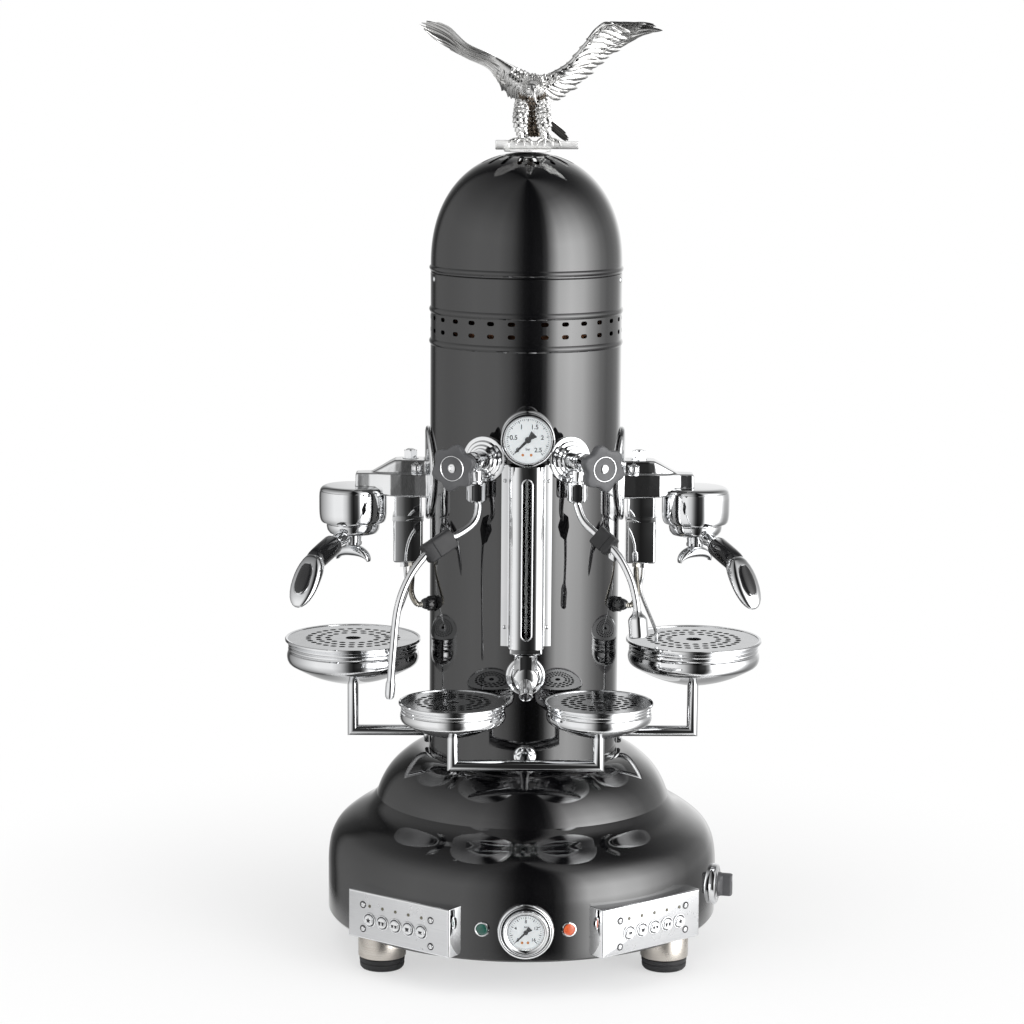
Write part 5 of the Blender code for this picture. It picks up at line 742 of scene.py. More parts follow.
def turned_steel():
    """Warm turned steel of the feet's sleeves."""
    finish = Finish("turned_steel", (0.62, 0.58, 0.53), 1.0, 0.3, Anisotropic=0.6)
    line = finish.group(GRAIN, Stretch=(0.6, 0.6, 70.0), Scale=30.0)
    finish.tint(line, (0.54, 0.50, 0.45), (0.70, 0.66, 0.61))
    finish.marks(20.0, 0.22, 0.34)
    return finish.relief(line, 0.12, 0.0004).material


def conduit_steel():
    """Plated strip of the armoured conduits."""
    finish = Finish("conduit_steel", (0.66, 0.63, 0.57), 1.0, 0.2)
    finish.marks(60.0, 0.14, 0.28)
    finish.tint(finish.noise(70.0), (0.52, 0.49, 0.43), (0.76, 0.74, 0.69))
    return finish.relief(finish.group(SKIN, Scale=200.0, Pits=0.3), 0.05, 0.0004).material


def bare_copper():
    """Dull copper of the boiler behind the vents."""
    finish = Finish("bare_copper", (0.62, 0.30, 0.17), 1.0, 0.32)
    finish.marks(12.0, 0.24, 0.42)
    finish.tint(finish.noise(9.0), (0.42, 0.19, 0.10), (0.72, 0.38, 0.24))
    return finish.relief(finish.group(SKIN, Scale=60.0, Pits=0.3), 0.1, 0.001).material


def moulded_black():
    """Matt black moulded knobs."""
    finish = Finish("moulded_black", (0.075, 0.076, 0.080), 0.0, 0.42)
    finish.marks(45.0, 0.34, 0.48)
    finish.tint(finish.noise(30.0), (0.062, 0.063, 0.067), (0.090, 0.091, 0.095))
    return finish.relief(finish.group(SKIN, Scale=420.0, Pits=0.6), 0.12, 0.0005).material


def gloss_black():
    """Gloss black grips of the filter holders and the glands."""
    finish = Finish("gloss_black", (0.010, 0.010, 0.011), 0.0, 0.08, Coat_Weight=0.6, Coat_Roughness=0.03)
    finish.marks(28.0, 0.05, 0.11)
    finish.tint(finish.noise(20.0), (0.008, 0.008, 0.009), (0.016, 0.016, 0.017))
    return finish.relief(finish.group(SKIN, Scale=60.0, Pits=0.05), 0.010, 0.001).material


def soft_rubber():
    """Black rubber of the feet's pads and the wands' grips."""
    finish = Finish("soft_rubber", (0.022, 0.022, 0.023), 0.0, 0.55)
    finish.marks(40.0, 0.46, 0.66)
    finish.tint(finish.noise(24.0), (0.016, 0.016, 0.017), (0.034, 0.034, 0.036))
    return finish.relief(finish.group(SKIN, Scale=300.0, Pits=0.5), 0.2, 0.0006).material


def clear_glass():
    """Gauge and sight glasses."""
    finish = Finish("clear_glass", (0.97, 0.985, 0.98), 0.0, 0.0, Transmission_Weight=1.0, IOR=1.45)
    finish.marks(18.0, 0.0, 0.03)
    return finish.material


def dial_card():
    """The printed white face of a gauge; its slight glow makes up for the light its glass keeps out."""
    finish = Finish("dial_card", (0.84, 0.85, 0.87), 0.0, 0.45)
    finish.marks(60.0, 0.40, 0.52)
    finish.tint(finish.noise(90.0), (0.82, 0.83, 0.85), (0.87, 0.88, 0.90))
    finish.shader.inputs["Emission Color"].default_value = (0.95, 0.97, 1.0, 1.0)
    finish.shader.inputs["Emission Strength"].default_value = 0.24
    return finish.relief(finish.noise(900.0), 0.03, 0.0002).material


def ink(name, dark, light):
    """Printed ink with a slightly uneven cover."""
    finish = Finish(name, dark, 0.0, 0.5)
    finish.marks(120.0, 0.42, 0.6)
    return finish.tint(finish.noise(500.0), dark, light).material


def lamp_lens(name, dark, light, glow):
    """A moulded lens with fine facets inside."""
    finish = Finish(name, dark, 0.0, 0.12, Coat_Weight=0.8)
    finish.marks(80.0, 0.08, 0.18)
    cells = tree_node(finish.tree, "ShaderNodeTexVoronoi",
                      {"Vector": finish.place, "Scale": 620.0}).outputs[0]
    finish.tint(cells, dark, light, 0.1, 0.6)
    finish.shader.inputs["Emission Color"].default_value = (*light, 1.0)
    finish.shader.inputs["Emission Strength"].default_value = glow
    return finish.relief(cells, 0.4, 0.0006).material


def silver_casting():
    """The finial's bright cast metal, its polish and tone varying in soft patches."""
    finish = Finish("silver_casting", (0.90, 0.90, 0.895), 1.0, 0.14)
    finish.marks(70.0, 0.07, 0.22)
    finish.tint(finish.noise(60.0), (0.76, 0.755, 0.74), (0.95, 0.95, 0.945))
    barbs = finish.group(GRAIN, Stretch=(1.0, 1.0, 1.0), Scale=420.0)
    return finish.relief(barbs, 0.25, 0.0006).material


def soft_silver():
    """The perch bar's silver with a soft sheen."""
    finish = Finish("soft_silver", (0.86, 0.86, 0.855), 0.45, 0.34)
    finish.marks(60.0, 0.26, 0.42)
    finish.tint(finish.noise(50.0), (0.80, 0.80, 0.79), (0.92, 0.92, 0.915))
    return finish.relief(finish.group(SKIN, Scale=300.0), 0.10, 0.0004).material


def painted_shade_silver(name, dark, light):
    """The finial's silver painted dark: painted shade and reflection on the lower body, painted shade on the
    tail.
    """
    finish = Finish(name, dark, 1.0, 0.24)
    finish.marks(70.0, 0.16, 0.32)
    finish.tint(finish.noise(60.0), dark, light)
    return finish.relief(finish.group(GRAIN, Stretch=(1.0, 1.0, 1.0), Scale=420.0), 0.25, 0.0006).material


ENAMEL = black_enamel()
CHROME = mirror_chrome()
CAST = cast_chrome()
SATIN = satin_steel()
PLATE = plate_steel()
GRATE = grate_steel()
TURNED = turned_steel()
CONDUIT = conduit_steel()
COPPER = bare_copper()
MOULDED = moulded_black()
GLOSS = gloss_black()
RUBBER = soft_rubber()
GLASS = clear_glass()
CARD = dial_card()
INK = ink("dial_ink", (0.012, 0.012, 0.014), (0.030, 0.030, 0.034))
ORANGE_INK = ink("orange_ink", (0.72, 0.22, 0.03), (0.82, 0.31, 0.06))
SILVER = silver_casting()
SOFT_SILVER = soft_silver()
# Painted shade: silver painted near-black for the eagle's lower body, standing for its shade and its
# reflection of the enamel, and for the tail
BELLY_SHADE = painted_shade_silver("painted_shade_silver", (0.055, 0.045, 0.036), (0.20, 0.17, 0.14))
TAIL_SHADE = painted_shade_silver("tail_painted_shade_silver", (0.010, 0.010, 0.010), (0.034, 0.032, 0.030))
GREEN_LENS = lamp_lens("green_lens", (0.003, 0.030, 0.022), (0.010, 0.085, 0.062), 0.03)
AMBER_LENS = lamp_lens("amber_lens", (0.28, 0.025, 0.006), (0.60, 0.10, 0.025), 0.08)
LED_LENS = lamp_lens("led_lens", (0.05, 0.045, 0.03), (0.12, 0.11, 0.07), 0.0)


# Body of the machine: bell, feet, column and dome

BASE_BELL = ((0.2520, 0.0445), (0.2543, 0.0453), (0.2555, 0.0475), (0.2555, 0.060), (0.2555, 0.095))
BASE_SHOULDER = ((0.2555, 0.110), (0.2550, 0.120), (0.2535, 0.1315), (0.2500, 0.1440), (0.2414, 0.1580),
                 (0.2247, 0.1716), (0.2035, 0.1850), (0.1915, 0.1976))
BASE_NECK = ((0.1912, 0.1990), (0.1860, 0.2120), (0.1780, 0.2260), (0.1670, 0.2390), (0.1500, 0.2530),
             (0.1365, 0.2590), (0.1255, 0.2600))
SHEET = 0.0025


def base_housing():
    """The black bell that carries the column."""
    outer = list(BASE_BELL) + curve_2d(BASE_SHOULDER, 26) + curve_2d(BASE_NECK, 22)
    inner = [(0.1230, 0.2598), (0.1230, 0.2573)]
    inner += [(radius - SHEET, height - SHEET) for radius, height in curve_2d(BASE_NECK, 10)[-3:0:-1]]
    inner += [(radius - SHEET, height - SHEET) for radius, height in curve_2d(BASE_SHOULDER, 12)[-2::-1]]
    inner += [(0.2530, 0.0600), (0.2500, 0.0445)]
    piece("base_bell", lathe(outer + inner, 160), ENAMEL, stands_for=("base_housing",), slot="black_enamel",
          soften=24)


FOOT_SPOTS = [(x, y) for x in (-0.181, 0.181) for y in (-0.133, 0.133)]
FOOT_NODES = ("foot_front_left", "foot_rear_left", "foot_front_right", "foot_rear_right")
PAD_PROFILE = ((0, 0), (0.0225, 0), (0.0262, 0.0008), (0.0280, 0.0030), (0.0286, 0.0060), (0.0286, 0.0085),
               (0.0278, 0.0092), (0.0278, 0.0104), (0.0290, 0.0112), (0.0290, 0.0150), (0.0250, 0.0162),
               (0, 0.0162))
SLEEVE_PROFILE = ((0, 0.0155), (0.0262, 0.0155), (0.0295, 0.0162), (0.0305, 0.0172), (0.0305, 0.0425),
                  (0.0300, 0.0440), (0.0280, 0.0447), (0, 0.0447))


def feet():
    """Four turned feet: a rubber pad with a step under a steel sleeve."""
    for name, (x, y) in zip(FOOT_NODES, FOOT_SPOTS):
        piece(name + "_sleeve", moved(lathe(SLEEVE_PROFILE, 64), x, y), TURNED, stands_for=(name,),
              slot="brushed_steel")
        piece(name + "_pad", moved(lathe(PAD_PROFILE, 64), x, y), RUBBER, slot="rubber_grip")


BEAD_HEIGHTS = (0.794, 0.835)
BEAD_RISE = 0.0018
VENT_ROWS = (0.8095, 0.8255)
VENT_COLUMNS = 28
VENT_SIZE = (0.0097, 0.0055)
VENT_FRONT_GAP = 0.042
COLUMN_WALL = 0.002


def bead(radius, height, half, rise, steps=8):
    """Points of a rolled bead on a wall."""
    return [(radius + rise * math.sin(math.pi * step / steps), height - half + 2 * half * step / steps)
            for step in range(steps + 1)]


def column_shell():
    """The enamelled tube with two rolled beads and the punched vents between them."""
    radius = COLUMN_RADIUS
    outer = [(radius, COLUMN_LOW + 0.0002), (radius, 0.40), (radius, 0.60), (radius, 0.74)]
    for height in BEAD_HEIGHTS:
        outer += bead(radius, height, 0.0042, BEAD_RISE)
        outer.append((radius, height + 0.0075))
    outer += [(radius, 0.868), (radius + 0.0002, COLUMN_TOP - 0.001), (radius - 0.0006, COLUMN_TOP)]
    inner = [(radius - COLUMN_WALL, COLUMN_TOP), (radius - COLUMN_WALL, COLUMN_LOW + 0.0002)]
    wide, tall = VENT_SIZE
    punch = placed(prism(slot_outline(wide / 2, tall / 2), -0.006, 0.006), Matrix.Rotation(QUARTER, 4, "X"))
    first = VENT_FRONT_GAP / radius / 2
    rows = [(VENT_COLUMNS, radius - COLUMN_WALL / 2, height, first, FULL_TURN - first)
            for height in VENT_ROWS]
    mesh = perforated(lathe(outer + inner, 168), punch, rows, ENAMEL)
    piece("column_tube", mesh, ENAMEL, stands_for=("column_shell",), slot="black_enamel", soften=24)


DOME_RISE = 0.1427
DOME_POWER = 2.2
DOME_FOOT = 0.8923
DOME_SLOT_COUNT = 16
DOME_SLOT_SPAN = (0.034, 0.060)
DOME_SLOT_WIDTH = 0.0062


def dome():
    """The domed lid with a rolled bead at its foot and a ring of radial slots."""
    outer = [(COLUMN_RADIUS - 0.0008, 0.8823), (COLUMN_RADIUS + 0.0002, 0.8830), (COLUMN_RADIUS, 0.8840)]
    outer += bead(COLUMN_RADIUS, 0.8880, 0.0036, BEAD_RISE)
    outer.append((COLUMN_RADIUS, 0.8920))
    top = DOME_FOOT + DOME_RISE
    arc = []
    for step in range(1, 41):
        angle = QUARTER * step / 40
        share = math.sin(angle)
        arc.append((COLUMN_RADIUS * math.cos(angle) ** (2 / DOME_POWER),
                    DOME_FOOT + DOME_RISE * share ** (2 / DOME_POWER)))
    outer += arc[:-1] + [(0, top)]
    inner = [(0, top - COLUMN_WALL)]
    inner += [(max(radius - COLUMN_WALL, 0.0001), height - COLUMN_WALL) for radius, height in arc[-3::-2]]
    inner += [(COLUMN_RADIUS - COLUMN_WALL, 0.8900), (COLUMN_RADIUS - COLUMN_WALL, 0.8823)]
    middle = sum(DOME_SLOT_SPAN) / 2
    half = (DOME_SLOT_SPAN[1] - DOME_SLOT_SPAN[0]) / 2
    punch = placed(prism(slot_outline(half, DOME_SLOT_WIDTH / 2), -0.04, 0.04),
                   Matrix.Rotation(QUARTER, 4, "Z"))
    rows = [(DOME_SLOT_COUNT, middle, top - 0.012, QUARTER / 8, FULL_TURN - QUARTER / 8)]
    mesh = perforated(lathe(outer + inner, 144), punch, rows, ENAMEL)
    piece("dome_lid", mesh, ENAMEL, stands_for=("dome",), slot="black_enamel", soften=24)


def screw_body(radius, height):
    """A domed screw head with a cross recess pressed in."""
    profile = [(0, -height * 0.4), (radius, -height * 0.4), (radius, 0.0), (radius * 0.93, height * 0.35),
               (radius * 0.72, height * 0.75), (radius * 0.4, height * 0.96), (radius * 0.2, height),
               (radius * 0.2, height * 0.55), (0, height * 0.5)]
    return lathe(profile, 20)


def column_screws():
    """The small screws that hold the dome on the column."""
    frames = [radial_frame(math.radians(azimuth), COLUMN_RADIUS, 0.875) for azimuth in (76, 196, 286)]
    piece("dome_screws", fastened(screw_body(0.0036, 0.0016), frames, CHROME), CHROME, slot="chrome")


# Brew groups and what hangs on them

GROUP_REACH = 0.2225
GROUP_HEIGHT = 0.622
GROUP_SADDLE = (0.046, 0.061, 0.006)
BELL_PROFILE = ((0, 0.6052), (0.0330, 0.6050), (0.0372, 0.6043), (0.0402, 0.6028), (0.0421, 0.6006),
                (0.0428, 0.5990), (0.0426, 0.5984), (0.0431, 0.5979), (0.0437, 0.5950), (0.0440, 0.5900),
                (0.0440, 0.5750), (0.0438, 0.5690), (0.0432, 0.5635), (0.0422, 0.5596), (0.0408, 0.5576),
                (0.0362, 0.5572), (0.0352, 0.5590), (0.0352, 0.5890), (0, 0.5890))


def rounded_section(half_wide, low, high, round_share=0.35, steps=5, wide_top=None):
    """A rounded four-sided section as (across, height) points."""
    top = half_wide if wide_top is None else wide_top
    corners = ((half_wide, low, -QUARTER), (top, high, 0), (-top, high, QUARTER),
               (-half_wide, low, 2 * QUARTER))
    points = []
    for x, z, start in corners:
        size = min(abs(x), (high - low) / 2) * round_share
        cx = x - math.copysign(size, x)
        cz = z - math.copysign(size, z - (low + high) / 2)
        for step in range(steps + 1):
            angle = start + QUARTER * step / steps
            points.append((cx + size * math.cos(angle), cz + size * math.sin(angle)))
    return points


def swept_sections(sections):
    """Skin rounded sections along x; each is (x, half width, low, high, round share, top half width)."""
    rings = []
    for x, half, low, high, share, top in sections:
        rings.append([(x, across, height) for across, height in rounded_section(half, low, high, share,
                                                                                wide_top=top)])
    return loft(rings)


def group_casting(side):
    """The saddle, arm, nose and sloping ridge as one melted casting."""
    half_wide, half_tall, thick = GROUP_SADDLE
    column = COLUMN_RADIUS + SEAT
    rings = []
    for rim, lift in ((0.5, 0.0), (0.9, 0.0), (1.0, 0.0), (1.0, 0.55), (0.97, 0.85), (0.90, 1.0), (0.6, 1.0),
                      (0.25, 1.0)):
        ring = []
        for angle in circle_angles(56):
            across = half_wide * rim * math.cos(angle)
            turn = across / column
            reach = column + 0.0003 + thick * lift
            ring.append((reach * math.cos(turn), reach * math.sin(turn),
                         GROUP_HEIGHT + half_tall * rim * math.sin(angle)))
        rings.append(ring)
    saddle = loft(rings)
    block = swept_sections([
        (column, 0.0300, 0.5925, 0.6240, 0.24, 0.0292), (0.1420, 0.0290, 0.5930, 0.6238, 0.20, 0.0282),
        (0.1600, 0.0285, 0.5935, 0.6236, 0.18, 0.0277), (0.1740, 0.0278, 0.5940, 0.6234, 0.18, 0.0268),
        (0.1830, 0.0240, 0.5945, 0.6232, 0.20, 0.0230), (0.1920, 0.0190, 0.5950, 0.6230, 0.22, 0.0180),
        (0.2010, 0.0162, 0.5955, 0.6228, 0.24, 0.0152), (0.2110, 0.0152, 0.5960, 0.6226, 0.24, 0.0142),
        (0.2172, 0.0148, 0.5960, 0.6224, 0.26, 0.0138), (0.2190, 0.0130, 0.5970, 0.6208, 0.30, 0.0120)])
    ridge = swept_sections([
        (column, 0.0235, 0.6050, 0.6402, 0.30, 0.0200), (0.1400, 0.0220, 0.6050, 0.6405, 0.28, 0.0190),
        (0.1600, 0.0212, 0.6050, 0.6405, 0.28, 0.0184), (0.1675, 0.0206, 0.6050, 0.6400, 0.30, 0.0178),
        (0.1750, 0.0192, 0.6050, 0.6362, 0.32, 0.0164), (0.1850, 0.0172, 0.6050, 0.6302, 0.34, 0.0146),
        (0.1950, 0.0150, 0.6050, 0.6246, 0.36, 0.0126), (0.2010, 0.0130, 0.6050, 0.6215, 0.38, 0.0110)])
    skirt = moved(lathe([(0, 0.589), (0.0400, 0.589), (0.0408, 0.597), (0.0392, 0.6020), (0.0340, 0.6046),
                         (0, 0.6046)], 56), GROUP_REACH)
    casting = fused(joined(saddle, block, ridge, skirt), 0.00095, 2)
    side_piece("group_casting", casting, side, CAST, stands_for=("group_" + word(side),), slot="chrome",
               soften=60)


def group_bells(side):
    """The turned bell that takes the filter holder."""
    bell = moved(lathe(BELL_PROFILE, 96), GROUP_REACH)
    side_piece("group_bell", bell, side, CHROME, slot="chrome")


def hex_nut(radius, low, high):
    """A chamfered hex nut."""
    flats = radius * math.cos(math.pi / 6)
    rings = []
    for height, inset in ((low, 0.10), (low + radius * 0.08, 0.0), (high - radius * 0.08, 0.0),
                          (high, 0.10)):
        ring = []
        for index in range(36):
            angle = FULL_TURN * index / 36
            facet = (angle + math.pi / 6) % (math.pi / 3) - math.pi / 6
            corner = flats / math.cos(facet)
            reach = min(corner, radius * (1 - inset)) if inset else corner
            ring.append((reach * math.cos(angle), reach * math.sin(angle), height))
        rings.append(ring)
    return loft(rings)


BOLT_REACH = 0.148


def group_fixings(side):
    """The hex bolt on the ridge and the acorn nut on its cheek."""
    bolt = moved(hex_nut(0.0095, 0.6395, 0.6515), BOLT_REACH)
    cap = moved(lathe([(0, 0.6500), (0.0062, 0.6500), (0.0058, 0.6522), (0.0036, 0.6532), (0, 0.6535)], 24),
                BOLT_REACH)
    washer = moved(lathe([(0, 0.6385), (0.0112, 0.6385), (0.0112, 0.6403), (0.0104, 0.6411), (0, 0.6411)],
                         40), BOLT_REACH)
    facing = Matrix.Translation((0.140, -0.0195, 0.631)) @ Matrix.Rotation(QUARTER, 4, "X")
    acorn_nut = placed(hex_nut(0.0080, 0.0005, 0.0065), facing)
    acorn = placed(lathe([(0, 0.004), (0.0066, 0.004), (0.0064, 0.0090), (0.0050, 0.0122), (0.0027, 0.0140),
                          (0, 0.0146)], 32), facing)
    side_piece("group_fixings", joined(bolt, cap, washer, acorn_nut, acorn), side, CHROME, slot="chrome")


SOLENOID_NEAR, SOLENOID_FAR = 0.132, 0.170


def solenoid(side):
    """The valve block under the arm, with the pipe that drains it into the tray."""
    can = eased(box((SOLENOID_NEAR, -0.020, 0.506), (SOLENOID_FAR, 0.020, 0.5655)), 0.0032, 4)
    upper = eased(box((SOLENOID_NEAR + 0.0015, -0.0185, 0.5645), (SOLENOID_FAR - 0.0015, 0.0185, 0.5937)),
                  0.0026, 4)
    yoke = eased(box((SOLENOID_NEAR - 0.001, -0.0212, 0.5605), (SOLENOID_FAR + 0.001, 0.0212, 0.5672)),
                 0.001, 2)
    side_piece("solenoid_can", joined(can, upper, yoke), side, CHROME,
               stands_for=("solenoid_" + word(side),), slot="chrome")
    start = Vector((0.156, -0.004, 0.510))
    end = Vector((0.1716, -0.0363, 0.406))
    drop = start.z - end.z
    way = end - start
    knee = start + Vector((-0.0035, 0, -drop * 0.42))
    ankle = Vector((end.x - way.x * 0.2, end.y + abs(way.y) * 0.3, end.z + drop * 0.2))
    foot = Vector((end.x, end.y, end.z + drop * 0.1))
    route = spline([start, start.lerp(knee, 0.5), knee, ankle, foot, end], 48)
    pipe = tube(route, 0.0022, 18)
    collar = placed(hex_nut(0.0062, -0.002, 0.0062),
                    aimed(start + Vector((0, 0, -0.009)), Vector((0, 0, 1))))
    side_piece("drain_pipe", joined(pipe, collar), side, CHROME, slot="chrome")


def tray_mesh(radius, depth_scale, rim):
    """A rolled-rim bowl with two beads in its neck, its inside following its outside."""
    scale = radius / 0.090
    outside = [(90, -0.9), (90, -3.2), (88.6, -4.6), (85.4, -5.8), (84.8, -6.8), (85.8, -8.0), (86.1, -9.3),
               (85.4, -10.6), (84.8, -11.4), (85.8, -12.6), (86.2, -14.2), (85.6, -15.6), (85.0, -16.6),
               (86.4, -18.2), (87.4, -21.5), (87.6, -25.0), (87.0, -29.0), (85.4, -32.5), (82.8, -35.0)]
    bowl = curve_2d([(82.8, -35), (74, -40), (60, -47.2), (46, -52.8), (30, -57.6), (18, -60.6),
                     (9, -62.4)], 20)
    skin = [(r * scale / 1000, rim + z * depth_scale * scale / 1000) for r, z in outside + bowl[1:]]
    inside = [((r - 1.6) * scale / 1000, rim + (z + 2.0) * depth_scale * scale / 1000)
              for r, z in bowl[::-2]]
    return ([((90 - 0.8) * scale / 1000, rim)] + skin + [(0, rim - 0.0632 * depth_scale * scale),
                                                         (0, rim - 0.0608 * depth_scale * scale)] + inside
            + [(0.0826 * scale, rim - 0.024 * scale), (0.0826 * scale, rim - 0.0045),
               (0.0862 * scale, rim - 0.0043), (0.0866 * scale, rim - 0.0006)])


def mitred_tube(corners, radius, sides=32):
    """A round tube through corners, cut and joined at an angle at each."""
    corners = [Vector(corner) for corner in corners]
    ways = [(after - before).normalized() for before, after in zip(corners, corners[1:])]
    guide = Vector((0, 1, 0)) if abs(ways[0].y) < 0.9 else Vector((1, 0, 0))
    side = guide.cross(ways[0]).normalized()
    up = ways[0].cross(side)
    offsets = [(side * math.cos(a) + up * math.sin(a)) * radius for a in circle_angles(sides)]
    rings = [[corners[0] + offset for offset in offsets]]
    for corner, way, turn in zip(corners[1:], ways, ways[1:]):
        cut = (way + turn).normalized()
        offsets = [offset - way * (offset.dot(cut) / way.dot(cut)) for offset in offsets]
        rings.append([corner + offset for offset in offsets])
        offsets = [offset - turn * offset.dot(turn) for offset in offsets]
    rings.append([corners[-1] + offset for offset in offsets])
    return loft(rings)


SIDE_TRAY = (0.2230, 0.0, 0.404, 0.0886)
FRONT_TRAY = (0.0915, -0.1730, 0.358, 0.0680)
TRAY_TUBE = 0.0072
SIDE_TUBE_HEIGHT = 0.2795
FRONT_TUBE_HEIGHT = 0.2755


def side_tray(side):
    """The round tray beside the column on its angled tube."""
    x, y, rim, radius = SIDE_TRAY
    bowl = moved(lathe(tray_mesh(radius, 1.0, rim), 96), x, y)
    side_piece("side_tray_bowl", bowl, side, CHROME, stands_for=("side_tray_" + word(side),), slot="chrome",
               soften=24)
    pipe = mitred_tube([(COLUMN_RADIUS - 0.001, 0, SIDE_TUBE_HEIGHT), (x, 0, SIDE_TUBE_HEIGHT),
                        (x, 0, rim - 0.060)], TRAY_TUBE)
    rosette = placed(lathe([(0, -0.0005), (0.0160, -0.0005), (0.0160, 0.0030), (0.0148, 0.0052),
                            (0.0118, 0.0060), (0.0096, 0.0064), (0, 0.0064)], 56),
                     radial_frame(QUARTER, COLUMN_RADIUS + 0.001, SIDE_TUBE_HEIGHT))
    side_piece("side_tray_tube", joined(pipe, rosette), side, CHROME, slot="chrome")


def front_trays():
    """The pair of front trays on one angled tube that hangs on an arm of the column."""
    x, y, rim, radius = FRONT_TRAY
    stands_for = ("front_tray_frame",)
    for side in SIDES:
        bowl = moved(lathe(tray_mesh(radius, 0.98, rim), 88), x, y)
        side_piece("front_tray_bowl", bowl, side, CHROME, stands_for=stands_for, slot="chrome", soften=24)
        stands_for = ()
    bottom = rim - 0.046
    height = FRONT_TUBE_HEIGHT
    pipe = mitred_tube([(-x, y, bottom), (-x, y, height), (x, y, height), (x, y, bottom)], TRAY_TUBE)
    arm = placed(lathe([(0, -0.002), (0.0145, -0.002), (0.0145, 0.0022), (0.0137, 0.0036), (0.0120, 0.0040),
                        (0.0114, 0.0046), (0.0108, 0.0070), (0.0094, 0.0082), (0.0070, 0.0086),
                        (0.0064, 0.0100), (0.0064, 0.0480), (0, 0.0480)], 56),
                 radial_frame(0, COLUMN_RADIUS + 0.0005, height))
    piece("front_tray_tube", joined(pipe, arm), CHROME, slot="chrome")


def grate(name, radius, x, y, rim):
    """A flat grate with three rings of round holes and a middle hole."""
    size = radius / 0.0886
    radius -= 0.003
    top = rim - 0.0012
    middle = 0.0098 * size
    plate = lathe([(middle, top - 0.0020), (radius - 0.0005, top - 0.0020), (radius, top - 0.0014),
                   (radius, top - 0.0006), (radius - 0.0006, top), (middle + 0.0005, top),
                   (middle, top - 0.0005)], 96)
    punch = prism(slot_outline(0.0044, 0.0037, 5), -0.006, 0.006)
    rows = []
    for share, count in ((0.384, 16), (0.530, 24), (0.682, 31)):
        count = round(count * (0.35 + 0.65 * size))
        rows.append((count, radius * share, top - 0.001, 0.0, FULL_TURN * (1 - 1 / count)))
    mesh = perforated(plate, punch, rows, GRATE)
    mesh.transform(Matrix.Translation((x, y, 0)))
    piece(name + "_plate", mesh, GRATE, body=name, stands_for=(name,), slot="satin_steel")
    # A dark rubber disc under the holes: painted shade, standing for the tray's floor in shadow
    shade = disc(radius * 0.90, top - 0.0072, top - 0.0062, 64)
    piece(name + "_well", moved(shade, x, y), RUBBER, slot="black_plastic")


def grates():
    """The four lift-out grates."""
    for side in SIDES:
        for label, (x, y, rim, radius) in (("side", SIDE_TRAY), ("front", FRONT_TRAY)):
            grate(label + "_grate_" + word(side), radius, side * x, y, rim)


GLAND_AZIMUTH = math.radians(71.5)
GLAND_HEIGHT = 0.457
CONDUIT_RADIUS = 0.0036


def conduit(side):
    """The armoured conduit from the solenoid round into its gland on the column."""
    gland = radial_frame(GLAND_AZIMUTH, COLUMN_RADIUS, GLAND_HEIGHT)
    outward_way = Vector((math.sin(GLAND_AZIMUTH), -math.cos(GLAND_AZIMUTH), 0))
    mouth = gland.to_translation() + outward_way * 0.013
    start = Vector((0.146, -0.004, 0.507))
    route = spline(conduit_points(start, mouth, outward_way), 60)
    line = bpy.data.meshes.new("line")
    line.from_pydata(route, [(index, index + 1) for index in range(len(route) - 1)], [])
    hose = to_body(grown(line, [("hose", {"Ribs": 46, "Radius": CONDUIT_RADIUS - 0.0005, "Rib depth": 0.0006,
                                          "Sides": 20, "Material": CONDUIT})]))
    collar = moved(hex_nut(0.0060, 0.500, 0.5075), start.x, start.y)
    side_piece("conduit_hose", joined(outward(hose), collar), side, CONDUIT,
               stands_for=("conduit_" + word(side),), slot="brushed_steel")
    nut = hex_nut(0.0098, 0.0002, 0.0092)
    cone = lathe([(0, 0.008), (0.0078, 0.008), (0.0076, 0.0120), (0.0060, 0.0155), (0.0046, 0.0170),
                  (0, 0.0170)], 32)
    flange = disc(0.0106, 0.0002, 0.0016, 40)
    side_piece("conduit_gland", placed(joined(nut, cone, flange), gland), side, GLOSS, slot="black_gloss")


def conduit_points(start, mouth, outward_way):
    """The conduit's route from the solenoid's underside down and round into its gland."""
    drop = start.z - mouth.z
    return [start, start - Vector((0, 0, 0.010)), Vector((start.x, mouth.y * 0.35, mouth.z + drop * 0.55)),
            Vector((start.x, mouth.y * 0.75, mouth.z + drop * 0.22)), mouth + outward_way * 0.010, mouth]


# Filter holders and their handles

HOLDER_TURN = math.radians(30)
HOLDER_NECK = math.radians(19)
# Height at which the neck leaves the bowl
HOLDER_LEVEL = 0.5505
HOLDER_BODY = ((0.0345, 0.5855), (0.0345, 0.5520), (0.0336, 0.5470), (0.0305, 0.5428), (0.0255, 0.5412),
               (0.0130, 0.5410), (0.0112, 0.5398), (0.0104, 0.5340), (0.0104, 0.5275), (0, 0.5270))
HOLDER_COLLAR = ((0.0345, 0.5660), (0.0357, 0.5648), (0.0357, 0.5560), (0.0345, 0.5545))
HANDLE_LENGTH = 0.114
HANDLE_HALF_WIDTH = 0.0195
HANDLE_HALF_DEPTH = 0.0135
SLEEVE_STATIONS = ((0.000, 0.60, 0.86), (0.010, 0.66, 0.94), (0.035, 0.69, 1.00), (0.20, 0.69, 1.00),
                   (0.30, 0.69, 0.99), (0.36, 0.69, 0.96), (0.40, 0.68, 0.90), (0.42, 0.60, 0.80))
PADDLE_STATIONS = ((0.375, 0.52, 0.62), (0.41, 0.70, 0.86), (0.45, 0.80, 0.84), (0.50, 0.90, 0.78),
                   (0.56, 0.97, 0.73), (0.62, 1.00, 0.68), (0.69, 1.00, 0.64), (0.76, 0.97, 0.59),
                   (0.83, 0.89, 0.53), (0.90, 0.75, 0.46), (0.95, 0.57, 0.37), (0.985, 0.36, 0.25),
                   (1.00, 0.16, 0.14))


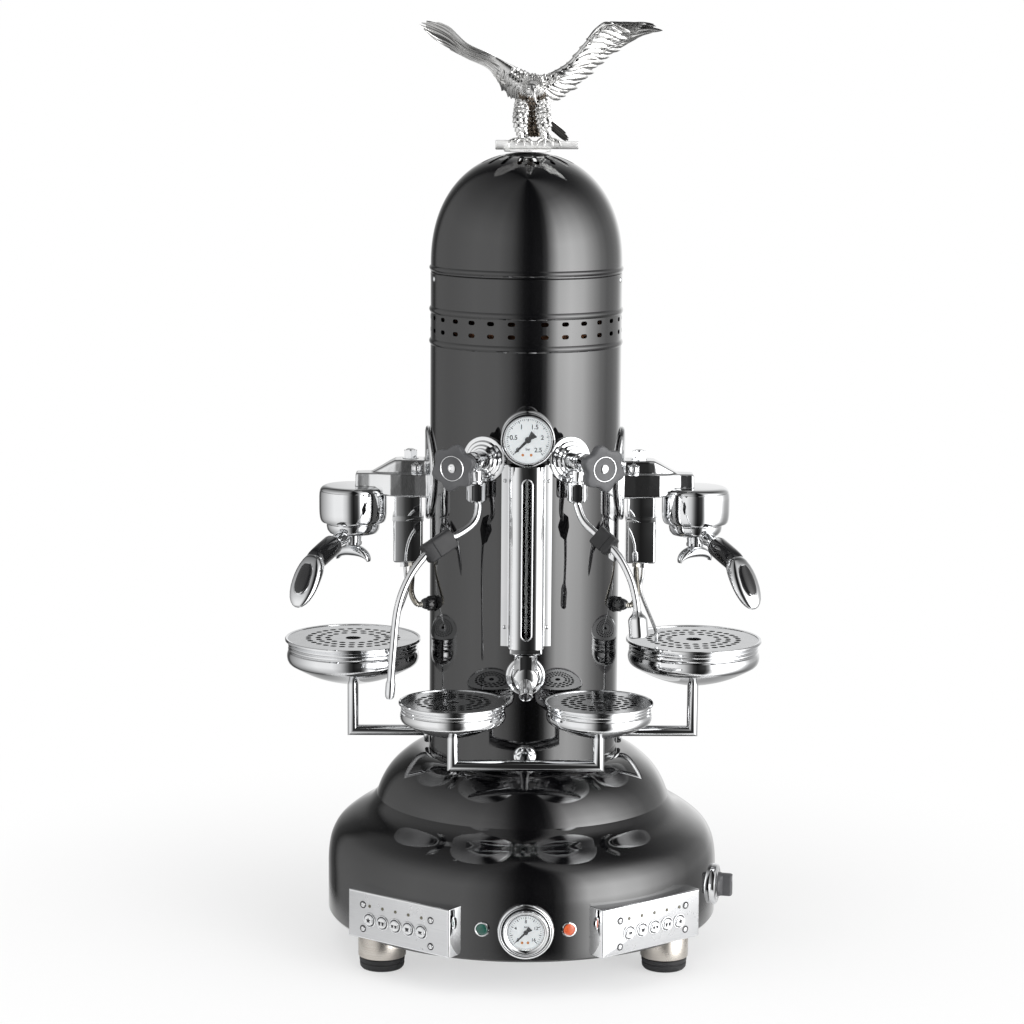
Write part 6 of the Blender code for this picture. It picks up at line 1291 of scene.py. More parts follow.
def handle_frames(stations):
    """Frames along the drooping handle: (middle, across, up, half width, half depth).

    Each station: share of the handle's length, then of its half width and its half depth.
    """
    slope = HOLDER_NECK
    place = Vector((0, 0, HOLDER_LEVEL))
    place += Vector((0, -math.cos(slope), -math.sin(slope))) * (0.050 + SEAT)
    frames = []
    fine = 200
    wanted = list(stations)
    for step in range(fine + 1):
        share = step / fine
        degrees = 19
        for first, second in zip(HANDLE_BEND, HANDLE_BEND[1:]):
            if first[0] <= share <= second[0]:
                part = (share - first[0]) / (second[0] - first[0])
                degrees = first[1] + (second[1] - first[1]) * part
        slope = math.radians(degrees)
        forward = Vector((0, -math.cos(slope), -math.sin(slope)))
        if step:
            place = place + forward * HANDLE_LENGTH / fine
        while wanted and wanted[0][0] <= share + 1e-9:
            _, wide, deep = wanted.pop(0)
            across = Vector((1, 0, 0))
            frames.append((place.copy(), across, forward.cross(across), wide * HANDLE_HALF_WIDTH,
                           deep * HANDLE_HALF_DEPTH))
    return frames


HANDLE_BEND = ((0.0, 19), (0.32, 19), (0.40, 30), (0.50, 46), (0.62, 52), (0.76, 54), (0.88, 55), (1.0, 56))


def oval_loft(frames, fullness=2.0, sides=40):
    """Skin superellipse sections along frames."""
    rings = []
    for middle, across, up, wide, deep in frames:
        ring = []
        for angle in circle_angles(sides):
            cosine, sine = math.cos(angle), math.sin(angle)
            ring.append(middle + across * math.copysign(abs(cosine) ** (2 / fullness), cosine) * wide
                        + up * math.copysign(abs(sine) ** (2 / fullness), sine) * deep)
        rings.append(ring)
    return loft(rings)


def filter_holder(side):
    """The chrome head with its basket, boss, crescent double spout and neck."""
    to_group = Matrix.Translation((side * GROUP_REACH, 0, 0)) @ Matrix.Rotation(side * HOLDER_TURN, 4, "Z")
    outer = [(0.0345, 0.5855)] + list(HOLDER_COLLAR) + list(HOLDER_BODY[1:])
    head = lathe(outer + [(0, 0.5590), (0.0285, 0.5600), (0.0293, 0.5640), (0.0298, 0.5852),
                          (0.0302, 0.5858)], 88)
    rings = []
    for step in range(-20, 21):
        share = step / 20
        angle = share * QUARTER
        middle = Vector((0.0235 * math.sin(angle), 0, 0.5062 + 0.0135 * math.cos(angle)))
        forward = Vector((0.0235 * math.cos(angle), 0, -0.0135 * math.sin(angle))).normalized()
        across = Vector((0, 1, 0))
        up = forward.cross(across)
        deep = 0.0078 * (1 - 0.84 * abs(share) ** 1.7)
        wide = 0.0092 * (1 - 0.55 * abs(share) ** 1.7)
        rings.append([middle + up * math.cos(turn) * deep + across * math.sin(turn) * wide
                      for turn in circle_angles(24)])
    spout = loft(rings)
    ring = moved(hex_nut(0.0112, 0.5262, 0.5318))
    way = Vector((0, -math.cos(HOLDER_NECK), -math.sin(HOLDER_NECK)))
    neck_place = aimed(Vector((0, 0, HOLDER_LEVEL)), way, Vector((1, 0, 0)))
    neck = placed(lathe([(0, 0.026), (0.0105, 0.026), (0.0098, 0.0350), (0.0085, 0.0385), (0.0085, 0.0455),
                         (0.0100, 0.0462), (0.0108, 0.0478), (0.0108, 0.0500), (0, 0.0500)], 40), neck_place)
    body = placed(joined(head, spout, ring, neck), to_group)
    piece("holder_head_" + word(side), body, CHROME, body="filter_holder_" + word(side),
          stands_for=("filter_holder_" + word(side),), slot="chrome")
    basket = lathe([(0.0292, 0.5853), (0.0292, 0.5645), (0.0280, 0.5612), (0, 0.5606), (0, 0.5601),
                    (0.0288, 0.5604), (0.0297, 0.5640), (0.0297, 0.5853)], 64)
    piece("filter_basket_" + word(side), placed(basket, to_group), SATIN, body="filter_holder_" + word(side),
          slot="chrome")


def handle(side):
    """The gloss black sleeve, the drooping chrome paddle and its long inset badge."""
    to_group = Matrix.Translation((side * GROUP_REACH, 0, 0)) @ Matrix.Rotation(side * HOLDER_TURN, 4, "Z")
    body = "filter_holder_" + word(side)
    sleeve = oval_loft(handle_frames(SLEEVE_STATIONS), 2.1)
    piece("handle_sleeve_" + word(side), placed(sleeve, to_group), GLOSS, body=body,
          stands_for=("handle_" + word(side),), slot="black_gloss")
    paddle = oval_loft(handle_frames(PADDLE_STATIONS), 2.3, 48)
    spine = []
    for middle, across, up, wide, deep in handle_frames(((0.16, 0.10, 0.30), (0.20, 0.22, 0.5),
                                                         (0.28, 0.34, 0.6), (0.36, 0.48, 0.7),
                                                         (0.42, 0.60, 0.7), (0.48, 0.62, 0.6))):
        spine.append((middle - up * HANDLE_HALF_DEPTH * 0.46, across, up, wide, deep * 0.95))
    tongue = oval_loft(spine, 2.0, 32)
    piece("handle_paddle_" + word(side), placed(joined(paddle, tongue), to_group), CHROME, body=body,
          slot="chrome", soften=50)
    badge_frames = handle_frames(((0.52, 0.22, 1), (0.545, 0.36, 1), (0.58, 0.46, 1), (0.63, 0.53, 1),
                                  (0.69, 0.55, 1), (0.75, 0.52, 1), (0.80, 0.44, 1), (0.84, 0.33, 1),
                                  (0.865, 0.18, 1)))
    for label, grow, lift, material, slot in (("rim", 1.16, 0.0010, CHROME, "chrome"),
                                              ("inset", 1.0, 0.0014, GLOSS, "black_gloss")):
        rings = []
        for index, (middle, across, up, wide, _) in enumerate(badge_frames):
            share = index / (len(badge_frames) - 1)
            skin = paddle_depth(0.52 + 0.345 * share)
            top = middle + up * (skin + lift)
            stretch = (middle - badge_frames[4][0]) * (grow - 1) * 0.35
            wide *= grow
            ring = []
            for angle in circle_angles(24):
                ring.append(top + stretch + across * math.cos(angle) * wide
                            + up * (math.sin(angle) * 0.0011 - (math.cos(angle) * wide) ** 2 * 22))
            rings.append(ring)
        piece("handle_badge_%s_%s" % (label, word(side)), placed(loft(rings), to_group), material, body=body,
              slot=slot, soften=50)


def paddle_depth(share):
    """The paddle's half depth at a share of the handle's length."""
    for first, second in zip(PADDLE_STATIONS, PADDLE_STATIONS[1:]):
        if first[0] <= share <= second[0]:
            part = (share - first[0]) / (second[0] - first[0])
            return (first[2] + (second[2] - first[2]) * part) * HANDLE_HALF_DEPTH
    return PADDLE_STATIONS[-1][2] * HANDLE_HALF_DEPTH


# Steam and water valves, their knobs and wands

VALVE_AZIMUTH = math.radians(25.4)
VALVE_HEIGHT = 0.6555
VALVE_LENGTH = 0.097
KNOB_RADIUS = 0.0295
KNOB_THICKNESS = 0.014
KNOB_LOBES = 6
KNOB_TURN = math.radians(100)
SWIVEL_DISTANCE = 0.1465
WAND_RADIUS = 0.0047
VALVE_NAMES = {LEFT: "steam", RIGHT: "water"}
WAND_SHAPES = {
    LEFT: ((0.106, 0.066, 0.2215), (0, -.02, .03, .22, .42, .62, .80, .92, .97, 1),
           (0, .04, .14, .28, .42, .56, .70, .82, .93, 1), (0, .04, .12, .185, .22, .30, .42, .58, .80, 1)),
    RIGHT: ((0.074, 0.058, 0.134), (0, .02, .12, .36, .56, .74, .90, .98, 1),
            (0, .06, .20, .38, .52, .66, .82, .94, 1), (0, .07, .19, .31, .40, .52, .70, .88, 1)),
}


def valve(side):
    """Stepped rosette, body, packing nut, stem and the neck down to the swivel."""
    frame_ = radial_frame(VALVE_AZIMUTH, COLUMN_RADIUS, VALVE_HEIGHT)
    rosette = lathe([(0, -0.0006), (0.0290, -0.0006), (0.0290, 0.0020), (0.0285, 0.0031), (0.0272, 0.0036),
                     (0.0240, 0.0040), (0.0234, 0.0046), (0.0230, 0.0062), (0.0222, 0.0070), (0.0192, 0.0074),
                     (0.0186, 0.0080), (0.0182, 0.0096), (0.0174, 0.0104), (0.0150, 0.0107), (0.0144, 0.0112),
                     (0.0138, 0.0142), (0, 0.0142)], 72)
    body = lathe([(0, 0.012), (0.0128, 0.012), (0.0120, 0.0165), (0.0115, 0.0195), (0.0115, 0.0400),
                  (0.0122, 0.0420), (0.0122, 0.0442), (0, 0.0442)], 56)
    nut = hex_nut(0.0135, 0.0440, 0.0570)
    gland = lathe([(0, 0.0565), (0.0095, 0.0565), (0.0092, 0.0590), (0.0060, 0.0604), (0.0050, 0.0612),
                   (0.0050, 0.0700), (0, 0.0700)], 36)
    turned = placed(joined(rosette, body, nut, gland), frame_)
    neck = moved(lathe([(0, 0.6278), (0.0078, 0.6278), (0.0078, 0.6300), (0.0065, 0.6312), (0.0065, 0.6500),
                        (0, 0.6500)], 36), *spoke_point(VALVE_AZIMUTH, SWIVEL_DISTANCE, 0))
    shoulder = placed(lathe([(0, -0.0135), (0.0118, -0.0135), (0.0130, -0.0110), (0.0130, 0.0105),
                             (0.0118, 0.0130), (0, 0.0130)], 48),
                      radial_frame(VALVE_AZIMUTH, SWIVEL_DISTANCE, VALVE_HEIGHT))
    name = VALVE_NAMES[side]
    piece(name + "_valve_body", on_side(joined(turned, neck, shoulder), side), CHROME,
          stands_for=(name + "_valve",), slot="chrome", soften=24)


def knob_ring(radius, height, depth_share, points=120):
    """One ring of the lobed knob, a lobe a little beside its top."""
    depth = radius * depth_share
    ring = []
    for angle in circle_angles(points):
        reach = radius - depth + depth * math.cos((angle - KNOB_TURN) * KNOB_LOBES)
        ring.append((reach * math.cos(angle), reach * math.sin(angle), height))
    return ring


def knob(side):
    """The lobed black knob with its bare cap, ring and domed nut."""
    name = VALVE_NAMES[side]
    body = name + "_knob"
    frame_ = radial_frame(VALVE_AZIMUTH, COLUMN_RADIUS, VALVE_HEIGHT)
    top = VALVE_LENGTH
    low = top - KNOB_THICKNESS
    rings = [knob_ring(KNOB_RADIUS * r, low + KNOB_THICKNESS * h, 0.092 * d)
             for r, h, d in ((0.55, 0.00, 0.1), (0.88, 0.0, 0.9), (0.95, 0.04, 1), (0.99, 0.14, 1),
                             (1.0, 0.30, 1), (1.0, 0.72, 1), (0.99, 0.84, 1), (0.96, 0.92, 1),
                             (0.92, 0.95, 0.95), (0.70, 0.955, 0.5), (0.58, 0.93, 0.1))]
    hub = lathe([(0, low - 0.0150), (0.0112, low - 0.0150), (0.0122, low - 0.0140), (0.0125, low - 0.0050),
                 (0.0150, low), (0.0170, low + 0.002), (0, low + 0.002)], 48)
    piece(body + "_grip", on_side(placed(joined(loft(rings), hub), frame_), side), MOULDED, body=body,
          stands_for=(body,), slot="black_plastic", soften=50)
    cap = lathe([(0, top - 0.0022), (0.0146, top - 0.0022), (0.0146, top - 0.0012), (0.0138, top - 0.0010),
                 (0, top - 0.0010)], 64)
    piece(body + "_cap", on_side(placed(cap, frame_), side), MOULDED, body=body, slot="black_plastic")
    ring = lathe([(0.0145, top - 0.0024), (0.0158, top - 0.0024), (0.0158, top - 0.0005), (0.0154, top),
                  (0.0149, top), (0.0145, top - 0.0006)], 72)
    nut = lathe([(0, top - 0.0020), (0.0056, top - 0.0020), (0.0056, top - 0.0008), (0.0048, top - 0.0002),
                 (0.0030, top), (0.0026, top - 0.0004), (0, top - 0.0004)], 32)
    washer = disc(0.0118, low - 0.0172, low - 0.0148, 40)
    piece(body + "_trim", on_side(placed(joined(ring, nut, washer), frame_), side), CHROME, body=body,
          slot="chrome")


def wand_points(side):
    """The wand's route on the right side; the left one is mirrored."""
    sizes, across, front, down = WAND_SHAPES[side]
    top = spoke_point(VALVE_AZIMUTH, SWIVEL_DISTANCE, 0.6065)
    points = [top + Vector((sizes[0] * x, -sizes[1] * y, -sizes[2] * z))
              for x, y, z in zip(across, front, down)]
    return points


def wand(side):
    """The bent pipe with its swivel nut and its end."""
    name = VALVE_NAMES[side] + "_wand"
    route = spline(wand_points(side), 72)
    pipe = tube(route, WAND_RADIUS, 24)
    centre = spoke_point(VALVE_AZIMUTH, SWIVEL_DISTANCE, 0)
    nut = moved(placed(hex_nut(0.0125, 0.6060, 0.6272), Matrix.Rotation(math.pi / 6, 4, "Z")), centre.x,
                centre.y)
    seat = moved(lathe([(0, 0.6030), (0.0068, 0.6030), (0.0100, 0.6046), (0.0108, 0.6062), (0, 0.6062)], 40),
                 centre.x, centre.y)
    way = (route[-1] - route[-2]).normalized()
    end_frame = aimed(route[-1] - way * WAND_RADIUS, way, Vector((1, 0, 0)))
    if side == RIGHT:
        end = lathe([(0, 0), (0.0054, 0), (0.0062, 0.0030), (0.0098, 0.0068), (0.0118, 0.0100),
                     (0.0120, 0.0120), (0.0120, 0.0300), (0.0114, 0.0330), (0.0100, 0.0340),
                     (0.0088, 0.0336), (0.0084, 0.0300), (0, 0.0296)], 48)
    else:
        end = lathe([(0, 0), (0.0050, 0), (0.0054, 0.0020), (0.0060, 0.0036), (0.0060, 0.0160),
                     (0.0054, 0.0205), (0.0036, 0.0232), (0, 0.0240)], 40)
    body = on_side(joined(pipe, nut, seat, placed(end, end_frame)), side)
    piece(name + "_pipe", body, CHROME, body=name, stands_for=(name,), slot="chrome")


def grip(side):
    """The square rubber block by which a wand is held."""
    name = VALVE_NAMES[side] + "_wand"
    route = spline(wand_points(side), 13)
    first, last = (4, 6) if side == RIGHT else (3, 5)
    start, end = route[first], route[last]
    way = (end - start).normalized()
    wide_way = way.cross(Vector((0, 1, 0))).normalized()
    deep_way = wide_way.cross(way)
    place = Matrix((wide_way, deep_way, way)).transposed().to_4x4()
    place.translation = (start + end) / 2
    half = (end - start).length / 2
    sections = []
    for share, wide, deep in ((-1.0, 0.86, 0.84), (-0.95, 0.96, 0.95), (-0.85, 1.0, 1.0), (0.30, 1.0, 1.0),
                              (0.34, 0.96, 0.94), (0.38, 1.0, 1.0), (0.88, 1.0, 1.0), (0.96, 0.95, 0.93),
                              (1.0, 0.84, 0.82)):
        ring = []
        for angle in circle_angles(40):
            cosine, sine = math.cos(angle), math.sin(angle)
            ring.append((0.0125 * wide * math.copysign(abs(cosine) ** 0.28, cosine),
                         0.0105 * deep * math.copysign(abs(sine) ** 0.28, sine), half * share))
        sections.append(ring)
    piece(name + "_grip_block", on_side(placed(loft(sections), place), side), RUBBER, body=name,
          stands_for=(name + "_grip",), slot="rubber_grip", soften=30)


# Gauges, sight glass and drain cock

# Degrees clockwise from straight up at the ends of both dials
DIAL_SWEEP = (-135, 135)


def gauge_numbers(place, radius, labels, first, last, size):
    """Numbers round a dial; angles are clockwise from straight up."""
    parts = []
    for index, label in enumerate(labels):
        angle = math.radians(first + (last - first) * index / max(len(labels) - 1, 1))
        curve = bpy.data.curves.new("number", "FONT")
        curve.body = label
        curve.size = size
        curve.align_x = "CENTER"
        curve.align_y = "CENTER"
        curve.extrude = 0.00008
        curve.offset = size * 0.018
        holder = bpy.data.objects.new("number", curve)
        bpy.context.scene.collection.objects.link(holder)
        graph = bpy.context.evaluated_depsgraph_get()
        mesh = bpy.data.meshes.new_from_object(holder.evaluated_get(graph))
        bpy.data.objects.remove(holder, do_unlink=True)
        bpy.data.curves.remove(curve)
        parts.append(placed(to_body(mesh), place
                            @ Matrix.Translation((radius * math.sin(angle), radius * math.cos(angle), 0))))
    return joined(*parts)


def dial_ticks(place, radius, count, first, last, every, lift):
    """Long and short ticks round a dial."""
    frames = []
    sizes = []
    for index in range(count):
        angle = math.radians(first + (last - first) * index / (count - 1))
        length = 1.0 if index % every == 0 else 0.6
        spot = Matrix.Rotation(-angle, 4, "Z") @ Matrix.Translation((0, radius, lift))
        frames.append(place @ spot)
        sizes.append((1.8 if index % every == 0 else 1.0, length, 1))
    return fastened(box((-0.00026, -0.0032, -0.00006), (0.00026, 0.0, 0.00006)), frames, INK, sizes)


def dial_dots(name, face, radius, lift):
    """Two printed orange dots low on a dial."""
    dots = [moved(disc(0.0017, lift - 0.0001, lift, 24), across * radius, -0.66 * radius)
            for across in (-0.22, 0.14)]
    piece(name, placed(joined(*dots), face), ORANGE_INK, slot="black_plastic")


GAUGE_FRONT = 0.168
GAUGE_HEIGHT = 0.6865


def boiler_gauge():
    """The pressure gauge on the column's front: case, double bezel, dial and glass."""
    face = radial_frame(0, GAUGE_FRONT, GAUGE_HEIGHT)
    back = -(GAUGE_FRONT - COLUMN_RADIUS) + 0.0009
    case = lathe([(0, back), (0.0330, back), (0.0330, back + 0.0033), (0.0316, back + 0.0053),
                  (0.0305, back + 0.0063), (0.0305, -0.0120), (0.0320, -0.0108), (0.0333, -0.0092),
                  (0.0337, -0.0070), (0.0337, -0.0046), (0.0334, -0.0032), (0.0327, -0.0026),
                  (0.0321, -0.0032), (0.0319, -0.0058), (0.0309, -0.0058), (0.0308, -0.0020),
                  (0.0304, -0.0006), (0.0298, 0.0), (0.0291, -0.0008), (0.0286, -0.0026), (0.0285, -0.0074),
                  (0, -0.0074)], 112)
    gasket = lathe([(0.0306, -0.0062), (0.0322, -0.0062), (0.0320, -0.0048), (0.0308, -0.0048)], 96)
    gauge("boiler_gauge", face, case, gasket, dial=(0.0284, -0.0072, -0.0060, 80),
          numbers=(("0", "0.5", "1", "1.5", "2", "2.5"), 0.0180, 0.0080), unit=(-0.0115, 0.0044),
          print_level=-0.0059, ticks=(0.0266, 51, 5), dots=0.0285, ink_level=-0.0058,
          window=(0.0284, -0.0022, -0.0010, 80), pointer=(0.0285, 225, -0.0046))


def needle(body, face, radius, degrees, lift):
    """A black pointer with a wide tail and a hub; angle clockwise from straight up."""
    half = radius * 0.034
    outline = [(-half * 0.9, 0.80 * radius), (half * 0.9, 0.80 * radius), (half * 1.9, 0.05 * radius),
               (half * 2.2, -0.10 * radius), (half * 5.4, -0.38 * radius), (-half * 5.4, -0.38 * radius),
               (-half * 2.2, -0.10 * radius), (-half * 1.9, 0.05 * radius)]
    pointer = prism(outline, lift, lift + 0.0006)
    hub = lathe([(0, lift - 0.0008), (half * 4, lift - 0.0008), (half * 4, lift + 0.0009),
                 (half * 3.2, lift + 0.0013), (0, lift + 0.0013)], 40)
    whole = joined(placed(pointer, Matrix.Rotation(math.radians(-degrees), 4, "Z")), hub)
    piece(body + "_pointer", placed(whole, face), INK, body=body, stands_for=(body,), slot="black_plastic")


def gauge(name, face, case, gasket, dial, numbers, unit, print_level, ticks, dots, ink_level, window,
          pointer):
    """A round gauge on a face: its case, gasket, printed dial, glass and needle."""
    piece(name + "_bezel", placed(case, face), CHROME, stands_for=(name + "_case",), slot="chrome",
          soften=40)
    piece(name + "_gasket", placed(gasket, face), GLOSS, slot="black_plastic")
    piece(name + "_dial", placed(disc(*dial), face), CARD, slot="chrome")
    labels, reach, size = numbers
    scale = gauge_numbers(face @ Matrix.Translation((0, 0, print_level)), reach, labels, *DIAL_SWEEP, size)
    rise, small = unit
    unit_word = gauge_numbers(face @ Matrix.Translation((0, rise, print_level)), 0, ("bar",), 0, 0, small)
    piece(name + "_numbers", joined(scale, unit_word), INK, slot="black_plastic")
    radius, count, every = ticks
    piece(name + "_ticks", dial_ticks(face, radius, count, *DIAL_SWEEP, every, ink_level), INK,
          slot="black_plastic")
    dial_dots(name + "_dots", face, dots, ink_level)
    piece(name + "_window", placed(disc(*window), face), GLASS, stands_for=(name + "_glass",),
          slot="clear_glass")
    needle(name + "_needle", face, *pointer)


COVER_TOP = 0.650
# Where the glass tube stands in front of the axis
SIGHT_GLASS_FRONT = -0.1375


def sight_glass_cover():
    """The bright cover with flanges, a long rimmed slot and the glass tube behind it."""
    thick = 0.0020
    flange_half, flange_front, body_half, body_front = 0.0317, 0.1275, 0.0229, 0.1500
    outside = []
    for step in range(5):
        x = -flange_half + (flange_half - body_half - 0.0006) * step / 4
        outside.append((x, -math.sqrt(flange_front ** 2 - x ** 2)))
    arc = []
    for step in range(41):
        share = -1 + 2 * step / 40
        swing = math.sin(share * QUARTER * 0.98)
        x = math.copysign(body_half * abs(swing) ** 0.56, swing)
        bulge = math.cos(share * QUARTER * 0.98) ** 0.56
        arc.append((x, -(flange_front + 0.001) - (body_front - flange_front - 0.001) * bulge))
    outer = outside + arc + [(-x, y) for x, y in outside[::-1]]
    inner = ([(x, y + thick) for x, y in outside] + [(x * (1 - thick / body_half), y + thick) for x, y in arc]
             + [(-x, y + thick) for x, y in outside[::-1]])
    section = outer + inner[::-1]
    sheet = loft([[(x, y, height) for x, y in section]
                  for height in (0.4185, 0.4200, 0.50, 0.58, 0.6485, COVER_TOP)])
    middle, half_length = (0.634 + 0.431) / 2, (0.634 - 0.431) / 2
    slot = placed(prism(slot_outline(half_length, 0.0060, 10), -0.02, 0.02),
                  Matrix.Translation((0, -body_front, middle)) @ Matrix.Rotation(QUARTER, 4, "X")
                  @ Matrix.Rotation(QUARTER, 4, "Z"))
    source = pattern_object(slot)
    mesh = grown(to_mesh(sheet), [("perforation", {"Copy": source, "Count": 1, "Radius": 0.0, "Height": 0.0,
                                                   "First angle": 0.0, "Last angle": 0.0,
                                                   "Material": CHROME})])
    forget(source)
    piece("sight_glass_sheet", mesh, CHROME, stands_for=("sight_glass_cover",), slot="chrome", soften=30)
    loop = [Vector((across, -body_front + 0.0002, middle + up)) for up, across in
            slot_outline(half_length + 0.0004, 0.0066, 12)]
    rings = [[point + (side * math.cos(a) + up * math.sin(a)) * 0.0010 for a in circle_angles(12)]
             for point, side, up in route_frames(loop)]
    piece("sight_glass_rim", loft(rings, closed=True), CHROME, slot="chrome")
    lower = eased(box((-0.0205, -0.1465, 0.4110), (0.0205, -0.1275, 0.4190)), 0.0022, 3)
    piece("sight_glass_foot", lower, CHROME, slot="chrome")
    piece("sight_glass_back", box((-0.0195, -0.1300, 0.4200), (0.0195, -0.1290, 0.6480)), GLOSS,
          slot="black_enamel")
    pipe = moved(hoop(0.0046, 0.0062, 0.4112, 0.6540, 40), 0, SIGHT_GLASS_FRONT)
    piece("sight_glass_pipe", pipe, GLASS, stands_for=("sight_glass_tube",), slot="clear_glass")
    nuts = joined(moved(hex_nut(0.0098, 0.6395, 0.6490), 0, SIGHT_GLASS_FRONT),
                  moved(hex_nut(0.0098, 0.4195, 0.4290), 0, SIGHT_GLASS_FRONT))
    piece("sight_glass_nuts", nuts, CHROME, slot="chrome")
    frames = [radial_frame(math.asin(x / 0.1275), 0.1276, height) for x in (-0.0272, 0.0272)
              for height in (0.4430, 0.6300)]
    piece("sight_glass_screws", fastened(screw_body(0.0026, 0.0012), frames, CHROME, loose=1.4), CHROME,
          slot="chrome")


def drain_cock():
    """The cock under the cover: stepped flange, ball body, hex nut and a nozzle with a black disc in its
    mouth as painted shade.
    """
    face = radial_frame(0, COLUMN_RADIUS, 0.380)
    flange = placed(lathe([(0, -0.0004), (0.0250, -0.0004), (0.0250, 0.0026), (0.0244, 0.0038),
                           (0.0230, 0.0044), (0.0204, 0.0047), (0.0198, 0.0052), (0.0192, 0.0070),
                           (0.0182, 0.0078), (0, 0.0078)], 72), face)
    body = placed(lathe([(0, 0.004), (0.0150, 0.004), (0.0140, 0.0090), (0.0138, 0.0130), (0.0158, 0.0165),
                         (0.0165, 0.0200), (0.0162, 0.0235), (0.0145, 0.0268), (0.0110, 0.0284),
                         (0, 0.0290)], 56), face)
    nut = moved(placed(hex_nut(0.0145, 0.3835, 0.4107), Matrix.Rotation(math.pi / 6, 4, "Z")), 0,
                SIGHT_GLASS_FRONT)
    slope = math.radians(40)
    way = Vector((0, -math.cos(slope), -math.sin(slope)))
    place = aimed(Vector((0, -0.1440, 0.3760)), way, Vector((1, 0, 0)))
    nozzle = placed(lathe([(0, 0.0), (0.0095, 0.0), (0.0090, 0.0130), (0.0085, 0.0170), (0.0090, 0.0205),
                           (0.0090, 0.0236), (0.0078, 0.0240), (0.0072, 0.0232), (0.0070, 0.0120),
                           (0, 0.0118)], 48), place)
    piece("drain_cock_body", joined(flange, body, nut, nozzle), CHROME, stands_for=("drain_cock",),
          slot="chrome", soften=24)
    # A gloss black disc inside the nozzle's bore: painted shade for the dark of its open mouth
    mouth = placed(disc(0.0071, 0.0200, 0.0212, 40), place)
    piece("drain_cock_mouth", mouth, GLOSS, slot="black_plastic")


# Panels round the bell

KEYPAD_AZIMUTH = math.radians(36.5)
KEYPAD_DISTANCE = 0.2675
KEYPAD_HALF = 0.159 / 2
KEYPAD_LOW, KEYPAD_HIGH = 0.052, 0.114
BUTTON_PITCH = 0.0205
BUTTON_SHIFT = 0.004
BUTTON_HEIGHT = 0.0785
LED_HEIGHT = 0.0966


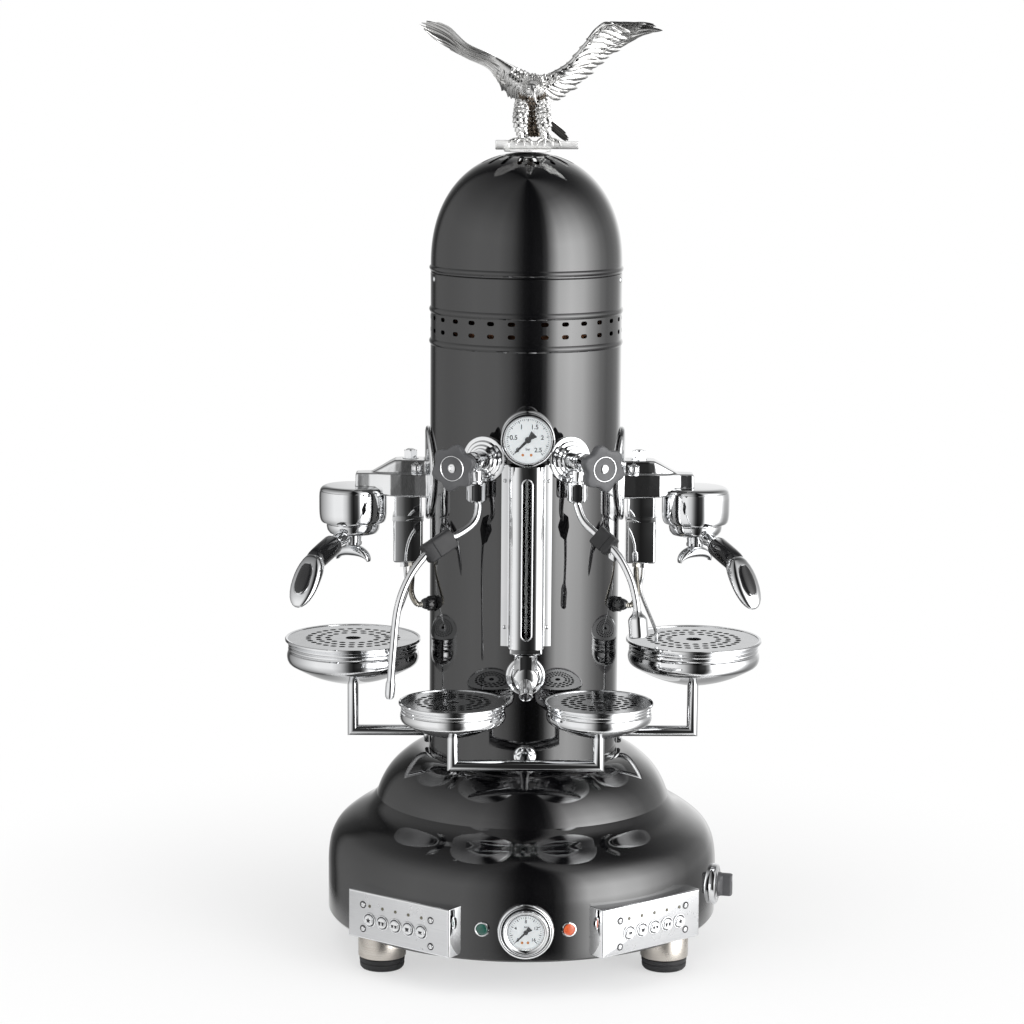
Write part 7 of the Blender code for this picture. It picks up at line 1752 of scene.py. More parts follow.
def keypad(side):
    """The folded mirror housing with its satin plate, buttons in rings, warning lights and screws."""
    face = radial_frame(KEYPAD_AZIMUTH, KEYPAD_DISTANCE, 0)
    reach = KEYPAD_DISTANCE - BASE_RADIUS + KEYPAD_HALF ** 2 / BASE_RADIUS
    outline = []
    fold = 0.0024
    for x, y, start in ((KEYPAD_HALF, KEYPAD_LOW, -QUARTER), (KEYPAD_HALF, KEYPAD_HIGH, 0),
                        (-KEYPAD_HALF, KEYPAD_HIGH, QUARTER), (-KEYPAD_HALF, KEYPAD_LOW, 2 * QUARTER)):
        cx = x - math.copysign(fold * 0.4, x)
        cy = y - fold * 0.4 if y == KEYPAD_HIGH else y + fold * 0.4
        for step in range(5):
            angle = start + QUARTER * step / 4
            outline.append((cx + fold * 0.4 * math.cos(angle), cy + fold * 0.4 * math.sin(angle)))
    middle = (KEYPAD_LOW + KEYPAD_HIGH) / 2

    def ring(inset, depth):
        shrink_x = 1 - inset / KEYPAD_HALF
        shrink_y = 1 - inset / (KEYPAD_HIGH - middle)
        return [(x * shrink_x, middle + (y - middle) * shrink_y, depth) for x, y in outline]

    housing = loft([ring(0.0, -reach * 0.985), ring(0.0, -fold)]
                   + [ring(fold * (1 - math.cos(QUARTER * step / 5)),
                           -fold - 0.0002 + fold * math.sin(QUARTER * step / 5)) for step in range(1, 6)])
    side_piece("keypad_housing", placed(housing, face), side, CHROME,
               stands_for=("keypad_box_" + word(side),), slot="chrome", soften=40)
    plate = loft([ring(fold * 0.9, -0.0012), ring(fold * 0.9, -0.0001), ring(fold * 0.9 + 0.0002, 0.0)])
    side_piece("keypad_plate", placed(plate, face), side, PLATE, slot="satin_steel", soften=40)
    first = -BUTTON_PITCH * 2 + BUTTON_SHIFT
    places = [first + BUTTON_PITCH * index for index in range(5)]

    def repeated(name, body, height, material, slot):
        frames = [face @ Matrix.Translation((x, height, 0)) for x in places]
        side_piece(name, to_body(fastened(body, frames, material)), side, material, slot=slot)

    rim = lathe([(0.0081, -0.0004), (0.0098, -0.0004), (0.0098, 0.0007), (0.0093, 0.0013), (0.0086, 0.0014),
                 (0.0081, 0.0008)], 48)
    # A dark rubber ring in the gap round each button: painted shade for the gap, as the plate under the
    # buttons has no holes
    gap = hoop(0.0072, 0.0083, -0.0004, 0.0006, 48)
    repeated("keypad_gaps", gap, BUTTON_HEIGHT, RUBBER, "black_plastic")
    repeated("keypad_rings", rim, BUTTON_HEIGHT, CHROME, "chrome")
    cap_section = [(0, -0.0060), (0.0070, -0.0060), (0.0070, 0.0016), (0.0066, 0.0025), (0.0058, 0.0030),
                   (0, 0.0030)]
    for index, x in enumerate(places):
        node = "button_%s_%d" % (word(side), index + 1)
        cap = placed(lathe(cap_section, 48), face @ Matrix.Translation((x, BUTTON_HEIGHT, 0)))
        piece(node + "_cap", on_side(cap, side), CHROME, body=node, stands_for=(node,), slot="chrome")
        mark = placed(button_mark(index), face @ Matrix.Translation((x, BUTTON_HEIGHT, 0.0030)))
        piece(node + "_mark", on_side(mark, side), INK, body=node, slot="black_plastic")
    light = lathe([(0, -0.0010), (0.0021, -0.0010), (0.0021, 0.0003), (0.0015, 0.0009), (0, 0.0011)], 24)
    repeated("keypad_lights", light, LED_HEIGHT, LED_LENS, "amber_lens")
    spots = ((KEYPAD_HALF - 0.024, 0.0970), (KEYPAD_HALF - 0.024, 0.0656), (0.028 - KEYPAD_HALF, 0.0960),
             (0.028 - KEYPAD_HALF, 0.0625))
    washer = hoop(0.0034, 0.0046, -0.0004, 0.0002, 32)
    frames = [face @ Matrix.Translation((x, y, 0.0002)) for x, y in spots]
    washers = fastened(washer, frames, RUBBER)
    side_piece("keypad_washers", to_body(washers), side, RUBBER, slot="black_plastic")
    screws = fastened(screw_body(0.0034, 0.0015), frames, CHROME, loose=1.2)
    side_piece("keypad_screws", to_body(screws), side, CHROME, slot="chrome")


def button_mark(index):
    """The small engraved mark of a button: one or two cups, or a star for the programme button."""
    thick = 0.00024
    if index == 4:
        outline = []
        for step, angle in enumerate(circle_angles(10, QUARTER)):
            reach = 0.0038 if step % 2 == 0 else 0.0017
            outline.append((reach * math.cos(angle), reach * math.sin(angle)))
        return prism(outline, -thick, thick)
    bodies = []
    single = index < 2
    tall = 0.0028 if index in (0, 2) else 0.0040
    half = 0.0030 if single else 0.0020
    for x in (0.0,) if single else (-0.0026, 0.0026):
        outline = [(x - half, tall / 2), (x - half * 0.6, -tall / 2), (x + half * 0.6, -tall / 2),
                   (x + half, tall / 2)]
        bodies.append(prism(outline, -thick, thick))
        bodies.append(prism([(x - half, -tall / 2 - 0.0008), (x + half, -tall / 2 - 0.0008),
                             (x + half, -tall / 2 - 0.0004), (x - half, -tall / 2 - 0.0004)], -thick, thick))
    return joined(*bodies)


PUMP_FRONT = 0.269
PANEL_HEIGHT = 0.0865


def pump_gauge():
    """The pump gauge on the skirt: a wide stepped bezel round a small dial."""
    face = radial_frame(0, PUMP_FRONT, PANEL_HEIGHT)
    back = -(PUMP_FRONT - BASE_RADIUS) + 0.0006
    case = lathe([(0, back), (0.0352, back), (0.0352, -0.0086), (0.0349, -0.0068), (0.0338, -0.0052),
                  (0.0322, -0.0046), (0.0308, -0.0050), (0.0301, -0.0060), (0.0299, -0.0076),
                  (0.0288, -0.0076), (0.0285, -0.0030), (0.0280, -0.0010), (0.0269, 0.0), (0.0257, -0.0004),
                  (0.0250, -0.0016), (0.0241, -0.0022), (0.0228, -0.0026), (0.0218, -0.0040),
                  (0.0208, -0.0060), (0.0206, -0.0066), (0, -0.0066)], 112)
    gasket = lathe([(0.0286, -0.0078), (0.0302, -0.0078), (0.0300, -0.0064), (0.0288, -0.0064)], 96)
    gauge("pump_gauge", face, case, gasket, dial=(0.0206, -0.0066, -0.0056, 72),
          numbers=(("0", "4", "8", "12", "16"), 0.0136, 0.0058), unit=(0.0070, 0.0034), print_level=-0.0055,
          ticks=(0.0198, 33, 4), dots=0.0200, ink_level=-0.0054, window=(0.0222, -0.0026, -0.0018, 72),
          pointer=(0.0205, 225, -0.0047))


def pilot_lamps():
    """A green and an amber lamp in chrome rings."""
    for side, name, lens, slot in ((LEFT, "pilot_lamp_green", GREEN_LENS, "green_lens"),
                                   (RIGHT, "pilot_lamp_amber", AMBER_LENS, "amber_lens")):
        face = radial_frame(side * math.radians(12.2), BASE_RADIUS, PANEL_HEIGHT)
        ring = lathe([(0.0070, 0.0004), (0.0095, 0.0004), (0.0095, 0.0016), (0.0088, 0.0026),
                      (0.0076, 0.0028), (0.0070, 0.0022)], 56)
        cap = lathe([(0, 0.0004), (0.0072, 0.0004), (0.0072, 0.0022), (0.0062, 0.0030), (0.0040, 0.0034),
                     (0, 0.0035)], 56)
        piece(name + "_lens", placed(cap, face), lens, stands_for=(name,), slot=slot)
        piece(name + "_ring", placed(ring, face), CHROME, slot="chrome")


def power_switch():
    """The rotary switch on the right of the skirt: bezel and winged knob."""
    face = radial_frame(math.radians(76), BASE_RADIUS, 0.090)
    bezel = lathe([(0, -0.0006), (0.0265, -0.0006), (0.0265, 0.0036), (0.0258, 0.0060), (0.0240, 0.0073),
                   (0.0215, 0.0075), (0.0190, 0.0070), (0.0180, 0.0060), (0, 0.0060)], 88)
    piece("switch_ring", placed(bezel, face), CHROME, stands_for=("switch_bezel",), slot="chrome")
    low, high = 0.0079, 0.0260
    rings = []
    for radius, height, waist in ((0.0158, low, 1.0), (0.0158, low + 0.0020, 1.0),
                                  (0.0150, low + 0.0042, 0.86), (0.0150, low + 0.0070, 0.46),
                                  (0.0149, high - 0.0030, 0.40), (0.0145, high - 0.0010, 0.37),
                                  (0.0136, high, 0.32)):
        ring = []
        for angle in circle_angles(64):
            across = radius * math.cos(angle)
            limit = radius * waist
            across = max(-limit, min(limit, across))
            ring.append((across, radius * math.sin(angle), height))
        rings.append(ring)
    piece("switch_knob_grip", placed(loft(rings), face), MOULDED, body="switch_knob",
          stands_for=("switch_knob",), slot="black_plastic")
    line = box((-0.0006, 0.004, high - 0.0004), (0.0006, 0.0125, high + 0.00005))
    # The white line uses the dial card and so has its slight glow: painted light
    piece("switch_knob_line", placed(line, face), CARD, body="switch_knob", slot="chrome")


# Eagle finial: a generic spread eagle on a short bar, cast in separate feathers

EAGLE_FOOT = 1.0438
EAGLE_HEIGHT = 0.1565
EAGLE_CEILING = 1.1976
EAGLE_GIRTH = 0.022
EAGLE_SHIFT = 0.0054
BAR_RADIUS = 0.0062
BAR_ENDS = (-0.041, 0.065)
# Each: reach as a share of the span, then leading and trailing edge, height and depth, as shares of the
# eagle's height
WINGS = {
    LEFT: (0.137, ((0.015, 0.551, 0.346, -0.026, 0.038), (0.117, 0.627, 0.372, -0.038, 0.09),
                   (0.219, 0.672, 0.442, -0.05, 0.153), (0.35, 0.730, 0.608, -0.064, 0.217),
                   (0.56, 0.806, 0.698, -0.077, 0.243), (0.73, 0.934, 0.774, -0.064, 0.217),
                   (0.876, 0.985, 0.857, -0.04, 0.14), (1.0, 0.998, 0.96, -0.013, 0.04))),
    RIGHT: (0.170, ((0.05, 0.532, 0.263, -0.026, 0.05), (0.18, 0.589, 0.314, -0.038, 0.077),
                    (0.31, 0.679, 0.410, -0.05, 0.09), (0.45, 0.864, 0.544, -0.05, 0.10),
                    (0.58, 0.966, 0.691, -0.04, 0.10), (0.71, 0.992, 0.806, -0.026, 0.09),
                    (0.86, 0.998, 0.896, -0.013, 0.064), (1.0, 0.960, 0.931, 0.0, 0.026))),
}
# How far the smooth arm reaches over the chord of each wing
WING_ARMS = {LEFT: 0.40, RIGHT: 0.13}
LEFT_QUILLS = ((0.28, 0.86, 0.60, 1.02), (0.31, 0.78, 0.71, 1.03), (0.34, 0.68, 0.82, 1.02),
               (0.37, 0.58, 0.91, 0.96), (0.39, 0.47, 0.98, 0.80), (0.40, 0.36, 1.00, 0.45),
               (0.41, 0.26, 0.98, 0.20), (0.41, 0.16, 0.90, 0.06), (0.40, 0.08, 0.84, 0.00),
               (0.38, 0.02, 0.77, -0.03))
RIGHT_QUILLS = ((0.50, 0.62, 0.76, 1.04), (0.52, 0.54, 0.82, 1.05), (0.54, 0.46, 0.88, 1.04),
                (0.56, 0.38, 0.94, 1.00), (0.57, 0.30, 1.00, 0.80), (0.58, 0.22, 1.00, 0.45),
                (0.57, 0.14, 0.95, 0.15), (0.55, 0.08, 0.88, 0.02), (0.50, 0.03, 0.78, -0.04),
                (0.42, 0.00, 0.63, -0.10))


def eagle_spot(across, back, up):
    """A place on the eagle, in shares of its height from the middle of its body on the bar."""
    return Vector((EAGLE_SHIFT + EAGLE_HEIGHT * across, EAGLE_HEIGHT * back,
                   EAGLE_FOOT + EAGLE_HEIGHT * up))


def along(points, share):
    """The place at a share of the way through the points, smoothly."""
    last = len(points) - 1
    spot = min(max(share, 0.0), 1.0) * last
    index = min(int(spot), last - 1)
    t = spot - index
    b, c = points[index], points[index + 1]
    a = points[index - 1] if index else b * 2 - c
    d = points[index + 2] if index + 2 <= last else c * 2 - b
    return 0.5 * (2 * b + (c - a) * t + (2 * a - 5 * b + 4 * c - d) * t ** 2
                  + (3 * b - a - 3 * c + d) * t ** 3)


def wing_surface(side):
    """The wing between its leading and trailing edge: a place and its outward way for (along, across)."""
    span, stations = WINGS[side]
    leads = [Vector((side * span * reach, EAGLE_HEIGHT * back, EAGLE_FOOT + EAGLE_HEIGHT * up))
             for reach, up, _, back, _ in stations]
    trails = [Vector((side * span * reach, EAGLE_HEIGHT * back, EAGLE_FOOT + EAGLE_HEIGHT * up))
              for reach, _, up, _, back in stations]

    def place(u, v):
        return along(leads, u).lerp(along(trails, u), v)

    def surface(u, v):
        step = 0.01
        ahead = place(min(u + step, 1), v) - place(max(u - step, 0), v)
        over = place(u, v + step) - place(u, v - step)
        facing = ahead.cross(over).normalized()
        if facing.y > 0:
            facing.negate()
        spot = place(u, v)
        bulge = math.sin(math.pi * min(max(v, 0), 1)) * 0.004
        spot += facing * bulge
        return spot, facing
    return surface


def vane(route, facings, half_width, thickness, camber=0.22, tip=0.5):
    """One feather: a thin cambered vane with a raised shaft and a rounded tip."""
    rings = []
    shares = (-1.0, -0.72, -0.4, -0.1, 0.0, 0.1, 0.4, 0.72, 1.0)
    count = len(route)
    for index, (spot, facing) in enumerate(zip(route, facings)):
        t = index / (count - 1)
        before, after = route[max(index - 1, 0)], route[min(index + 1, count - 1)]
        ahead = (after - before).normalized()
        across = ahead.cross(facing).normalized()
        rise = min(1.0, 0.45 + t * 2.2)
        fall = math.sqrt(max(0.0, 1 - ((t - tip) / (1 - tip)) ** 2)) if t > tip else 1.0
        half = half_width * rise * max(fall, 0.06)
        slim = thickness * (1 - 0.5 * t)
        top, bottom = [], []
        for share in shares:
            shaft = slim * 0.75 if share == 0 else 0.0
            level = camber * half * (1 - share ** 2) + shaft
            edge = slim * (0.5 - 0.3 * abs(share))
            top.append(spot + across * half * share + facing * (level + edge))
            bottom.append(spot + across * half * share + facing * (level - edge))
        rings.append(top + bottom[::-1])
    return loft(rings)


def wing_feather(surface, start, end, half_width, lift, face=1, thickness=0.0011, steps=11):
    """A vane laid on a face of the wing from one place to another, lifted off the surface."""
    route, facings = [], []
    for index in range(steps):
        t = index / (steps - 1)
        spot, facing = surface(start[0] + (end[0] - start[0]) * t, start[1] + (end[1] - start[1]) * t)
        spot = spot + facing * lift * face
        spot.z = min(spot.z, EAGLE_CEILING - thickness)
        route.append(spot)
        facings.append(facing * face)
    return vane(route, facings, half_width, thickness)


def feather_row(surface, count, first, last, way, half_width, lift, face=1):
    """A row of feathers from one place to another on a wing, each running on by way, none quite alike."""
    feathers = []
    for index in range(count):
        share = index / (count - 1)
        start = (first[0] + (last[0] - first[0]) * share, first[1] + (last[1] - first[1]) * share)
        sway = 0.05 * math.sin(index * 2.4 + count)
        end = (min(start[0] + way[0] * (1 + sway), 1.0), start[1] + way[1] * (1 + sway * 2))
        feathers.append(wing_feather(surface, start, end, half_width * (1 + 0.12 * math.sin(index * 4.1)),
                                     lift + 0.0004 * (index % 2), face))
    return feathers


def wing_arm(surface, reach):
    """The smooth muscled arm along the leading edge, from the shoulder to the tip."""
    rings = []
    for index in range(27):
        u = 0.80 * index / 26
        facing = surface(u, reach / 2)[1]
        lead, trail = surface(u, 0.0)[0], surface(u, reach)[0]
        over = (trail - lead) / 2
        centre = lead + over
        fade = 1 - 0.80 * (index / 26) ** 2.0
        thick = 0.0046 * (1 - 0.75 * index / 26)
        rings.append([centre + over * fade * math.cos(a) + facing * thick * math.sin(a)
                      for a in circle_angles(22)])
    return loft(rings)


def wing_web(surface):
    """The thin body of the wing that the feathers lie on."""
    rings = []
    for index in range(25):
        u = 0.93 * index / 24
        ring = []
        for v in (0.05, 0.25, 0.5, 0.75, 0.86):
            spot, facing = surface(u, v)
            ring.append(spot + facing * 0.0007)
        for v in (0.86, 0.75, 0.5, 0.25, 0.05):
            spot, facing = surface(u, v)
            ring.append(spot - facing * 0.0009)
        rings.append(ring)
    return loft(rings)


def eagle_wing(side):
    """A wing: arm, web, long quills and overlapping rows of shorter feathers on both faces."""
    surface = wing_surface(side)
    quills = LEFT_QUILLS if side == LEFT else RIGHT_QUILLS
    feathers = [wing_feather(surface, (a, b), (c, d), 0.0034, 0.0005 * (index % 2), steps=17)
                for index, (a, b, c, d) in enumerate(quills)]
    for face in (1, -1):
        if side == LEFT:
            rows = ((8, (0.10, 0.34), (0.36, 0.30), (0.015, 0.72), 0.0047, 0.0008),
                    (7, (0.08, 0.20), (0.32, 0.20), (0.012, 0.42), 0.0040, 0.0020),
                    (6, (0.28, 0.72), (0.38, 0.14), (0.30, 0.10), 0.0030, 0.0012),
                    (5, (0.24, 0.62), (0.32, 0.16), (0.22, 0.06), 0.0030, 0.0022))
        else:
            rows = ((13, (0.04, 0.30), (0.56, 0.42), (0.17, 0.62), 0.0040, 0.0008),
                    (12, (0.05, 0.16), (0.58, 0.16), (0.15, 0.48), 0.0036, 0.0018),
                    (12, (0.06, 0.03), (0.62, 0.02), (0.13, 0.34), 0.0032, 0.0028),
                    (7, (0.50, 0.60), (0.58, 0.10), (0.26, 0.14), 0.0028, 0.0014))
        for count, first, last, way, half_width, lift in rows:
            feathers += feather_row(surface, count, first, last, way, half_width, lift, face)
    piece("eagle_wing_%s_quills" % word(side), joined(*feathers), SILVER, soften=40)
    piece("eagle_wing_%s_arm" % word(side), joined(wing_arm(surface, WING_ARMS[side]), wing_web(surface)),
          SILVER)


def scale_body():
    """A small body feather, one long and one wide, thick in its third way."""
    route = [Vector((0, share, 0.0)) for share in (0.0, 0.15, 0.35, 0.55, 0.72, 0.85, 0.94, 1.0)]
    rings = []
    for spot in route:
        t = spot.y
        half = 0.5 * min(1.0, 0.5 + 1.6 * t) * (math.sqrt(max(0.0, 1 - ((t - 0.5) / 0.5) ** 2)) if t > 0.5
                                                else 1)
        half = max(half, 0.05)
        ring = []
        for share in (-1.0, -0.5, 0.0, 0.5, 1.0):
            ring.append(spot + Vector((half * share, 0, 0.9 * (1 - share ** 2)
                                       + (0.35 if share == 0 else 0))))
        for share in (1.0, 0.5, 0.0, -0.5, -1.0):
            ring.append(spot + Vector((half * share, 0, 0.5 * (1 - share ** 2) - 0.45)))
        rings.append(ring)
    return loft(rings)


def shingled(centres, wides, deeps, across, length, width, rows, spread):
    """Frames and sizes of scales on a rounded limb, pointing along it from first to last."""
    frames, sizes = [], []
    for row in range(rows):
        share = row / rows
        centre = along(centres, share)
        way = (along(centres, min(share + 0.04, 1.0)) - along(centres, max(share - 0.04, 0.0))).normalized()
        side = (across - way * across.dot(way)).normalized()
        deep = way.cross(side)
        wide = along(wides, share)
        far = along(deeps, share)
        count = max(5, round(math.pi * (wide + far) / spread))
        for index in range(count):
            angle = FULL_TURN * (index + 0.5 * (row % 2)) / count
            facing = (side * math.cos(angle) / wide + deep * math.sin(angle) / far).normalized()
            spot = centre + side * math.cos(angle) * wide + deep * math.sin(angle) * far
            ahead = (way - facing * way.dot(facing) + facing * 0.22).normalized()
            over = ahead.cross(facing).normalized()
            turned = Matrix((over, ahead, over.cross(ahead))).transposed().to_4x4()
            turned.translation = spot
            frames.append(turned)
            sizes.append((width, length, 0.0011))
    return frames, sizes


def limb(centres, wides, deeps, across, steps=16, sides=20):
    """A rounded limb through places with a width and a depth at each."""
    rings = []
    for step in range(steps + 1):
        share = step / steps
        centre = along(centres, share)
        way = (along(centres, min(share + 0.04, 1.0)) - along(centres, max(share - 0.04, 0.0))).normalized()
        side = (across - way * across.dot(way)).normalized()
        deep = way.cross(side)
        rings.append([centre + side * along(wides, share) * math.cos(a) + deep * along(deeps, share)
                      * math.sin(a) for a in circle_angles(sides)])
    return loft(rings)


TRUNK = ((-0.115, 0.505, 0.46), (-0.07, 0.495, 0.62), (-0.01, 0.44, 0.70), (0.05, 0.34, 0.64),
         (0.10, 0.24, 0.54), (0.14, 0.15, 0.46), (0.15, 0.07, 0.38))
HEAD_PLACE = (-0.012, -0.30, 0.448)
EAST = Vector((1, 0, 0))


def eagle_trunk():
    """Body, neck and head melted into one, and the scales that cover the body and ring the bare head."""
    trunk = [eagle_spot(0, back, up) for back, up, _ in TRUNK]
    girths = [EAGLE_GIRTH * share for _, _, share in TRUNK]
    slim = [girth * 0.88 for girth in girths]
    head = eagle_spot(*HEAD_PLACE)
    neck = [head + Vector((0, 0.004, 0.0)), eagle_spot(0, -0.18, 0.462), eagle_spot(0, -0.07, 0.475)]
    neck_wide = [0.0078, 0.0104, 0.0128]
    parts = [limb(trunk, girths, slim, EAST), limb(neck, neck_wide, neck_wide, EAST),
             ball(head, 0.0090, (0.98, 1.05, 1.0), 4),
             ball(head + Vector((0.0010, -0.0052, -0.0034)), 0.0056, (0.85, 1.1, 0.85))]
    shoulders = []
    for side in SIDES:
        parts.append(ball(head + Vector((side * 0.0046, -0.0062, 0.0016)), 0.0026, (0.8, 1.5, 0.6)))
        wing = wing_surface(side)
        shoulders.append([eagle_spot(0, -0.05, 0.47), wing(0.05, 0.2)[0], wing(0.2, 0.2)[0]])
        parts.append(limb(shoulders[-1], [0.0104, 0.0082, 0.0040], [0.0104, 0.0068, 0.0032],
                          Vector((0, 0, 1))))
    piece("eagle_trunk", fused(joined(*parts), 0.00070, 4), SILVER, stands_for=("eagle_finial",),
          slot="chrome", soften=60)
    ruff = [eagle_spot(-0.004, -0.200, 0.458), eagle_spot(0, -0.13, 0.470), eagle_spot(0, -0.06, 0.475)]
    bright = [shingled(trunk[:3], girths[:3], slim[:3], EAST, 0.0060, 0.0044, 7, 0.0036),
              shingled(ruff, [0.0096, 0.0116, 0.0130], [0.0096, 0.0116, 0.0130], EAST, 0.0052, 0.0036, 5,
                       0.0026)]
    for route in shoulders:
        bright.append(shingled(route, [0.0104, 0.0082, 0.0040], [0.0104, 0.0068, 0.0032], Vector((0, 0, 1)),
                               0.0068, 0.0044, 7, 0.0036))
    frames = [frame_ for some, _ in bright for frame_ in some]
    sizes = [size for _, some in bright for size in some]
    piece("eagle_scales", fastened(scale_body(), frames, SILVER, sizes, 0.22, 9), SILVER, soften=40)
    # The lower body's scales are in the dark silver: painted shade and painted reflection of the black enamel
    # below
    frames, sizes = shingled(trunk[2:], girths[2:], [girth + 0.0004 for girth in slim[2:]], EAST, 0.0066,
                             0.0048, 9, 0.0038)
    piece("eagle_belly", fastened(scale_body(), frames, BELLY_SHADE, sizes, 0.22, 9), BELLY_SHADE, soften=40)


def eagle_face():
    """The hooked beak, the brow and the eyes."""
    head = eagle_spot(*HEAD_PLACE)
    beak = spline([head + Vector((0.0006, -0.0075, -0.0010)), head + Vector((0.0016, -0.0118, -0.0036)),
                   head + Vector((0.0034, -0.0142, -0.0090)), head + Vector((0.0062, -0.0136, -0.0172))], 12)
    sizes = [0.0036 - 0.0033 * (index / 12) ** 1.15 for index in range(13)]
    shells = [tube(beak, sizes, 14)]
    for side in SIDES:
        shells.append(ball(head + Vector((side * 0.0058, -0.0060, 0.0004)), 0.0013, detail=2))
    piece("eagle_face", joined(*shells), SILVER)


def eagle_legs():
    """Feathered legs, and toes with talons that grip the bar."""
    frames, sizes, limbs, toes = [], [], [], []
    for side in SIDES:
        hip = eagle_spot(0, 0.01, 0.35) + Vector((side * 0.0118, 0, 0))
        knee = eagle_spot(0, -0.035, 0.20) + Vector((side * 0.0150, 0, 0))
        ankle = Vector((EAGLE_SHIFT + 0.0032 + side * 0.0146, 0.0005, EAGLE_FOOT + 0.0095))
        route = [hip, knee, ankle]
        wides, deeps = [0.0082, 0.0072, 0.0036], [0.0095, 0.0080, 0.0036]
        limbs.append(limb(route, wides, deeps, EAST))
        more, sized = shingled(route, wides, deeps, EAST, 0.0066, 0.0048, 9, 0.0040)
        frames += more
        sizes += sized
        for share, forward in ((0.0195, 0.0050), (0.0090, 0.0078), (-0.0018, 0.0086), (-0.0118, 0.0060)):
            reach = side * share
            start = ankle + Vector((0, 0, -0.001))
            bend = Vector((ankle.x + reach * 0.45, -forward * 0.55, EAGLE_FOOT + 0.0072))
            knuckle = Vector((ankle.x + reach * 0.85, -forward * 0.9, EAGLE_FOOT + 0.0046))
            nail = Vector((ankle.x + reach, -forward - 0.0012, EAGLE_FOOT - 0.0016))
            way = spline([start, bend, knuckle, nail], 14)
            thick = [0.0025 - 0.0006 * index / 14 + 0.0003 * math.cos(index * 1.9)
                     - (0.0019 * max(0, index - 9) / 5) for index in range(15)]
            toes.append(tube(way, thick, 12))
        spur = spline([ankle, ankle + Vector((side * 0.001, 0.006, -0.0022)),
                       ankle + Vector((side * 0.001, 0.0085, -0.0095))], 8)
        toes.append(tube(spur, [0.0026, 0.0025, 0.0024, 0.0022, 0.0020, 0.0016, 0.0012, 0.0008, 0.0004],
                         12))
    piece("eagle_legs", joined(*limbs), SILVER)
    piece("eagle_leg_scales", fastened(scale_body(), frames, SILVER, sizes, 0.2, 13), SILVER, soften=40)
    piece("eagle_toes", joined(*toes), SILVER)


def eagle_tail():
    """A closed fan of tail feathers to the rear, painted near-black as painted shade, with its top feather
    left bright silver.
    """
    root = eagle_spot(0.02, 0.085, 0.27)
    way = EAGLE_HEIGHT * Vector((0.285, 0.20, -0.225))
    across = Vector((0, 0, 1)).cross(way).normalized()
    facing = way.cross(across).normalized()
    across = (across + facing * 0.9).normalized()
    facing = way.cross(across).normalized()
    feathers = []
    for index in range(7):
        share = index - 3
        end = root + way * (1.0 - 0.012 * share ** 2) + across * share * 0.0040
        start = root + across * share * 0.0024
        route = [start.lerp(end, step / 9) + facing * 0.0006 * (index % 2) for step in range(10)]
        feathers.append(vane(route, [facing] * 10, 0.0044, 0.0012, tip=0.72))
    # The top feather keeps the bright silver; the others are painted near-black as painted shade
    rim = feathers.pop(0) if across.z < 0 else feathers.pop()
    piece("eagle_tail", joined(*feathers), TAIL_SHADE, soften=40)
    piece("eagle_tail_rim", rim, SILVER, soften=40)


def eagle_perch():
    """The short bar, thicker at its left end, on a thin round plate."""
    low, high = BAR_ENDS
    slim = BAR_RADIUS * 0.82
    profile = [(0, low), (BAR_RADIUS - 0.0008, low), (BAR_RADIUS, low + 0.0010), (BAR_RADIUS, low + 0.0166),
               (BAR_RADIUS - 0.0004, low + 0.0176), (slim, low + 0.0184), (slim, high - 0.0010),
               (slim - 0.0008, high), (0, high)]
    bar = placed(lathe(profile, 40), Matrix.Translation((0, 0, EAGLE_FOOT))
                 @ Matrix.Rotation(QUARTER, 4, "Y"))
    plate = lathe([(0, 1.0353), (0.0292, 1.0353), (0.0300, 1.0360), (0.0300, 1.0381), (0.0292, 1.0388),
                   (0, 1.0388)], 80)
    piece("eagle_perch", joined(bar, plate), SOFT_SILVER)


def eagle():
    """The whole finial."""
    eagle_perch()
    eagle_trunk()
    eagle_face()
    eagle_legs()
    eagle_tail()
    for side in SIDES:
        eagle_wing(side)


# Light, floor and camera

CAMERA_PLACE = (-0.08, -3.65 + 0.00675, 1.155)
CAMERA_LENS = 100.0
CAMERA_PITCH = math.radians(90 - 9.1)
CAMERA_YAW = math.radians(-1.0)
CAMERA_ROLL = 0.0075
FLOOR_RADIUS = 16.0
SHADOW_REACH = 0.42
SHADOW_FADE = 0.60
MIRROR_REACH = 0.30
MIRROR_FADE = 0.14


def camera():
    """The photograph's viewpoint."""
    data = bpy.data.cameras.new("camera")
    data.sensor_width = 36.0
    data.lens = CAMERA_LENS
    data.clip_end = 100.0
    eye = bpy.data.objects.new("camera", data)
    eye.matrix_world = (Matrix.Translation(CAMERA_PLACE) @ Matrix.Rotation(CAMERA_YAW, 4, "Z")
                        @ Matrix.Rotation(CAMERA_PITCH, 4, "X") @ Matrix.Rotation(CAMERA_ROLL, 4, "Z"))
    bpy.context.scene.collection.objects.link(eye)
    bpy.context.scene.camera = eye


def seen_directly(tree):
    """1 for what the camera or a glass sees of the background, and 1 for what a mirror sees."""
    light = tree_node(tree, "ShaderNodeLightPath")
    seen = tree_node(tree, "ShaderNodeMath", {0: light.outputs["Is Camera Ray"],
                                              1: light.outputs["Is Transmission Ray"]}, operation="MAXIMUM")
    return seen.outputs[0], light.outputs["Is Glossy Ray"]


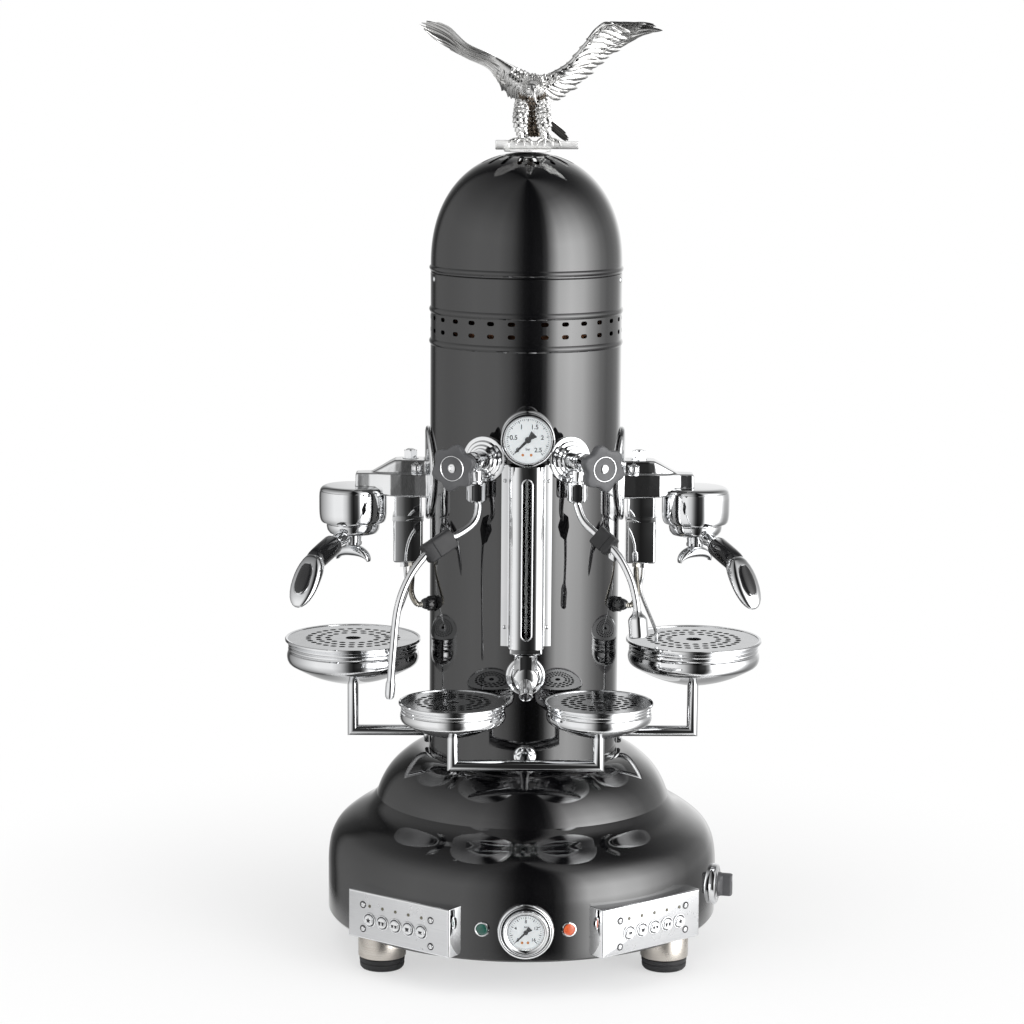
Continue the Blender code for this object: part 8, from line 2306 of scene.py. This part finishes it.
def floor():
    """A pale floor that keeps a soft shadow near the machine and turns to plain white further out.

    Mirrors see it only near the machine.
    """
    bm = bmesh.new()
    bmesh.ops.create_circle(bm, cap_ends=True, radius=FLOOR_RADIUS, segments=128)
    mesh = to_mesh(bm, "floor")
    obj = bpy.data.objects.new("floor", mesh)
    bpy.context.scene.collection.objects.link(obj)
    material = bpy.data.materials.new("pale_floor")
    material.use_nodes = True
    tree = material.node_tree
    shader = tree.nodes["Principled BSDF"]
    shader.inputs["Base Color"].default_value = (0.86, 0.86, 0.86, 1.0)
    shader.inputs["Roughness"].default_value = 0.9
    shader.inputs["Specular IOR Level"].default_value = 0.0
    place = tree_node(tree, "ShaderNodeTexCoord").outputs["Object"]
    grain = tree_node(tree, "ShaderNodeTexNoise", {"Vector": place, "Scale": 160.0, "Detail": 3.0})
    bump = tree_node(tree, "ShaderNodeBump",
                     {"Height": grain.outputs[0], "Strength": 0.03, "Distance": 0.001})
    tree.links.new(bump.outputs[0], shader.inputs["Normal"])
    away = tree_node(tree, "ShaderNodeVectorMath", {0: place}, operation="LENGTH")
    white = tree_node(tree, "ShaderNodeEmission", {"Color": (1.0, 1.0, 1.0, 1.0), "Strength": 1.0})
    reach = tree_node(tree, "ShaderNodeMapRange", {"Value": away.outputs["Value"], "From Min": SHADOW_REACH,
                                                   "From Max": SHADOW_REACH + SHADOW_FADE, "To Min": 0.55,
                                                   "To Max": 1.0}, interpolation_type="SMOOTHSTEP")
    seen, mirrored = seen_directly(tree)
    share = tree_node(tree, "ShaderNodeMath", {0: seen, 1: reach.outputs[0]}, operation="MULTIPLY")
    mix = tree_node(tree, "ShaderNodeMixShader",
                    {0: share.outputs[0], 1: shader.outputs[0], 2: white.outputs[0]})
    near = tree_node(tree, "ShaderNodeMapRange", {"Value": away.outputs["Value"], "From Min": MIRROR_REACH,
                                                  "From Max": MIRROR_REACH + MIRROR_FADE},
                     interpolation_type="SMOOTHSTEP")
    gone = tree_node(tree, "ShaderNodeMath", {0: mirrored, 1: near.outputs[0]}, operation="MULTIPLY")
    clear = tree.nodes.new("ShaderNodeBsdfTransparent")
    whole = tree_node(tree, "ShaderNodeMixShader",
                      {0: gone.outputs[0], 1: mix.outputs[0], 2: clear.outputs[0]})
    tree.links.new(whole.outputs[0], tree.nodes["Material Output"].inputs["Surface"])
    mesh.materials.append(material)


# What a mirror sees of the studio.  Each pair: azimuth or elevation in degrees, and brightness
LEFT_WALL = ((-180, 0.90), (-168, 0.32), (-155, 0.10), (-146, 0.06), (-137, 0.26), (-120, 0.42),
             (-106, 0.54), (-85, 0.75), (-66, 0.91), (-35, 0.91), (-20, 0.60), (-10, 0.20), (-4, 0.05),
             (3, 0.012), (14, 0.0))
RIGHT_WALL = ((3, 0.0), (17, 0.06), (23, 0.36), (30, 2.04), (38, 4.30), (54, 5.00), (71, 4.00), (80, 2.83),
              (90, 1.80), (100, 1.00), (112, 0.55), (125, 0.48), (140, 0.52), (150, 0.75), (160, 1.00),
              (180, 0.90))
LEFT_RISE = ((-90, 0.55), (-40, 0.75), (-16, 1.0), (17, 1.0), (30, 0.85), (40, 0.66), (57, 0.42),
             (90, 0.12))
RIGHT_RISE = ((-90, 0.18), (-40, 0.35), (-16, 0.64), (-11, 0.74), (-5, 1.0), (12, 0.95), (24, 0.73),
              (30, 0.59), (40, 0.40), (48, 0.25), (57, 0.14), (90, 0.04))
FILL = 0.42


def profile(tree, value, stops, reach):
    """A brightness that runs through the stops as value goes from -reach to reach degrees."""
    peak = max(level for _, level in stops)
    share = tree_node(tree, "ShaderNodeMapRange", {"Value": value, "From Min": -math.radians(reach),
                                                   "From Max": math.radians(reach)})
    ramp = tree_node(tree, "ShaderNodeValToRGB", {"Fac": share.outputs[0]})
    elements = ramp.color_ramp.elements
    while len(elements) < len(stops):
        elements.new(0.5)
    for element, (degrees, level) in zip(elements, stops):
        element.position = (degrees + reach) / (2 * reach)
        element.color = (level / peak, level / peak, level / peak, 1.0)
    return tree_node(tree, "ShaderNodeMath", {0: ramp.outputs[0], 1: peak}, operation="MULTIPLY").outputs[0]


def studio():
    """The world: white to the camera and through glass; mirrors see a dim left and a bright right."""
    world = bpy.data.worlds.new("studio")
    bpy.context.scene.world = world
    world.use_nodes = True
    tree = world.node_tree
    tree.nodes.clear()
    way = tree_node(tree, "ShaderNodeTexCoord").outputs["Generated"]
    axes = tree_node(tree, "ShaderNodeSeparateXYZ", {0: way})
    front = tree_node(tree, "ShaderNodeMath", {0: axes.outputs[1], 1: -1.0}, operation="MULTIPLY")
    azimuth = tree_node(tree, "ShaderNodeMath", {0: axes.outputs[0], 1: front.outputs[0]},
                        operation="ARCTAN2").outputs[0]
    elevation = tree_node(tree, "ShaderNodeMath", {0: axes.outputs[2]}, operation="ARCSINE").outputs[0]
    left = tree_node(tree, "ShaderNodeMath",
                     {0: profile(tree, azimuth, LEFT_WALL, 180),
                      1: profile(tree, elevation, LEFT_RISE, 90)}, operation="MULTIPLY")
    both = tree_node(tree, "ShaderNodeMath",
                     {0: profile(tree, azimuth, RIGHT_WALL, 180),
                      1: profile(tree, elevation, RIGHT_RISE, 90), 2: left.outputs[0]},
                     operation="MULTIPLY_ADD")
    light = tree_node(tree, "ShaderNodeLightPath")
    fill = tree_node(tree, "ShaderNodeMath",
                     {0: light.outputs["Is Diffuse Ray"], 1: FILL, 2: both.outputs[0]},
                     operation="MULTIPLY_ADD")
    room = tree_node(tree, "ShaderNodeBackground", {"Color": (1.0, 1.0, 1.0, 1.0)})
    tree.links.new(fill.outputs[0], room.inputs["Strength"])
    white = tree_node(tree, "ShaderNodeBackground", {"Color": (1.0, 1.0, 1.0, 1.0), "Strength": 1.0})
    mix = tree_node(tree, "ShaderNodeMixShader", {0: seen_directly(tree)[0], 1: room.outputs[0],
                                                  2: white.outputs[0]})
    end = tree.nodes.new("ShaderNodeOutputWorld")
    tree.links.new(mix.outputs[0], end.inputs["Surface"])


def lamp(name, place, target, width, height, power):
    """A soft area lamp."""
    data = bpy.data.lights.new(name, "AREA")
    data.shape = "RECTANGLE"
    data.size = width
    data.size_y = height
    data.energy = power
    obj = bpy.data.objects.new(name, data)
    obj.matrix_world = aimed(Vector(place), Vector(place) - Vector(target))
    obj.visible_camera = False
    obj.visible_glossy = False
    bpy.context.scene.collection.objects.link(obj)


def lamps():
    """Two soft lamps that shape the pale and matt surfaces."""
    lamp("overhead", (-0.5, -0.9, 2.9), (0, 0, 0.4), 2.2, 2.2, 24)
    lamp("front_fill", (1.5, -2.4, 1.7), (0, 0, 0.5), 1.6, 1.6, 14)


def kept_nodes():
    """CAD nodes whose shape is right get a better finish."""
    for name, material in (("base_plate", SATIN), ("boiler", COPPER)):
        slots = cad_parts[name].material_slots
        for slot in slots:
            slot.material = material


def dress():
    """Make every piece of the machine."""
    base_housing()
    feet()
    column_shell()
    dome()
    column_screws()
    for side in SIDES:
        for make in (group_casting, group_bells, group_fixings, solenoid, conduit, filter_holder, handle,
                     valve, knob, wand, grip, side_tray, keypad):
            make(side)
    front_trays()
    grates()
    boiler_gauge()
    sight_glass_cover()
    drain_cock()
    pump_gauge()
    pilot_lamps()
    power_switch()
    eagle()
    kept_nodes()


dress()
camera()
floor()
studio()
lamps()
bpy.context.scene.view_settings.view_transform = "Standard"
